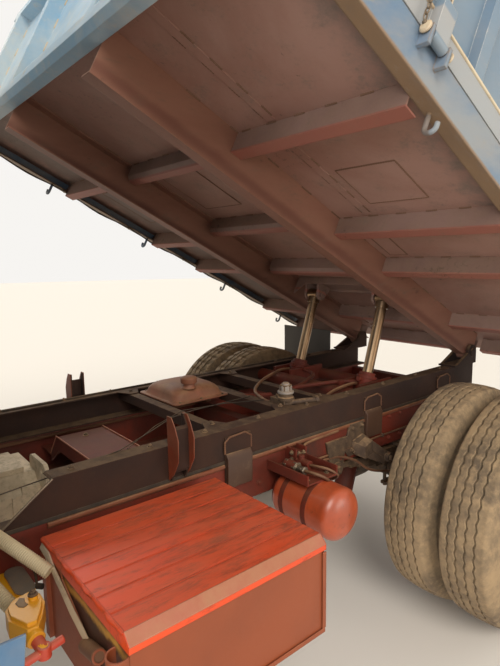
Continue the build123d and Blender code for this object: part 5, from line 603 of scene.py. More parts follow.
CAD_COATS = {
    CHASSIS_RED: ("chassis_rails", "chassis_crossmembers", "air_tank", "lift_cradle", "ram_barrel_left",
                  "ram_barrel_right"), BOX_RED: ("battery_cover",), BOX_SIDE: ("battery_box",),
    SUBFRAME_BROWN: ("subframe_rails", "subframe_bars", "body_guides", "rear_pivots", "oil_tank"),
    BODY_BLUE: ("headboard", "tailgate"), RAIL_BLUE: ("body_side_rails",),
    GATE_BLUE: ("drop_side_left", "drop_side_right"),
    CAB_BLUE: ("cab_shell", "door_left", "door_right"), UNDERBODY: ("body_floor",),
    SILL_RED: ("body_sills",), BEARER_RED: ("body_bearers",), CHROME: ("ram_rod_left", "ram_rod_right"),
    ALLOY_CASE: ("gearbox",), CAST_DARK: ("engine", "rear_axle", "front_axle", "knuckle_left",
                                          "knuckle_right", "leaf_springs", "track_rod",
                                          "propeller_shaft", "control_valve"),
    TYRE_RUBBER: ("rear_tyres_left", "rear_tyres_right", "front_tyre_left", "front_tyre_right"),
    RIM_STEEL: ("rear_rims_left", "rear_rims_right", "front_rim_left", "front_rim_right"),
    EXHAUST: ("exhaust", "fuel_tank"), PLASTIC: ("bumper", "grille", "mirrors", "steering_wheel"),
    TRIM_GREY: ("dashboard",), FLAP_RUBBER: ("mudflaps",), PUMP_YELLOW: ("pump_unit",),
    HOSE_BEIGE: ("battery_hoses",), GLASS: ("cab_glass", "door_glass_left", "door_glass_right"),
    CLEAR_LENS: ("lamps",), SEAT_CLOTH: ("seats",),}


def coat_cad_nodes() -> None:
    """Give every CAD node its finish."""
    for finish, nodes in CAD_COATS.items():
        for name in nodes:
            node = frame["nodes"].get(name)
            if node is None:
                log.warning("no CAD node %s", name)
                continue
            if not node.material_slots:
                node.data.materials.append(None)
            for place in node.material_slots:
                place.material = finish.material()
    bare = sorted(set(frame["nodes"]) - {name for nodes in CAD_COATS.values() for name in nodes})
    if bare:
        log.warning("CAD nodes with no finish: %s", bare)


def put(name: str, data: bpy.types.ID) -> bpy.types.Object:
    """Make an object at the origin and link it to the scene."""
    made = bpy.data.objects.new(name, data)
    bpy.context.scene.collection.objects.link(made)
    return made


def circle(centre: Vector, first: Vector, second: Vector, radius: float, sides: int) -> list[Vector]:
    """Points evenly round a centre, in the plane of two directions."""
    turns = [TURN * step / sides for step in range(sides)]
    return [centre + first * (radius * math.cos(turn)) + second * (radius * math.sin(turn))
            for turn in turns]


class Workpiece:
    """A mesh in the making, in the row frame."""

    def __init__(self) -> None:
        """Start with nothing."""
        self.mesh = bmesh.new()

    def move(self, turn: Matrix) -> "Workpiece":
        """Turn or shift everything that has been added so far."""
        bmesh.ops.transform(self.mesh, matrix=turn, verts=self.mesh.verts)
        return self

    def loop(self, points: list[Vector]) -> list[bmesh.types.BMVert]:
        """Add a ring of points."""
        return [self.mesh.verts.new(point) for point in points]

    def skin(self, rings: list[list[bmesh.types.BMVert]], closed: bool = False,
             caps: bool = True) -> None:
        """Join rings of equal length into a tube.

        Args:
            rings: the rings in order.
            closed: whether the last joins the first.
            caps: whether the open ends get faces.
        """
        count = len(rings[0])
        pairs = list(zip(rings, rings[1:])) + ([(rings[-1], rings[0])] if closed else [])
        for first, second in pairs:
            for step in range(count):
                after = (step + 1) % count
                self.mesh.faces.new((first[step], first[after], second[after], second[step]))
        if caps and not closed:
            self.mesh.faces.new(rings[0][::-1])
            self.mesh.faces.new(rings[-1])

    def loft(self, rings: list[list[Point]]) -> "Workpiece":
        """Join rings of equal length, given as points, into a closed shape."""
        self.skin([self.loop(ring) for ring in rings])
        return self

    def prism(self, outline: list[Point], run: Point) -> "Workpiece":
        """Extrude a flat outline along a direction, over that direction's length."""
        low = [Vector(point) for point in outline]
        self.skin([self.loop(low), self.loop([point + Vector(run) for point in low])])
        return self

    def plate(self, low: Point, high: Point, turn: Matrix | None = None) -> "Workpiece":
        """Add a rectangular plate between two corners, turned afterwards if asked."""
        (x0, y0, z0), (x1, y1, z1) = low, high
        foot = [Vector(p) for p in ((x0, y0, z0), (x1, y0, z0), (x1, y1, z0), (x0, y1, z0))]
        head = [point + Vector((0, 0, z1 - z0)) for point in foot]
        if turn is not None:
            foot, head = [turn @ p for p in foot], [turn @ p for p in head]
        self.skin([self.loop(foot), self.loop(head)])
        return self

    def section(self, side: int, out: float, y: float, rows: list[tuple[float, float]],
                length: float) -> "Workpiece":
        """Extrude an upright outline along the truck, on one of its sides.

        Args:
            side: 1 for the left, -1 for the right.
            out: distance from the middle that the rows count from.
            y: where it starts.
            rows: pairs of distance outward and height.
            length: how far it goes.

        Returns:
            The workpiece.
        """
        return self.prism([(side * (out + x), y, z) for x, z in rows], (0.0, length, 0.0))

    def flank(self, side: int, out: float, rows: list[tuple[float, float]], wall: float) -> "Workpiece":
        """Extrude an outline of y and z outward from an upright face on one side."""
        return self.prism([(side * out, y, z) for y, z in rows], (side * wall, 0.0, 0.0))

    def side_plate(self, side: int, low: Point, high: Point) -> "Workpiece":
        """Add a plate whose x values are counted outward on one side."""
        x0, x1 = sorted((side * low[0], side * high[0]))
        return self.plate((x0, *low[1:]), (x1, *high[1:]))

    def lathe(self, origin: Point, axis: Point, profile: list[tuple[float, float]], sides: int = 24,
              closed: bool = False) -> "Workpiece":
        """Turn a profile about an axis.

        Args:
            origin: a point on the axis.
            axis: its direction.
            profile: pairs of distance along the axis and radius.
            sides: steps around.
            closed: whether the profile closes on itself, as on a ring.

        Returns:
            The workpiece.
        """
        line = Vector(axis).normalized()
        first = line.orthogonal().normalized()
        second = line.cross(first)
        rings = [self.loop(circle(Vector(origin) + line * along, first, second, radius, sides))
                 for along, radius in profile]
        self.skin(rings, closed=closed)
        return self

    def rod(self, start: Point, end: Point, radius: float, sides: int = 16,
            chamfer: float = 0.0) -> "Workpiece":
        """Add a round bar, its ends broken by a chamfer if asked."""
        run = Vector(end) - Vector(start)
        length = run.length
        profile = [(0.0, radius - chamfer), (chamfer, radius), (length - chamfer, radius),
                   (length, radius - chamfer)] if chamfer else [(0.0, radius), (length, radius)]
        return self.lathe(start, tuple(run), profile, sides)

    def pipe(self, route: list[Point], radius: float, sides: int = 10, steps: int = 6) -> "Workpiece":
        """Sweep a round section along a smooth line through points.

        Args:
            route: the points that the line passes.
            radius: the section's radius.
            sides: steps around.
            steps: divisions between two points.

        Returns:
            The workpiece.
        """
        line = smooth_line([Vector(point) for point in route], steps)
        rings, side = [], None
        for index, centre in enumerate(line):
            ahead = (line[min(index + 1, len(line) - 1)] - line[max(index - 1, 0)]).normalized()
            if side is None:
                side = ahead.orthogonal().normalized()
            else:
                side = (side - ahead * side.dot(ahead)).normalized()
            other = ahead.cross(side)
            rings.append(self.loop(circle(centre, side, other, radius, sides)))
        self.skin(rings)
        return self

    def fit(self, name: str, finish: Finish, slot: str, bevel: float = 0.0,
            body: Body = Body.CHASSIS, soft: float = SMOOTH_DEGREES) -> bpy.types.Object:
        """Turn the workpiece into a piece that rides on a body.

        Args:
            name: the piece's name.
            finish: its finish.
            slot: the record's material slot; not used.
            bevel: width of the broken edges.
            body: the CAD body that carries it.
            soft: the largest angle, in degrees, that is shaded smooth.

        Returns:
            The object.
        """
        bmesh.ops.remove_doubles(self.mesh, verts=self.mesh.verts, dist=MERGE_DISTANCE)
        bmesh.ops.recalc_face_normals(self.mesh, faces=self.mesh.faces)
        data = bpy.data.meshes.new(name)
        self.mesh.to_mesh(data)
        self.mesh.free()
        data.materials.append(finish.material())
        piece = put(name, data)
        if bevel:
            edges = piece.modifiers.new("edges", "BEVEL")
            edges.width = bevel
            edges.segments = 2
            edges.limit_method = "ANGLE"
            edges.angle_limit = BEVEL_ANGLE
        data.shade_smooth()
        data.set_sharp_from_angle(angle=math.radians(soft))
        return settle(piece, slot, body)


def smooth_line(points: list[Vector], steps: int) -> list[Vector]:
    """Run a smooth line through points, with a number of divisions between each two."""
    if len(points) < 3:
        return points
    ends = [points[0] * 2 - points[1], *points, points[-1] * 2 - points[-2]]
    line = []
    for before, start, end, after in zip(ends, ends[1:], ends[2:], ends[3:]):
        for step in range(steps):
            t = step / steps
            line.append(0.5 * ((2 * start) + (end - before) * t
                               + (2 * before - 5 * start + 4 * end - after) * t ** 2
                               + (3 * start - before - 3 * end + after) * t ** 3))
    return [*line, points[-1]]


def settle(piece: bpy.types.Object, slot: str, body: Body) -> bpy.types.Object:
    """Let a piece ride on its body and log its face count."""
    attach(piece, body.value)
    log.info("piece %s on %s: %d faces", piece.name, body.value, len(piece.data.polygons))
    return piece


class GeometryTree:
    """A geometry node tree with named inputs, run once and turned into a plain mesh."""

    def __init__(self, name: str, inputs: dict[str, float | int]) -> None:
        """Make the tree with a geometry input, its named sizes and a geometry output."""
        self.tree = bpy.data.node_groups.new(name, "GeometryNodeTree")
        self.sheet = NodeSheet(self.tree)
        face = self.tree.interface
        face.new_socket("Geometry", in_out="INPUT", socket_type="NodeSocketGeometry")
        face.new_socket("Geometry", in_out="OUTPUT", socket_type="NodeSocketGeometry")
        self.names = {}
        for label, value in inputs.items():
            kind = "NodeSocketInt" if isinstance(value, int) else "NodeSocketFloat"
            item = face.new_socket(label, in_out="INPUT", socket_type=kind)
            item.default_value = value
            self.names[label] = item.identifier
        item = face.new_socket("Finish", in_out="INPUT", socket_type="NodeSocketMaterial")
        self.names["Finish"] = item.identifier
        self.start = self.tree.nodes.new("NodeGroupInput")

    def given(self, label: str) -> Wire:
        """One of the tree's inputs."""
        return Wire(self.sheet, self.start.outputs[label])

    def close(self, shape: Wire) -> None:
        """Realize, set the finish and lead to the output."""
        whole = self.sheet.add("GeometryNodeRealizeInstances", None, {"Geometry": shape})
        dressed = self.sheet.add("GeometryNodeSetMaterial", None,
                                 {"Geometry": whole, "Material": self.given("Finish")})
        end = self.tree.nodes.new("NodeGroupOutput")
        self.tree.links.new(dressed.socket, end.inputs["Geometry"])

    def run(self, name: str, base: bpy.types.ID, values: dict, finish: Finish, slot: str,
            body: Body = Body.CHASSIS) -> bpy.types.Object:
        """Run the tree on a mesh or curve.

        Args:
            name: the piece's name.
            base: the mesh or curve data that it starts from.
            values: its named inputs.
            finish: the finish.
            slot: the record's material slot; not used.
            body: the CAD body that carries the piece.

        Returns:
            The piece, as a plain mesh.
        """
        carrier = put(name + "_base", base)
        modifier = carrier.modifiers.new("nodes", "NODES")
        modifier.node_group = self.tree
        for label, value in values.items():
            modifier[self.names[label]] = value
        modifier[self.names["Finish"]] = finish.material()
        carrier.update_tag()
        bpy.context.view_layer.update()
        ready = carrier.evaluated_get(bpy.context.evaluated_depsgraph_get())
        data = bpy.data.meshes.new_from_object(ready)
        bpy.data.objects.remove(carrier)
        data.name = name
        if not data.materials:
            data.materials.append(finish.material())
        data.shade_smooth()
        data.set_sharp_from_angle(angle=math.radians(SMOOTH_DEGREES))
        piece = put(name, data)
        return settle(piece, slot, body)


class Repeat:
    """Shapes from a geometry node tree that is made once and run for each piece."""

    tree: GeometryTree | None = None

    @classmethod
    def build(cls) -> GeometryTree:
        """Make the tree; each kind of repeat has its own."""
        raise NotImplementedError

    @classmethod
    def ready(cls) -> GeometryTree:
        """The tree, made at its first use."""
        if cls.tree is None:
            cls.tree = cls.build()
        return cls.tree


class Bolts(Repeat):
    """Hexagon heads on washers, one at each point of a list."""

    @classmethod
    def build(cls) -> GeometryTree:
        """Make a head, a washer and a stem, and set them on points with a random turn."""
        made = GeometryTree("bolt_heads", {"Head radius": 0.009, "Head height": 0.008, "Seed": 5})
        add = made.sheet.add
        radius, height = made.given("Head radius"), made.given("Head height")
        head = add("GeometryNodeMeshCylinder", {"fill_type": "NGON"},
                   {"Vertices": 6, "Radius": radius, "Depth": height})
        lift = add("ShaderNodeCombineXYZ", None, {"Z": height * 0.7})
        head = add("GeometryNodeTransform", None, {"Geometry": head, "Translation": lift})
        washer = add("GeometryNodeMeshCylinder", {"fill_type": "NGON"},
                     {"Vertices": 14, "Radius": radius * 1.45, "Depth": height * 0.4})
        stem = add("GeometryNodeMeshCylinder", {"fill_type": "NGON"},
                   {"Vertices": 10, "Radius": radius * 0.55, "Depth": height * 0.7})
        rise = add("ShaderNodeCombineXYZ", None, {"Z": height * 1.4})
        stem = add("GeometryNodeTransform", None, {"Geometry": stem, "Translation": rise})
        join = made.tree.nodes.new("GeometryNodeJoinGeometry")
        for part in (head, washer, stem):
            made.tree.links.new(part.socket, join.inputs[0])
        facing = add("GeometryNodeInputNamedAttribute", {"data_type": "FLOAT_VECTOR"},
                     {"Name": "facing"})
        aimed = add("FunctionNodeAlignRotationToVector", {"axis": "Z"}, {"Vector": facing})
        spin = add("FunctionNodeRandomValue", {"data_type": "FLOAT"},
                   {2: 0.0, 3: SWELL_TURN, "Seed": made.given("Seed")}, 1)
        turn = add("FunctionNodeAxisAngleToRotation", None, {"Axis": (0.0, 0.0, 1.0), "Angle": spin})
        placed = add("FunctionNodeRotateRotation", {"rotation_space": "LOCAL"},
                     {"Rotation": aimed, "Rotate By": turn})
        heads = add("GeometryNodeInstanceOnPoints", None,
                    {"Points": made.given("Geometry"), "Instance": Wire(made.sheet, join.outputs[0]),
                     "Rotation": placed})
        made.close(heads)
        return made

    @classmethod
    def place(cls, name: str, spots: list[tuple[Point, Point]], radius: float, finish: Finish,
              slot: str, body: Body = Body.CHASSIS) -> bpy.types.Object:
        """Set bolt heads on a list of points.

        Args:
            name: the piece's name.
            spots: pairs of a point and the direction its head faces.
            radius: radius of the heads.
            finish: their finish.
            slot: the record's material slot; not used.
            body: the CAD body that carries them.

        Returns:
            The piece.
        """
        data = bpy.data.meshes.new(name + "_points")
        data.from_pydata([tuple(point) for point, _ in spots], [], [])
        facing = data.attributes.new("facing", "FLOAT_VECTOR", "POINT")
        for item, (_, way) in zip(facing.data, spots):
            item.vector = tuple(way)
        sizes = {"Head radius": radius, "Head height": radius * 0.8}
        return cls.ready().run(name, data, sizes, finish, slot, body)


class Ribbed(Repeat):
    """A round section along a path whose radius swells in even steps: hoses, and welds as beads."""

    @classmethod
    def build(cls) -> GeometryTree:
        """Sweep a ring whose scale follows a sine of the length."""
        made = GeometryTree("ribbed_run", {"Radius": 0.02, "Swell": 0.12, "Pitch": 0.008, "Sides": 16})
        add = made.sheet.add
        step = made.given("Pitch") * 0.25
        line = add("GeometryNodeResampleCurve", {"mode": "LENGTH"},
                   {"Curve": made.given("Geometry"), "Length": step})
        along = add("GeometryNodeSplineParameter", None, None, "Length")
        wave = (along * SWELL_TURN / made.given("Pitch")).sine() * made.given("Swell") + 1.0
        ring = add("GeometryNodeCurvePrimitiveCircle", {"mode": "RADIUS"},
                   {"Resolution": made.given("Sides"), "Radius": made.given("Radius")})
        skin = add("GeometryNodeCurveToMesh", None,
                   {"Curve": line, "Profile Curve": ring, "Scale": wave, "Fill Caps": True})
        made.close(skin)
        return made

    @classmethod
    def place(cls, name: str, routes: list[list[Vector]], radius: float, swell: float, pitch: float,
              sides: int, finish: Finish, slot: str, body: Body = Body.CHASSIS) -> bpy.types.Object:
        """Run the section along routes.

        Args:
            name: the piece's name.
            routes: lists of points, one list for each run.
            radius: mean radius.
            swell: share by which the radius swells.
            pitch: length of one swell.
            sides: steps around.
            finish: the finish.
            slot: the record's material slot; not used.
            body: the CAD body that carries it.

        Returns:
            The piece.
        """
        curve = bpy.data.curves.new(name + "_path", "CURVE")
        curve.dimensions = "3D"
        for route in routes:
            line = smooth_line([Vector(point) for point in route], 8)
            spline = curve.splines.new("POLY")
            spline.points.add(len(line) - 1)
            for point, place in zip(spline.points, line):
                point.co = (*place, 1.0)
        values = {"Radius": radius, "Swell": swell, "Pitch": pitch, "Sides": sides}
        return cls.ready().run(name, curve, values, finish, slot, body)


@dataclass
class Tyre:
    """A truck tyre whose tread is cut by grooves that run round it."""

    radius: float = 0.51
    half_tread: float = 0.088
    half_section: float = 0.12
    seat_radius: float = 0.256
    half_seat: float = 0.089
    grooves: tuple[float, ...] = (-0.056, -0.019, 0.019, 0.056)
    groove_width: float = 0.009
    groove_depth: float = 0.012
    waves: int = 66
    wave_depth: float = 0.0035
    slots: int = 0
    slot_depth: float = 0.009
    crown_drop: float = 0.008
    groove_taper: float = 0.0016
    straight_x: float = 0.07

    def profile(self) -> list[tuple[float, float, float, float]]:
        """The section from the inner bead round to the outer one.

        Returns:
            Rows of x from the middle, radius, share of the zigzag and depth of the cross slots.
        """
        def crown(x: float) -> float:
            """Radius of the tread's surface."""
            return self.radius - self.crown_drop * (x / self.half_tread) ** 2
        middle = (self.seat_radius + self.radius) / 2 - 0.004
        wall = [(self.half_seat - 0.004, self.seat_radius), (self.half_seat, self.seat_radius + 0.012),
                (self.half_seat + 0.001, self.seat_radius + 0.024), (0.096, 0.3), (0.106, 0.322),
                (0.109, 0.326), (0.1105, 0.327), (0.112, 0.336), (0.1175, 0.358),
                (self.half_section, middle), (0.1185, 0.404), (0.1165, 0.42), (0.1175, 0.424),
                (0.1165, 0.428), (0.113, 0.446), (0.1085, 0.464), (0.106, 0.474), (0.1045, 0.476),
                (0.099, 0.489), (0.0945, 0.4965), (self.half_tread, crown(self.half_tread))]
        half = [(x, r, 0.0, 0.0) for x, r in wall]
        tread = []
        width, depth = self.groove_width / 2, self.groove_depth
        edges = [-self.half_tread, *sum(([g - width, g + width] for g in self.grooves), []),
                 self.half_tread]
        for start, end in zip(edges[::2], edges[1::2]):
            for share in (0.12, 0.5, 0.88):
                x = start + (end - start) * share
                tread.append((x, crown(x), 0.0 if abs(x) > self.straight_x else 1.0, 1.0))
            if end < self.half_tread - MERGE_DISTANCE:
                high, low, far = crown(end), crown(end) - depth, end + 2 * width
                tread += [(end, high, 1.0, 0.0), (end + self.groove_taper, low, 1.0, 0.0),
                          (far - self.groove_taper, low, 1.0, 0.0), (far, high, 1.0, 0.0)]
        left = [(-x, r, z, s) for x, r, z, s in half]
        return [*left, *tread, *half[::-1]]

    def ring(self, work: Workpiece, middle_x: float, axle_y: float) -> None:
        """Add the tyre as a closed ring.

        Args:
            work: the mesh that takes it.
            middle_x: x of its middle.
            axle_y: y of its axle.
        """
        steps = self.waves * 4
        rows = self.profile()
        rings = []
        for step in range(steps):
            angle = TURN * step / steps
            phase = step % 4
            zigzag = (0.0, 1.0, 0.0, -1.0)[phase] * self.wave_depth
            cut = self.slots and (step * self.slots // steps) != ((step + 1) * self.slots // steps)
            ring = []
            for x, radius, share, slot in rows:
                place = radius - (self.slot_depth if cut and slot else 0.0)
                ring.append(Vector((middle_x + x + zigzag * share, axle_y + place * math.cos(angle),
                                    AXLE_Z + place * math.sin(angle))))
            rings.append(work.loop(ring))
        work.skin(rings, closed=True)


class Rubber:
    """All six tyres."""

    dual_x: tuple[float, ...] = (0.7455, 1.0105)
    single_x: tuple[float, ...] = (0.86,)
    ribbed = Tyre()
    blocky = Tyre(grooves=(-0.045, 0.0, 0.045), groove_width=0.013, waves=48, wave_depth=0.008,
                  slots=48)

    def build(self) -> None:
        """Make each wheel's tyres in place of the CAD rings."""
        jobs = (("rear_tyres_left", self.ribbed, self.dual_x, 1, REAR_AXLE_Y, Body.REAR_LEFT),
                ("rear_tyres_right", self.blocky, self.dual_x, -1, REAR_AXLE_Y, Body.REAR_RIGHT),
                ("front_tyre_left", self.ribbed, self.single_x, 1, FRONT_AXLE_Y, Body.FRONT_LEFT),
                ("front_tyre_right", self.ribbed, self.single_x, -1, FRONT_AXLE_Y, Body.FRONT_RIGHT))
        for node, kind, middles, side, axle_y, body in jobs:
            work = Workpiece()
            for middle in middles:
                kind.ring(work, side * middle, axle_y)
            piece = work.fit(node + "_tread", TYRE_RUBBER, "tyre", body=body, soft=32)
            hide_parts(node)


@dataclass
class Underside:
    """Welds, patches, seams and wires under the raised body."""

    outer_reaches: tuple[float, ...] = (2.0, 1.38, 1.0, 0.3, -0.12)
    inner_reaches: tuple[float, ...] = (2.0, 1.48, 1.0, 0.3, -0.12)
    flange: float = 0.05
    hat_width: float = 0.072
    rail_inner_x: float = 1.146
    bead: float = 0.045
    bead_pitch: float = 0.13
    bead_radius: float = 0.0038
    sill_beads: int = 13
    sill_start: float = -0.22
    sill_pitch: float = 0.2
    sill_bead: float = 0.06
    loom_start: float = 2.46
    loom_step: float = 0.225
    loom_points: int = 13

    def beads(self) -> None:
        """Lay short welds where the bearers and the sills meet the floor."""
        routes = []
        low = FLOOR_ABOVE - 0.001
        spans = [(reach, self.flange, min(side * SILL_OUTER_X, side * self.rail_inner_x),
                  self.rail_inner_x - SILL_OUTER_X) for reach in self.outer_reaches for side in SIDES]
        spans += [(reach, self.hat_width, -SILL_INNER_X, 2 * SILL_INNER_X)
                  for reach in self.inner_reaches]
        for reach, width, start, length in spans:
            for edge, shift in ((reach + 0.001, 0.2), (reach - width - 0.001, 0.6)):
                for number in range(int(length / self.bead_pitch)):
                    x = start + (number + shift) * self.bead_pitch
                    routes.append([on_body(x, edge, low), on_body(x + self.bead, edge, low)])
        for side in SIDES:
            for x, shift in ((SILL_OUTER_X + 0.001, 0.0), (SILL_INNER_X - 0.001, 0.1)):
                for number in range(self.sill_beads):
                    reach = self.sill_start + shift + number * self.sill_pitch
                    routes.append([on_body(side * x, reach + run, low)
                                   for run in (0.0, self.sill_bead)])
        Ribbed.place("underside_welds", routes, self.bead_radius, 0.18, 0.008, 6, WELD_METAL,
                     "underbody_rust", body=Body.TIPPER)

    def patches(self) -> None:
        """Lay the floor's lap seams and welded repair plates."""
        seams = ((0.574, 0.612, 1.392, 1.93), (0.6, 0.64, 2.01, 2.515),
                 (-0.64, -0.6, 2.01, 2.515), (-0.62, -0.58, 0.31, 0.93))
        plates = ((0.655, 0.905, 1.47, 1.7), (-0.98, -0.7, 1.52, 1.86), (0.475, 0.566, 1.03, 1.33),
                  (-0.3, -0.02, 1.58, 1.9), (0.06, 0.33, 0.42, 0.6))
        rows = [(*row, 0.003) for row in seams] + [(*row, 0.0022) for row in plates]
        work = Workpiece()
        for x0, x1, low, high, wall in rows:
            work.plate((x0, HINGE_Y - high, HINGE_Z + FLOOR_ABOVE - wall),
                       (x1, HINGE_Y - low, HINGE_Z + FLOOR_ABOVE + 0.001))
        work.move(TIPPED).fit("floor_patches", UNDERBODY, "underbody_rust", 0.001, body=Body.TIPPER)
        routes = []
        face = FLOOR_ABOVE - 0.001
        for x0, x1, low, high in seams:
            for x in (x0, x1):
                routes += [[on_body(x, low + start + number * 0.11, face) for start in (0.02, 0.07)]
                           for number in range(int((high - low) / 0.11))]
        for x0, x1, low, high in plates:
            corners = ((x0, low), (x1, low), (x1, high), (x0, high), (x0, low))
            routes += [[on_body(*a, face), on_body(*b, face)] for a, b in zip(corners, corners[1:])]
        Ribbed.place("patch_welds", routes, 0.003, 0.2, 0.01, 6, WELD_METAL, "underbody_rust",
                     body=Body.TIPPER)

    def end_plates(self) -> None:
        """Close the outer bearers' ends with small gussets on the side rails."""
        work = Workpiece()
        low, high = HINGE_Z + 0.0845, HINGE_Z + FLOOR_ABOVE - 0.001
        for side in SIDES:
            for reach in self.outer_reaches:
                work.section(side, self.rail_inner_x + 0.001, HINGE_Y - reach + 0.001,
                             [(0.0, low), (0.0, high), (0.04, low)], 0.005)
        work.move(TIPPED).fit("bearer_gussets", BEARER_RED, "underbody_rust", 0.0008, body=Body.TIPPER)

    def loom(self) -> None:
        """Run the tail wires along the right side rail, held by clips."""
        work = Workpiece()
        for shift, sag in ((0.0, 0.01), (0.009, 0.016)):
            route = []
            for number in range(self.loom_points):
                reach = self.loom_start - number * self.loom_step
                drop = sag if number % 2 else 0.0
                route.append(tuple(on_body(-1.15 + shift, reach, 0.073 - drop)))
            work.pipe(route, 0.0032, 8, 4)
        work.fit("side_wires", CABLE_BLACK, "black_plastic", body=Body.TIPPER)
        clips = Workpiece()
        for number in range(0, self.loom_points, 2):
            y = HINGE_Y - (self.loom_start - number * self.loom_step)
            clips.plate((-1.158, y - 0.006, HINGE_Z + 0.066), (-1.134, y + 0.006, HINGE_Z + 0.0795))
        clips.move(TIPPED).fit("wire_clips", BRIGHT_STEEL, "cast_dark", 0.001, body=Body.TIPPER)

    def build(self) -> None:
        """Dress the underside."""
        self.beads()
        self.patches()
        self.end_plates()
        self.loom()


@dataclass
class GateTrim:
    """Latches, chains, hinge straps and edge strips of the drop sides, headboard and tailgate."""

    hinge_reaches: tuple[float, ...] = (2.04, 1.08, 0.12)
    pin_x: float = 1.214
    pin_above: float = 0.177
    gate_low: float = 0.193
    gate_high: float = 0.643
    gate_x: float = 1.194
    front_reach: float = 2.517
    rear_reach: float = -0.26
    links: int = 9
    link_steps: int = 12
    link_pitch: float = 0.0165
    link_size: tuple[float, float] = (0.0105, 0.0058)
    wire_radius: float = 0.0021
    wire_turns: tuple[float, ...] = (0.0, 1.257, 2.513, 3.77, 5.027)
    gates: tuple[tuple[int, Body], ...] = ((1, Body.LEFT_GATE), (-1, Body.RIGHT_GATE))

    def straps(self) -> None:
        """Put a pressed strap, two bolts and pin ends on each gate hinge."""
        low, high = HINGE_Z + self.gate_low + 0.086, HINGE_Z + self.gate_low + 0.186
        for side, body in self.gates:
            work = Workpiece()
            for reach in self.hinge_reaches:
                y = HINGE_Y - reach
                work.flank(side, self.gate_x + 0.0005,
                           [(y - 0.026, low), (y + 0.026, low), (y + 0.02, high - 0.02),
                            (y + 0.008, high), (y - 0.008, high), (y - 0.02, high - 0.02)], 0.01)
            name = body.name.lower()
            work.move(TIPPED).fit(f"hinge_straps_{name}", CREAM_EDGE, "body_blue", 0.002, body=body)
            spots = [(TIPPED @ Vector((side * (self.gate_x + 0.01), HINGE_Y - reach, HINGE_Z + above)),
                      outward(side)) for reach in self.hinge_reaches for above in (0.3, 0.345)]
            Bolts.place(f"hinge_bolts_{name}", spots, 0.008, BRIGHT_STEEL, "body_blue", body=body)
        rings = Workpiece()
        profile = [(0.0, 0.0), (0.0, 0.0155), (0.004, 0.0165), (0.008, 0.013), (0.01, 0.0)]
        for side in SIDES:
            for reach in self.hinge_reaches:
                for end in SIDES:
                    centre = (side * self.pin_x, HINGE_Y - reach + end * 0.0525,
                              HINGE_Z + self.pin_above)
                    rings.lathe(centre, (0.0, end, 0.0), profile, 20)
        rings.move(TIPPED).fit("hinge_pin_ends", CREAM_EDGE, "body_blue", body=Body.TIPPER)

    def chain(self) -> None:
        """Hang the latch pin's short chain beside the front hinge."""
        work = Workpiece()
        y, z, count = HINGE_Y - 2.105, HINGE_Z + 0.33, len(self.wire_turns)
        for link in range(self.links):
            centre = Vector((self.gate_x + 0.018, y, z)) + Vector((0.0, 0.0, -self.link_pitch * link))
            ring = []
            for step in range(self.link_steps):
                angle = TURN * step / self.link_steps
                out = self.link_size[1] * math.sin(angle)
                ring.append(centre + Vector((0.0, 0.0, self.link_size[0] * math.cos(angle)))
                            + Vector((out, 0.0, 0.0) if link % 2 else (0.0, out, 0.0)))
            rings = []
            for step, point in enumerate(ring):
                ahead = (ring[(step + 1) % self.link_steps] - ring[step - 1]).normalized()
                side = ahead.orthogonal().normalized()
                other = ahead.cross(side)
                rings.append(work.loop([point + side * (self.wire_radius * math.cos(turn))
                                        + other * (self.wire_radius * math.sin(turn))
                                        for turn in self.wire_turns]))
            for first, second in zip(rings, rings[1:] + rings[:1]):
                offset = min(
                    range(count), key=lambda k: sum((first[i].co - second[(i + k) % count].co).length
                                                    for i in range(count)))
                for i in range(count):
                    after = i + 1
                    work.mesh.faces.new(
                        (first[i], first[after % count], second[(after + offset) % count],
                         second[(i + offset) % count]))
        work.rod((self.gate_x - 0.002, y, z + 0.014), (self.gate_x + 0.026, y, z + 0.014), 0.005, 10)
        work.rod((self.gate_x + 0.018, y, HINGE_Z + 0.186),
                 (self.gate_x + 0.018, y + 0.03, HINGE_Z + 0.18), 0.006, 10, 0.001)
        work.move(TIPPED).fit("latch_chain", BRIGHT_STEEL, "body_blue", body=Body.LEFT_GATE)

    def edges(self) -> None:
        """Cap the gates' channels with rolled edges."""
        strips = ((self.gate_low + 0.062, 0.01, 0.0045), (self.gate_high - 0.076, 0.008, 0.004),
                  (self.gate_high - 0.01, 0.012, 0.005))
        for side, body in self.gates:
            work = Workpiece()
            for above, height, proud in strips:
                low = HINGE_Z + above
                work.section(side, self.gate_x, HINGE_Y - self.front_reach,
                             [(-0.001, low), (proud, low + 0.002), (proud, low + height - 0.002),
                              (-0.001, low + height)], self.front_reach - self.rear_reach)
            work.move(TIPPED).fit(f"gate_edges_{body.name.lower()}", CREAM_EDGE, "body_blue", 0.001,
                                  body=body)

    def latches(self) -> None:
        """Hang the drop sides' end latches on the rear posts and headboard ends."""
        work = Workpiece()
        for side in SIDES:
            for y, out in ((HINGE_Y + 0.288, 1), (HINGE_Y - 2.523, -1)):
                x, z = side * 1.2125, HINGE_Z + 0.42
                work.side_plate(side, (1.1965, y - 0.022, z - 0.05), (1.2085, y + 0.022, z + 0.05))
                work.rod((x, y, z - 0.03), (x, y, z + 0.07), 0.0075, 12, 0.001)
                work.rod((x, y, z + 0.06), (x, y - out * 0.06, z + 0.06), 0.006, 12, 0.001)
        work.move(TIPPED).fit("corner_latches", BRIGHT_STEEL, "body_blue", 0.0008, body=Body.TIPPER)

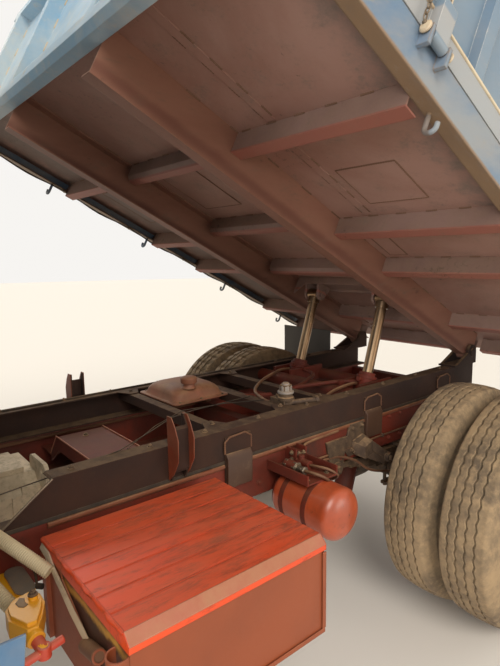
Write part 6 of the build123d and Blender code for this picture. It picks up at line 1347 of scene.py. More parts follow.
    def headboard(self) -> None:
        """Weld the headboard's ribs."""
        routes = [
            [on_body(x + side * 0.031, 2.531, 0.215 + number * 0.115 + rise) for rise in (0.0, 0.045)]
            for x in (-1.11, -0.402, 0.402, 1.11) for side in SIDES for number in range(5)]
        Ribbed.place("headboard_welds", routes, 0.004, 0.18, 0.008, 6, CREAM_EDGE, "body_blue",
                     body=Body.TIPPER)

    def tailgate(self) -> None:
        """Put lower latches with their hooks on the tailgate."""
        work = Workpiece()
        for side in SIDES:
            x, y, z = side * 0.9, HINGE_Y + 0.318, HINGE_Z
            work.plate((x - 0.04, y, z + 0.15), (x + 0.04, y + 0.01, z + 0.205))
            work.lathe((x - 0.03, y + 0.02, z + 0.178), LEFTWARD,
                       [(0.0, 0.0), (0.0, 0.011), (0.06, 0.011), (0.06, 0.0)], 16)
            hook = ((0.012, 0.19), (0.034, 0.186), (0.03, 0.12), (0.006, 0.112), (0.006, 0.124),
                    (0.018, 0.13))
            work.prism([(x - 0.008, y + back, z + above) for back, above in hook], (0.016, 0.0, 0.0))
        work.move(TIPPED).fit("tailgate_latches", BRIGHT_STEEL, "body_blue", 0.001, body=Body.TAILGATE)

    def build(self) -> None:
        """Dress the sides and ends of the body."""
        self.straps()
        self.chain()
        self.edges()
        self.latches()
        self.headboard()
        self.tailgate()


@dataclass
class SubframeTrim:
    """Strap welds, bolts, packing, pipes and wires of the subframe."""

    straps: tuple[float, ...] = (0.224, 1.057, 1.697)
    strap_half: float = 0.064
    front_y: float = -0.472
    foot_y: float = -0.63
    rear_y: float = 2.036

    def strap_welds(self) -> None:
        """Weld each strap pad to the subframe and hang its folded plate over the rail."""
        routes, plates, half = [], Workpiece(), self.strap_half
        fold = [(0.0, 0.906), (0.01, 0.904), (0.022, 0.884), (0.019, 0.77), (0.0, 0.766)]
        for side in SIDES:
            x = side * (RAIL_X + 0.0075)
            for y in self.straps:
                line = [(y - half, 0.905), (y - half, 0.95), (y - half + 0.022, 0.966),
                        (y + half - 0.03, 0.972), (y + half, 0.952), (y + half, 0.905)]
                routes += [[Vector((x, *a)), Vector((x, *b))] for a, b in zip(line, line[1:])]
                plates.section(side, RAIL_X, y - half + 0.004, fold, 2 * half - 0.008)
        plates.fit("strap_plates", STRAP_BROWN, "subframe_brown", 0.002)
        Ribbed.place("strap_welds", routes, 0.0036, 0.2, 0.008, 7, PIPE_BROWN, "subframe_brown")

    def packing(self) -> None:
        """Lay the packing strip between the frames, with the worn lip under it."""
        dark, lip, edge = Workpiece(), Workpiece(), Workpiece()
        z = RAIL_TOP_Z
        worn = [(-0.001, z - 0.0065), (0.009, z - 0.0075), (0.0095, z - 0.017), (0.003, z - 0.026),
                (-0.001, z - 0.027)]
        for side in SIDES:
            dark.side_plate(side, (RAIL_X - 0.002, self.foot_y + 0.01, z - 0.006),
                            (RAIL_X + 0.0026, self.rear_y - 0.005, z + 0.006))
            for start, end in ((-0.5, 0.16), (0.288, 0.993), (1.121, 1.633), (1.761, 2.02)):
                lip.section(side, RAIL_X, start, worn, end - start)
            x = side * (RAIL_X - 0.002)
            edge.pipe([(x, self.foot_y, z + 0.008), (x, self.front_y - 0.002, SUB_TOP_Z - 0.004)],
                      0.004, 8, 1)
        dark.fit("packing_strips", CABLE_BLACK, "black_plastic")
        lip.fit("worn_lips", WORN_LIP, "subframe_brown", 0.002)
        edge.fit("slope_edges", BRIGHT_STEEL, "subframe_brown")

    def gussets(self) -> None:
        """Lay corner plates over the cross bars' ends and bolt the subframe."""
        bars, z = (0.154, 0.519, 0.769), 0.9905
        work = Workpiece()
        for side in SIDES:
            for y in bars:
                x, inner = side * 0.367, side * 0.3
                work.prism([(x, y - 0.03, z), (x, y + 0.075, z), (inner, y + 0.044, z),
                            (inner, y + 0.002, z)], (0.0, 0.0, 0.005))
        work.fit("bar_gussets", SUBFRAME_BROWN, "subframe_brown", 0.001)
        spots = [((side * 0.34, y + 0.022, z + 0.005), UP) for side in SIDES for y in bars]
        spots += [((side * 0.401, y, SUB_TOP_Z), UP) for side in SIDES
                  for y in (-0.405, -0.13, 0.1, 0.36, 0.64, 0.91, 1.19, 1.48, 1.72)]
        Bolts.place("subframe_bolts", spots, 0.008, CAST_DARK, "cast_dark")

    def pipes(self) -> None:
        """Run the rams' pipes from the valve and the oil tank, and the wires laid over them."""
        brown, red, wires = Workpiece(), Workpiece(), Workpiece()
        brown.pipe(
            [(0.366, 0.596, 0.976), (0.384, 0.64, 0.962), (0.352, 0.76, 0.956), (0.3, 0.9, 0.978),
             (0.276, 1.03, 0.986), (0.262, 1.12, 0.984), (0.252, 1.166, 0.976)], 0.008)
        brown.pipe(
            [(0.224, 0.596, 0.976), (0.15, 0.604, 0.978), (0.03, 0.66, 0.985), (-0.08, 0.8, 0.992),
             (-0.18, 0.98, 0.99), (-0.236, 1.09, 0.984), (-0.248, 1.166, 0.976)], 0.008)
        red.pipe([(-0.1, 0.47, 0.96), (-0.06, 0.6, 0.95), (0.02, 0.76, 0.944), (0.045, 0.922, 0.958),
                  (0.0, 1.06, 0.966), (-0.071, 1.18, 0.972), (-0.2, 1.215, 0.975),
                  (-0.232, 1.205, 0.975)], 0.011, 12, 6)
        red.pipe([(0.045, 0.922, 0.958), (0.12, 1.02, 0.974), (0.18, 1.14, 0.978),
                  (0.232, 1.205, 0.975)], 0.011, 12, 6)
        wires.pipe([(0.366, -0.608, 0.96), (0.37, -0.226, 1.0), (0.18, 0.093, 1.002),
                    (0.14, 0.33, 0.998), (0.122, 0.551, 0.994)], 0.002, 6, 2)
        wires.pipe([(0.372, -0.2, 0.999), (0.12, 0.18, 1.0), (0.21, 0.56, 0.994)], 0.0018, 6, 2)
        wires.pipe([(-0.402, -0.56, 0.9995), (-0.398, -0.2, 1.0), (-0.405, 0.2, 1.0),
                    (-0.396, 0.6, 1.0), (-0.404, 1.0, 1.0), (-0.398, 1.5, 1.0)], 0.004, 8, 6)
        brown.fit("valve_pipes", PIPE_BROWN, "chassis_red")
        red.fit("return_pipes", CHASSIS_RED, "chassis_red")
        wires.fit("laid_wires", CABLE_BLACK, "black_plastic")

    def valve(self) -> None:
        """Turn the control valve's body, unions and pale cap."""
        body, cap = Workpiece(), Workpiece()
        body.lathe((0.318, 0.594, 0.975), UP,
                   [(0.0, 0.0), (0.0, 0.04), (0.012, 0.04), (0.016, 0.033), (0.03, 0.033),
                    (0.034, 0.037), (0.048, 0.037), (0.052, 0.031), (0.066, 0.031), (0.068, 0.0)], 36)
        for x, way in ((0.224, -1), (0.366, 1)):
            body.lathe((x - way * 0.01, 0.596, 0.976), (float(way), 0.0, 0.0),
                       [(0.0, 0.0), (0.0, 0.017), (0.012, 0.017), (0.014, 0.013), (0.022, 0.012),
                        (0.022, 0.0)], 6)
        body.pipe([(0.34, 0.596, 1.0), (0.372, 0.64, 1.006), (0.392, 0.7, 1.006)], 0.012, 14, 5)
        body.rod((0.392, 0.7, 1.006), (0.398, 0.718, 1.006), 0.017, 6, 0.002)
        body.fit("valve_body", CAST_DARK, "cast_dark", 0.0008)
        cap.lathe((0.318, 0.594, 1.04), UP, [(0.0, 0.0), (0.0, 0.034), (0.002, 0.0365), (0.01, 0.0365),
                                             (0.013, 0.031), (0.013, 0.0)], 40)
        cap.lathe((0.318, 0.594, 1.05), UP,
                  [(0.0, 0.0), (0.0, 0.0285), (0.022, 0.0285), (0.027, 0.024), (0.027, 0.0)], 6)
        cap.lathe((0.318, 0.594, 1.075), UP,
                  [(0.0, 0.0), (0.0, 0.018), (0.01, 0.017), (0.014, 0.011), (0.015, 0.0)], 28)
        cap.fit("valve_cap", PALE_CAP, "cast_alloy", 0.001)

    def oil_tank(self) -> None:
        """Press the oil tank's rounded dome over its flange, in place of the plain one."""
        tank = Workpiece()
        x0, x1, y0, y1 = -0.31, 0.02, 0.204, 0.509
        sections = [(0.99, 0.0, 0.022), (0.9965, 0.0, 0.022), (0.9975, 0.014, 0.03),
                    (1.004, 0.02, 0.036), (1.022, 0.024, 0.046), (1.036, 0.032, 0.056),
                    (1.046, 0.046, 0.064), (1.0515, 0.066, 0.068), (1.053, 0.095, 0.052)]
        rings = []
        for z, inset, radius in sections:
            points = []
            for corner in range(4):
                cx = (x1 - inset - radius) if corner in (0, 3) else (x0 + inset + radius)
                cy = (y1 - inset - radius) if corner in (0, 1) else (y0 + inset + radius)
                for step in range(9):
                    angle = math.pi / 2 * (corner + step / 8)
                    points.append(
                        Vector((cx + radius * math.cos(angle), cy + radius * math.sin(angle), z)))
            rings.append(tank.loop(points))
        tank.skin(rings)
        tank.lathe((-0.03, 0.314, 1.048), UP,
                   [(0.0, 0.0), (0.0, 0.034), (0.004, 0.03), (0.014, 0.026), (0.022, 0.026),
                    (0.024, 0.036), (0.03, 0.038), (0.046, 0.038), (0.051, 0.034), (0.054, 0.024),
                    (0.055, 0.0)], 40)
        piece = tank.fit("oil_tank_shell", TANK_RUST, "chassis_red")
        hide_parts("oil_tank")
        spots = [((x, y, 0.9965), UP) for x in (-0.3, 0.01) for y in (0.24, 0.355, 0.475)]
        Bolts.place("oil_tank_bolts", spots, 0.005, CAST_DARK, "cast_dark")

    def guides(self) -> None:
        """Flare the body guides with a cheek at both ends."""
        work = Workpiece()
        profile = [(0.0, 0.868), (0.037, 0.905), (0.066, 0.955), (0.07, 1.03), (0.05, 1.075),
                   (0.03, 1.104), (0.0, 1.104)]
        for side in SIDES:
            for end in SIDES:
                work.section(side, RAIL_X, -0.047 + end * 0.03, profile, end * 0.0035)
        work.fit("guide_cheeks", GUIDE_RED, "chassis_red", 0.001)

    def build(self) -> None:
        """Dress the subframe."""
        self.strap_welds()
        self.packing()
        self.gussets()
        self.pipes()
        self.valve()
        self.oil_tank()
        self.guides()


@dataclass
class FrameTrim:
    """Bolts, brackets, brake pipes and the arch of the chassis frame."""

    covered: tuple[float, float] = (-0.6, 0.3)

    def bolts(self) -> None:
        """Bolt the rails' webs, but not where the left one is covered by the side equipment."""
        rows = [(y, z) for y in (-1.05, -0.9) for z in (0.725, 0.835)] + [(-0.33, 0.73), (-0.33, 0.83)]
        rows += [(0.332, 0.742), (0.512, 0.826), (0.82, 0.712)]
        rows += [(y, z) for y in (1.2, 1.29) for z in (0.725, 0.835)]
        rows += [(1.54, 0.735), (1.54, 0.825)] + [(y, z) for y in (1.85, 1.96) for z in (0.735, 0.825)]
        spots = [((side * RAIL_X, y, z), outward(side)) for side in SIDES for y, z in rows
                 if side < 0 or not self.covered[0] <= y <= self.covered[1]]
        Bolts.place("frame_bolts", spots, 0.0095, CHASSIS_RED, "chassis_red")

    def plates(self) -> None:
        """Cast the front hangers of the rear springs, with their arms and pins, on bolted plates."""
        plates, arms = Workpiece(), Workpiece()
        for side in SIDES:
            plates.flank(side, RAIL_X, [(0.885, 0.862), (0.985, 0.862), (0.99, 0.795), (0.96, 0.715),
                                        (0.88, 0.705), (0.845, 0.745)], 0.01)
            for lift in (0.0, 0.058):
                arms.prism(
                    [(side * (RAIL_X + out), y, z - lift * share)
                     for out, y, z, share in ((0.006, 0.9, 0.78, 1.0), (0.006, 0.972, 0.8, 1.0),
                                              (0.052, 1.105, 0.69, 0.6), (0.046, 1.09, 0.662, 0.6))],
                    (side * 0.012, 0.0, 0.0))
            arms.prism([(side * (RAIL_X + 0.008), y, z)
                        for y, z in ((0.9, 0.775), (0.96, 0.796), (0.96, 0.73), (0.905, 0.715))],
                       (side * 0.04, 0.05, -0.03))
            for start, end, radius, sides, chamfer in ((0.028, 0.078, 0.024, 28, 0.003),
                                                       (0.07, 0.09, 0.014, 6, 0.002)):
                arms.rod((side * (RAIL_X + start), 1.112, 0.662), (side * (RAIL_X + end), 1.112, 0.662),
                         radius, sides, chamfer)
        plates.fit("hanger_plates", CAST_DARK, "cast_dark", 0.002)
        arms.fit("hanger_arms", CAST_DARK, "cast_dark", 0.003)
        spots = [((side * (RAIL_X + 0.01), y, z), outward(side)) for side in SIDES
                 for y, z in ((0.898, 0.842), (0.968, 0.842), (0.898, 0.735), (0.95, 0.742))]
        Bolts.place("hanger_bolts", spots, 0.009, CAST_DARK, "cast_dark")

    def brake_lines(self) -> None:
        """Clip the brake pipes along the rails and down to the axle."""
        pipes = Workpiece()
        pipes.pipe(
            [(0.447, 0.56, 0.77), (0.4415, 0.64, 0.752), (0.4405, 0.9, 0.748), (0.4405, 1.14, 0.75),
             (0.44, 1.4, 0.748), (0.4395, 1.7, 0.75), (0.4395, 1.95, 0.752)], 0.005, 8, 6)
        pipes.pipe([(0.4405, 0.6, 0.735), (0.444, 0.78, 0.73), (0.47, 0.88, 0.7), (0.5, 0.96, 0.64),
                    (0.52, 1.06, 0.61), (0.524, 1.2, 0.584), (0.5, 1.32, 0.57)], 0.006, 8, 6)
        pipes.pipe([(-0.4405, -0.4, 0.75), (-0.4405, 0.2, 0.752), (-0.4405, 0.9, 0.748),
                    (-0.4405, 1.6, 0.752), (-0.4405, 1.95, 0.75)], 0.005, 8, 4)
        pipes.pipe([(-0.418, -0.62, 0.842), (-0.414, -0.2, 0.8425), (-0.418, 0.223, 0.842),
                    (-0.414, 0.7, 0.842)], 0.01)
        pipes.fit("brake_pipes", PIPE_BROWN, "cast_dark")
        clips = Workpiece()
        for side in SIDES:
            for y in (0.64, 1.14, 1.4, 1.7, 1.94):
                clips.side_plate(
                    side, (RAIL_X - 0.001, y - 0.007, 0.741), (RAIL_X + 0.0125, y + 0.007, 0.759))
        clips.fit("pipe_clips", CAST_DARK, "cast_dark", 0.002)

    def arch(self) -> None:
        """Bolt the red arch and lay its worn edges."""
        middle = -0.131
        spots = [((x, middle + shift, 0.796), UP) for x in (-0.36, 0.36) for shift in (-0.07, 0.07)]
        spots += [((x, middle, 0.892), UP) for x in (-0.16, 0.16)]
        Bolts.place("arch_bolts", spots, 0.009, CAST_DARK, "cast_dark")
        work = Workpiece()
        hump = ((-0.302, 0.797), (-0.222, 0.893), (0.222, 0.893), (0.302, 0.797), (0.302, 0.803),
                (0.224, 0.8985), (-0.224, 0.8985), (-0.302, 0.803))
        for shift in (-0.1068, 0.1023):
            work.prism([(x, middle + shift, z) for x, z in hump], (0.0, 0.0045, 0.0))
        work.fit("arch_edges", WORN_PINK, "chassis_red", 0.001)

    def build(self) -> None:
        """Dress the frame."""
        self.bolts()
        self.plates()
        self.brake_lines()
        self.arch()


@dataclass
class SideEquipment:
    """Battery box and cover, hoses, pump unit and air tank on the left rail."""

    box_x: tuple[float, float] = (0.505, 1.032)
    box_y: tuple[float, float] = (-0.538, 0.067)
    box_z: tuple[float, float] = (0.571, 0.862)
    bevel: float = 0.022
    hose_radius: float = 0.018
    hose_collar: float = 0.0215
    routes: tuple[tuple[Point, ...], ...] = (
        ((0.173, -0.696, 0.825), (0.33, -0.679, 0.897), (0.462, -0.655, 0.897), (0.601, -0.554, 0.808)),
        ((0.173, -0.813, 0.825), (0.33, -0.791, 0.897), (0.462, -0.747, 0.897), (0.641, -0.664, 0.78)))

    def cover(self) -> None:
        """Lay the worn bevel strip, front lip, torn rim, a sheet of painted shade inside, pipe stub and
        hinges.
        """
        (x0, x1), (y0, y1), z = self.box_x, self.box_y, self.box_z[1]
        strip = Workpiece().section(1, x1, y0 + 0.002,
                                    [(-self.bevel - 0.004, z - 0.0005), (-self.bevel, z + 0.0012),
                                     (0.0012, z - self.bevel), (-0.0008, z - self.bevel - 0.004)],
                                    y1 - y0 - 0.004)
        strip.fit("cover_bevel_strip", WORN_PINK, "box_red", 0.0006)
        rings, steps = [], 60
        for step in range(steps + 1):
            share = step / steps
            along = x0 + 0.001 + share * (x1 - self.bevel - x0 - 0.004)
            wave = 0.0016 * math.sin(share * 23.0) + 0.0012 * math.sin(share * 51.0 + 1.0)
            drop = z - 0.007 - 0.002 * math.sin(share * 17.0)
            rings.append([(along, y0 - 0.0045 - wave, drop), (along, y0 - 0.003 - wave, z - 0.002),
                          (along, y0 + 0.004, z + 0.0014), (along, y0 + 0.004, drop)])
        Workpiece().loft(rings).fit("cover_front_lip", BOX_RED, "box_red")
        torn = []
        for along, high, low in ((0.508, 0.848, 0.82), (0.56, 0.842, 0.8), (0.6, 0.812, 0.774),
                                 (0.66, 0.786, 0.756), (0.72, 0.76, 0.734), (0.78, 0.742, 0.716),
                                 (0.83, 0.722, 0.7)):
            wave = 0.002 * math.sin(along * 90.0)
            torn.append([(along, y0 - 0.003 - wave, low), (along, y0 - 0.0075 - wave, (low + high) / 2),
                         (along, y0 - 0.0035 + wave, high), (along, y0 + 0.001, high),
                         (along, y0 + 0.001, low)])
        Workpiece().loft(torn).fit("torn_front_rim", CREAM_EDGE, "box_red")
        # A dark sheet just inside the box's opening paints the shade in its cavity, with painted light
        # in bands at its top.
        inner = Workpiece().plate((x0 + 0.008, y0 + 0.01, self.box_z[0] + 0.05),
                                  (x1 - 0.01, y0 + 0.013, z - 0.012))
        inner.fit("box_inner_sheet", BOX_CAVITY_SHADE, "box_red")
        stub = Workpiece().pipe([(0.801, -0.542, 0.707), (0.85, -0.546, 0.726),
                                 (0.905, -0.5515, 0.7475)], 0.0182, 28, 3)
        stub.fit("pipe_stub_cover", PIPE_BROWN, "cast_dark", 0.001)
        fittings = Workpiece()
        for y in (y0 + 0.11, y1 - 0.11):
            fittings.plate((x0 - 0.0045, y - 0.035, z - 0.085), (x0 + 0.001, y + 0.035, z - 0.02))
            fittings.rod((x0 - 0.006, y - 0.037, z - 0.041), (x0 - 0.006, y + 0.037, z - 0.041), 0.006,
                         12, 0.001)
        fittings.fit("cover_fittings", BOX_RED, "box_red", 0.001)

    def box(self) -> None:
        """Fold the box's seams."""
        x, (y0, y1), z = self.box_x[1], self.box_y, self.box_z[0]
        seams = Workpiece()
        seams.plate((x - 0.001, y0 + 0.004, z + 0.001), (x + 0.0024, y1 - 0.004, z + 0.014))
        seams.plate((x - 0.001, y1 - 0.014, z + 0.014), (x + 0.0024, y1 - 0.001, 0.818))
        seams.fit("box_seams", BOX_SIDE, "box_red", 0.001)

    def hoses(self) -> None:
        """Run the ribbed hoses in place of the plain ones, with the collar on one of them."""
        curve = bpy.data.curves.new("battery_hose_path", "CURVE")
        curve.dimensions = "3D"
        for route in self.routes:
            spline = curve.splines.new("NURBS")
            spline.points.add(len(route) - 1)
            for point, place in zip(spline.points, route):
                point.co = (*place, 1.0)
            spline.order_u = 3
            spline.use_endpoint_u = True
            spline.resolution_u = 24
        values = {"Radius": self.hose_radius, "Swell": 0.085, "Pitch": 0.0062, "Sides": 22}
        piece = Ribbed.ready().run("ribbed_hoses", curve, values, HOSE_BEIGE, "hose_beige")
        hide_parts("battery_hoses")
        rings = Workpiece()
        route = self.routes[1]
        start, end = Vector(route[2]), Vector(route[3])
        base, share = Vector(route[1]).lerp(start, 0.5), 0.76
        centre = base * (1 - share) ** 2 + start * (2 * share * (1 - share)) + end * share ** 2
        way = ((start - base) * (1 - share) + (end - start) * share).normalized()
        rings.lathe(tuple(centre), tuple(way),
                    [(0.0, self.hose_radius - 0.002), (0.001, self.hose_collar),
                     (0.0055, self.hose_collar + 0.001), (0.01, self.hose_collar),
                     (0.011, self.hose_radius - 0.002)], 30, closed=True)
        rings.fit("hose_ring", HOSE_BEIGE, "hose_beige", 0.0005)

    def pump(self) -> None:
        """Dress the pump unit: bolt, bared patch, red tee handle, lug plate and cable plug."""
        Bolts.place("pump_bolts", [((0.69, -0.624, 0.822), UP)], 0.0085, CAST_DARK, "cast_dark")
        patch = Workpiece().prism([(x, y, 0.8105)
                                   for x, y in ((0.668, -0.65), (0.676, -0.64), (0.692, -0.644),
                                                (0.706, -0.64), (0.712, -0.652), (0.702, -0.662),
                                                (0.684, -0.664))], (0.0, 0.0, 0.0016))
        patch.fit("pump_patch", BRIGHT_STEEL, "cast_alloy", 0.0005)
        tee = Workpiece()
        tee.rod((0.831, -0.694, 0.7593), (0.8245, -0.6, 0.7707), 0.01, 20, 0.002)
        tee.rod((0.796, -0.6515, 0.7745), (0.828, -0.646, 0.765), 0.0148, 20, 0.001)
        tee.lathe((0.827, -0.646, 0.7495), UP,
                  [(0.0, 0.0), (0.0, 0.0152), (0.002, 0.016), (0.027, 0.016), (0.029, 0.0152),
                   (0.029, 0.009), (0.025, 0.008), (0.025, 0.0)], 24)
        tee.fit("tee_handle", HANDLE_RED, "pump_yellow", 0.0008)
        points, radius = [], 0.027
        for x, start in ((0.562, -math.pi / 2), (0.464, math.pi / 2)):
            for step in range(9):
                angle = start + math.pi * step / 8
                points.append((x + radius * math.cos(angle), -0.608 + radius * math.sin(angle), 0.7625))
        lug = Workpiece().prism(points, (0.0, 0.0, 0.0032))
        lug.fit("lug_plate", TRIM_GREY, "cast_alloy", 0.0008)
        plug = Workpiece()
        plug.rod((0.59, -0.585, 0.776), (0.606, -0.575, 0.778), 0.008, 12, 0.001)
        plug.pipe([(0.59, -0.585, 0.776), (0.54, -0.575, 0.79), (0.48, -0.585, 0.815),
                   (0.441, -0.6, 0.85)], 0.0035, 8, 6)
        plug.fit("cable_plug", CABLE_BLACK, "black_plastic")

    def air_tank(self) -> None:
        """Dress the air tank: domed shell, drain, unions, pipes and shelf bolts."""
        y, z = 0.459, 0.682
        shell = Workpiece()
        profile = [(0.0, 0.0)] + [(0.048 * (1 - math.cos(a)), 0.1022 * math.sin(a)) for a in
                                  (math.pi / 2 * step / 12 for step in range(1, 13))]
        profile += [(0.336 - below, radius) for below, radius in reversed(profile)]
        shell.lathe((0.4505, y, z), LEFTWARD, profile, 72)
        shell.fit("tank_shell", TANK_RED, "chassis_red")
        fittings = Workpiece()
        fittings.lathe(
            (0.64, y, z - 0.099), (0.0, 0.0, -1.0),
            [(0.0, 0.0), (0.0, 0.014), (0.01, 0.014), (0.012, 0.008), (0.024, 0.008), (0.024, 0.0)], 6)
        union, (y, z) = [(-0.008, 0.0), (-0.008, 0.0235), (0.01, 0.0245), (0.01, 0.0)], (0.429, 0.812)
        for x in (0.5, 0.548):
            fittings.lathe((x, y, z), LEFTWARD, union, 6)
        fittings.rod((0.553, y, z), (0.586, y, z), 0.014, 18, 0.002)
        fittings.rod((0.586, y, z), (0.6, y, z), 0.018, 6, 0.002)
        fittings.fit("tank_unions", BRIGHT_STEEL, "cast_alloy", 0.0006)
        pipes = Workpiece()
        pipes.pipe([(0.6, 0.429, 0.812), (0.64, 0.432, 0.815), (0.668, 0.452, 0.806),
                    (0.672, 0.48, 0.784), (0.65, 0.5, 0.772)], 0.007)
        pipes.pipe(
            [(0.563, 0.493, 0.808), (0.6, 0.498, 0.812), (0.64, 0.52, 0.806), (0.66, 0.548, 0.78),
             (0.6, 0.566, 0.74), (0.5, 0.58, 0.722), (0.446, 0.6, 0.735)], 0.006)
        pipes.pipe([(0.473, 0.493, 0.808), (0.462, 0.56, 0.83), (0.4475, 0.6, 0.845),
                    (0.4445, 0.8, 0.85)], 0.006)
        pipes.fit("tank_pipes", PIPE_BROWN, "cast_dark")
        spots = [((0.476, 0.4765, height), (0.0, -1.0, 0.0)) for height in (0.812, 0.84)]
        spots += [((x, y, 0.792), UP) for x, y in ((0.47, 0.4065), (0.63, 0.4065), (0.63, 0.5165))]
        spots += [((0.499, y, 0.8365), UP) for y in (0.495, 0.521)]
        Bolts.place("shelf_bolts", spots, 0.0075, CAST_DARK, "cast_dark")

    def build(self) -> None:
        """Dress the left side's equipment."""
        self.cover()
        self.box()
        self.hoses()
        self.pump()
        self.air_tank()


@dataclass
class WheelTrim:
    """Nuts, valves and hub bolts of the wheels."""

    rear_face: float = 0.887
    front_face: float = 0.9925
    nut_ring: float = 0.15
    nut_count: int = 10
    hub_ring: float = 0.058
    hub_face: float = 0.948

    def ring(self, side: int, face: float, axle_y: float, radius: float, count: int) -> list:
        """Spots evenly round a wheel's axis, facing outward."""
        turns = [TURN * (number + 0.5) / count for number in range(count)]
        return [((side * face, axle_y + radius * math.cos(turn), AXLE_Z + radius * math.sin(turn)),
                 outward(side)) for turn in turns]

    def build(self) -> None:
        """Dress all four hubs."""
        table = ((Body.REAR_LEFT, 1, REAR_AXLE_Y, self.rear_face),
                 (Body.REAR_RIGHT, -1, REAR_AXLE_Y, self.rear_face),
                 (Body.FRONT_LEFT, 1, FRONT_AXLE_Y, self.front_face),
                 (Body.FRONT_RIGHT, -1, FRONT_AXLE_Y, self.front_face))
        for body, side, axle_y, face in table:
            spots = self.ring(side, face, axle_y, self.nut_ring, self.nut_count)
            Bolts.place(f"wheel_nuts_{body.value}", spots, 0.016, CAST_DARK, "rim", body=body)
            if body in (Body.REAR_LEFT, Body.REAR_RIGHT):
                spots = self.ring(side, self.hub_face, axle_y, self.hub_ring + 0.01, 8)
                Bolts.place(f"hub_bolts_{body.value}", spots, 0.0075, CAST_DARK, "rim", body=body)
            valve = Workpiece()
            valve.pipe([(side * (face - 0.006), axle_y + 0.222, AXLE_Z + 0.03),
                        (side * (face + 0.015), axle_y + 0.22, AXLE_Z + 0.03),
                        (side * (face + 0.05), axle_y + 0.205, AXLE_Z + 0.028)], 0.005, 10, 4)
            valve.fit(f"valve_stem_{body.value}", CABLE_BLACK, "rim", body=body)


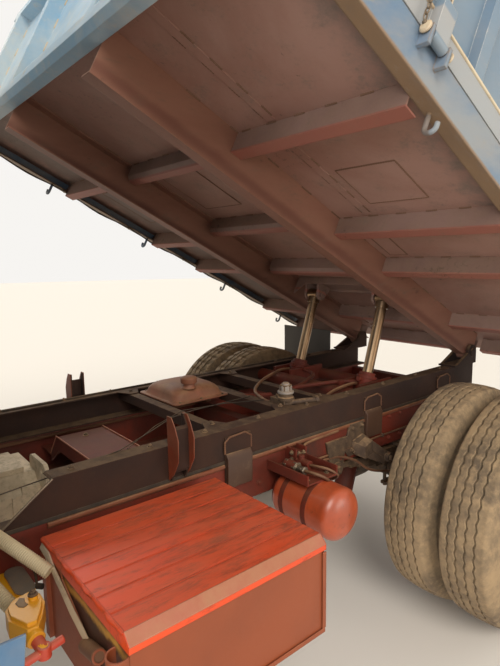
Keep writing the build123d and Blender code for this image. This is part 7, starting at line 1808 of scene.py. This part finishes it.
@dataclass
class CabTrim:
    """Handles, wipers, rubbers, lamps, mirrors and controls of the cab."""

    front_y: float = -2.491
    half_width: float = 1.075
    waist_z: float = 1.64
    rake: float = 150.0 / 780.0

    def screen_y(self, z: float) -> float:
        """Place of the windscreen's outer face at a height."""
        return self.front_y + max(0.0, z - self.waist_z) * self.rake

    def doors(self) -> None:
        """Fit handles and waist strips to the doors."""
        for body, side in ((Body.LEFT_DOOR, 1), (Body.RIGHT_DOOR, -1)):
            handle, strip = Workpiece(), Workpiece()
            x = side * self.half_width
            handle.flank(side, self.half_width,
                         [(-1.52, 1.488), (-1.385, 1.488), (-1.385, 1.545), (-1.52, 1.545)], 0.004)
            handle.pipe(
                [(x, -1.505, 1.518), (x + side * 0.022, -1.495, 1.52), (x + side * 0.03, -1.455, 1.52),
                 (x + side * 0.022, -1.412, 1.52), (x, -1.402, 1.518)], 0.009, 12, 5)
            handle.fit(f"handle_{body.value}", PLASTIC, "black_plastic", 0.0015, body=body)
            strip.side_plate(
                side, (self.half_width, -2.235, 1.648), (self.half_width + 0.006, -1.425, 1.664))
            strip.fit(f"waist_rubber_{body.value}", CABLE_BLACK, "black_plastic", 0.002, body=body)

    def screen(self) -> None:
        """Seat the windscreen's rubber and hang the wipers."""
        rubber, wiper = Workpiece(), Workpiece()
        corners = [(-0.96, 1.7), (0.96, 1.7), (0.96, 2.36), (-0.96, 2.36)]
        for (x0, z0), (x1, z1) in zip(corners, corners[1:] + corners[:1]):
            ends = ((x0, z0), ((x0 + x1) / 2, (z0 + z1) / 2), (x1, z1))
            rubber.pipe([(x, self.screen_y(z) - 0.002, z) for x, z in ends], 0.008, 10, 2)
        for x in (-0.62, 0.22):
            foot = Vector((x, self.screen_y(1.668) - 0.008, 1.668))
            tip = Vector((x + 0.3, self.screen_y(2.02) - 0.016, 2.02))
            wiper.rod(tuple(foot - Vector((0, 0.012, 0))), tuple(foot + Vector((0, 0.01, 0))), 0.014,
                      20, 0.002)
            wiper.pipe([tuple(foot), tuple(foot.lerp(tip, 0.5) - Vector((0, 0.01, 0))), tuple(tip)],
                       0.0045, 8, 4)
            low = Vector((x + 0.2, self.screen_y(1.76) - 0.014, 1.76))
            high = Vector((x + 0.4, self.screen_y(2.26) - 0.014, 2.26))
            wiper.pipe([tuple(low), tuple(low.lerp(high, 0.5)), tuple(high)], 0.0055, 8, 2)
        rubber.fit("screen_rubber", CABLE_BLACK, "black_plastic")
        wiper.fit("wipers", PLASTIC, "black_plastic")

    def lamps(self) -> None:
        """Ring the headlamps and set the indicators and rear lenses."""
        rings, amber, red = Workpiece(), Workpiece(), Workpiece()
        for side in SIDES:
            rings.lathe((side * 0.85, self.front_y - 0.01, 0.94), (0.0, -1.0, 0.0),
                        [(0.0, 0.08), (0.0, 0.101), (0.004, 0.103), (0.01, 0.098), (0.014, 0.088),
                         (0.012, 0.08)], 48, closed=True)
            amber.side_plate(
                side, (0.985, self.front_y - 0.012, 0.905), (1.05, self.front_y + 0.004, 0.975))
            red.side_plate(side, (0.443, 2.053, 0.718), (0.478, 2.062, 0.792))
            amber.side_plate(side, (0.482, 2.053, 0.718), (0.517, 2.062, 0.792))
        rings.fit("lamp_bezels", BRIGHT_STEEL, "lamp")
        amber.fit("amber_lenses", AMBER_LENS, "lamp", 0.003)
        red.fit("red_lenses", RED_LENS, "lamp", 0.003)

    def outside(self) -> None:
        """Add gutters, mirror glass, bumper bolts and mudflap bolts."""
        gutter, mirror = Workpiece(), Workpiece()
        for side in SIDES:
            gutter.pipe([(side * 1.066, -2.3, 2.388), (side * 1.079, -2.24, 2.402),
                         (side * 1.079, -1.55, 2.404), (side * 1.079, -0.83, 2.402)], 0.007, 8, 4)
            mirror.side_plate(side, (1.112, -2.3352, 1.748), (1.258, -2.3315, 2.032))
        gutter.fit("roof_gutters", CAB_BLUE, "cab_blue")
        mirror.fit("mirror_glass", PALE_CAP, "glass", 0.002)
        spots = [((x, -2.601, z), (0.0, -1.0, 0.0)) for x in (-0.88, -0.36, 0.36, 0.88)
                 for z in (0.54, 0.66)]
        Bolts.place("bumper_bolts", spots, 0.013, CAST_DARK, "black_plastic")
        spots = [((side * x, 1.966, 0.838), (0.0, -1.0, 0.0)) for side in SIDES
                 for x in (0.7, 0.885, 1.07)]
        Bolts.place("mudflap_bolts", spots, 0.01, CAST_DARK, "flap_rubber")

    def inside(self) -> None:
        """Add the gear lever, gauges, pedals and sun visors."""
        lever, gauges, visors = Workpiece(), Workpiece(), Workpiece()
        lever.lathe((0.055, -1.7, 1.16), UP,
                    [(0.0, 0.0), (0.0, 0.07), (0.03, 0.052), (0.055, 0.04), (0.085, 0.02),
                     (0.085, 0.0)], 28)
        lever.pipe([(0.055, -1.7, 1.22), (0.06, -1.715, 1.4), (0.075, -1.69, 1.56),
                    (0.085, -1.67, 1.64)], 0.008, 12, 6)
        lever.lathe((0.086, -1.667, 1.652), UP,
                    [(-0.024, 0.0), (-0.02, 0.014), (0.0, 0.024), (0.016, 0.018), (0.024, 0.0)], 24)
        for x in (0.42, 0.53, 0.64):
            lever.prism([(x - 0.035, -2.06, 1.3), (x + 0.035, -2.06, 1.3), (x + 0.035, -2.085, 1.375),
                         (x - 0.035, -2.085, 1.375)], (0.0, -0.008, -0.004))
            lever.pipe([(x, -2.08, 1.34), (x, -2.13, 1.36), (x, -2.15, 1.44)], 0.008, 10, 4)
        lever.fit("cab_controls", PLASTIC, "black_plastic", 0.001)
        for x in (0.47, 0.65):
            gauges.lathe((x, -2.1325, 1.575), (0.0, 1.0, 0.0),
                         [(0.0, 0.0), (0.0, 0.055), (0.008, 0.055), (0.008, 0.049), (0.004, 0.047),
                          (0.004, 0.0)], 40)
        gauges.fit("dash_gauges", PLASTIC, "trim_grey")
        for side in SIDES:
            visors.side_plate(side, (0.22, -2.27, 2.3), (0.8, -2.12, 2.318))
        visors.fit("sun_visors", TRIM_GREY, "trim_grey", 0.006)

    def build(self) -> None:
        """Dress the cab."""
        self.doors()
        self.screen()
        self.lamps()
        self.outside()
        self.inside()


@dataclass
class Seats:
    """Two seats, each a cushion and a back as sewn pads on a plain base."""

    spans: tuple[tuple[float, float], ...] = ((0.43, 0.977), (-0.977, -0.43))
    voxel: float = 0.007
    pressure: float = 4.0
    cap: float = 0.022
    inset: float = 0.016
    frames: int = 20

    def slab(self, low: Vector, high: Vector, lean: float) -> Workpiece:
        """A slab with rounded corners, leaned back by a shift at its top."""
        work = Workpiece()
        half, middle = (high - low) / 2, (high + low) / 2
        bmesh.ops.create_cube(work.mesh, size=2.0)
        bmesh.ops.subdivide_edges(work.mesh, edges=work.mesh.edges[:], cuts=6, use_grid_fill=True)
        for vert in work.mesh.verts:
            shape = vert.co.copy()
            pull = 1.0 - 0.05 * sum(abs(value) ** 6 for value in shape)
            vert.co = Vector(m + s * h * pull for m, s, h in zip(middle, shape, half))
            vert.co.y += lean * (vert.co.z - low.z) / (high.z - low.z)
        return work

    def pad(self, name: str, low: Vector, high: Vector, lean: float) -> bpy.types.Object:
        """Blow one pad up with cloth pressure.

        Args:
            name: the pad's name.
            low: lowest corner of the space it may take.
            high: highest corner of that space.
            lean: how far back its top goes.

        Returns:
            The pad.
        """
        inset = Vector((self.inset,) * 3)
        piece = self.slab(low + inset, high - inset, lean).fit(name, SEAT_CLOTH, "seat_fabric")
        before = piece.modifiers.new("remesh", "REMESH")
        before.mode = "VOXEL"
        before.voxel_size = self.voxel
        self.bake(piece)
        start = [vert.co.copy() for vert in piece.data.vertices]
        cloth = piece.modifiers.new("cloth", "CLOTH")
        cloth.settings.use_pressure = True
        cloth.settings.uniform_pressure_force = self.pressure
        cloth.settings.effector_weights.gravity = 0.0
        for frame in range(1, self.frames + 1):
            bpy.context.scene.frame_set(frame)
        self.bake(piece)
        for vert, place in zip(piece.data.vertices, start):
            shift = vert.co - place
            if shift.length > self.cap:
                shift *= self.cap / shift.length
            spot = place + shift
            back = lean * (spot.z - low.z) / (high.z - low.z)
            vert.co = Vector(
                (min(max(spot.x, low.x), high.x), min(max(spot.y, low.y + back), high.y + back),
                 min(max(spot.z, low.z), high.z)))
        bpy.context.scene.frame_set(1)
        smooth = piece.modifiers.new("smooth", "SUBSURF")
        smooth.levels = 1
        smooth.render_levels = 1
        self.bake(piece)
        piece.data.shade_smooth()
        return piece

    def bake(self, piece: bpy.types.Object) -> None:
        """Apply every modifier of a piece."""
        shown = piece.evaluated_get(bpy.context.evaluated_depsgraph_get())
        data = bpy.data.meshes.new_from_object(shown)
        old = piece.data
        piece.modifiers.clear()
        piece.data = data
        data.name = old.name

    def build(self) -> None:
        """Make both seats and leave out the plain ones."""
        bases, seams, pads = Workpiece(), Workpiece(), []
        for number, (x0, x1) in enumerate(self.spans):
            bases.plate((x0 + 0.02, -1.548, 1.1635), (x1 - 0.02, -1.095, 1.395))
            bases.prism([(x0 + 0.03, -1.09, 1.42), (x0 + 0.03, -1.0, 1.42), (x0 + 0.03, -0.892, 2.095),
                         (x0 + 0.03, -0.915, 2.095)], (x1 - x0 - 0.06, 0.0, 0.0))
            side = ("left", "right")[number]
            pads.append(self.pad(f"seat_cushion_{side}", Vector((x0 + 0.004, -1.557, 1.392)),
                                 Vector((x1 - 0.004, -1.092, 1.529)), 0.0))
            pads.append(self.pad(f"seat_back_{side}", Vector((x0 + 0.004, -1.09, 1.54)),
                                 Vector((x1 - 0.004, -0.99, 2.105)), 0.096))
            for y in (-1.44, -1.33, -1.22):
                seams.pipe([(x0 + 0.04, y, 1.529), ((x0 + x1) / 2, y, 1.53), (x1 - 0.04, y, 1.529)],
                           0.0025, 6, 2)
        base = bases.fit("seat_bases", PLASTIC, "black_plastic", 0.006)
        seams.fit("seat_seams", CABLE_BLACK, "seat_fabric")
        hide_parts("seats")


@dataclass
class Studio:
    """Camera, floor, lights and surroundings."""

    eye: Point = (1.948, -0.961, 1.637)
    yaw: float = math.radians(50.266)
    pitch: float = math.radians(8.271)
    roll: float = math.radians(-0.824)
    lens: float = 28.227
    sensor: float = 36.0
    floor_radius: float = 40.0
    lamp_angle: float = math.radians(32)

    def camera(self) -> None:
        """Set the camera where the photograph was taken."""
        ahead = Vector((-math.sin(self.yaw) * math.cos(self.pitch),
                        math.cos(self.yaw) * math.cos(self.pitch), -math.sin(self.pitch)))
        right = Vector((math.cos(self.yaw), math.sin(self.yaw), 0.0))
        up = right.cross(ahead)
        across = right * math.cos(self.roll) + up * math.sin(self.roll)
        above = up * math.cos(self.roll) - right * math.sin(self.roll)
        data = bpy.data.cameras.new("photo_camera")
        data.lens = self.lens
        data.sensor_width = self.sensor
        data.clip_start = 0.01
        data.clip_end = 200.0
        eye = put("photo_camera", data)
        turn = Matrix((across, above, -ahead)).transposed().to_4x4()
        eye.matrix_world = Matrix.Translation(self.eye) @ turn
        bpy.context.scene.camera = eye

    def floor(self) -> None:
        """Lay a wide floor."""
        work = bmesh.new()
        bmesh.ops.create_circle(work, cap_ends=True, radius=self.floor_radius, segments=96)
        data = bpy.data.meshes.new("studio_floor")
        work.to_mesh(data)
        work.free()
        data.materials.append(Plain("pale_floor", (0.8, 0.76, 0.7)).material())
        put("studio_floor", data)

    def lamp(self, name: str, place: Point, target: Point, power: float, colour: Colour) -> None:
        """Light everything evenly and softly from one side.

        Args:
            name: the lamp's name.
            place: a point that the light comes from.
            target: a point that it goes to.
            power: light on a surface that faces it, in watts per square metre.
            colour: the light's colour.
        """
        data = bpy.data.lights.new(name, "SUN")
        data.angle = self.lamp_angle
        data.energy = power
        data.color = colour
        lamp = put(name, data)
        lamp.location = place
        lamp.rotation_euler = (Vector(target) - Vector(place)).to_track_quat("-Z", "Y").to_euler()

    def surroundings(self) -> None:
        """Light the world evenly, and show it paler to the camera, through glass too."""
        world = bpy.data.worlds.new("pale_world")
        bpy.context.scene.world = world
        world.use_nodes = True
        world.node_tree.nodes.clear()
        sheet = NodeSheet(world.node_tree)
        path = sheet.tree.nodes.new("ShaderNodeLightPath")
        rays = [Wire(sheet, path.outputs[kind]) for kind in ("Is Camera Ray", "Is Transmission Ray")]
        seen = rays[0].most(rays[1])
        ambient = sheet.add(
            "ShaderNodeBackground", None, {"Color": (1.0, 0.95, 0.87), "Strength": 0.68})
        shown = sheet.add("ShaderNodeBackground", None, {"Color": (0.93, 0.91, 0.88), "Strength": 1.0})
        both = sheet.add("ShaderNodeMixShader", None, {0: seen, 1: ambient, 2: shown})
        sheet.add("ShaderNodeOutputWorld", None, {"Surface": both})

    def build(self) -> None:
        """Set everything round the object."""
        self.camera()
        self.floor()
        self.lamp("key_lamp", (6.5, -3.0, 6.0), (0.3, 0.2, 0.9), 1.75, (1.0, 0.95, 0.88))
        self.lamp("side_lamp", (6.0, 3.5, 1.6), (0.0, 0.8, 1.2), 0.9, (1.0, 0.93, 0.84))
        self.lamp("ground_lamp", (2.6, -5.6, 1.9), (0.0, 0.8, 1.6), 2.1, (0.9, 0.95, 1.0))
        self.lamp("back_lamp", (-6.0, 2.0, 5.0), UP, 0.9, (1.0, 0.97, 0.93))
        self.surroundings()
        bpy.context.scene.view_settings.view_transform = "Standard"


def main() -> None:
    """Build the truck's looks in order."""
    logging.basicConfig(level=logging.INFO, format="%(name)s: %(message)s")
    Studio().build()
    coat_cad_nodes()
    for assembly in (Rubber(), Underside(), GateTrim(), SubframeTrim(), FrameTrim(), SideEquipment(),
                     WheelTrim(), CabTrim(), Seats()):
        log.info("building %s", type(assembly).__name__)
        assembly.build()


if __name__ == "__main__":
    main()
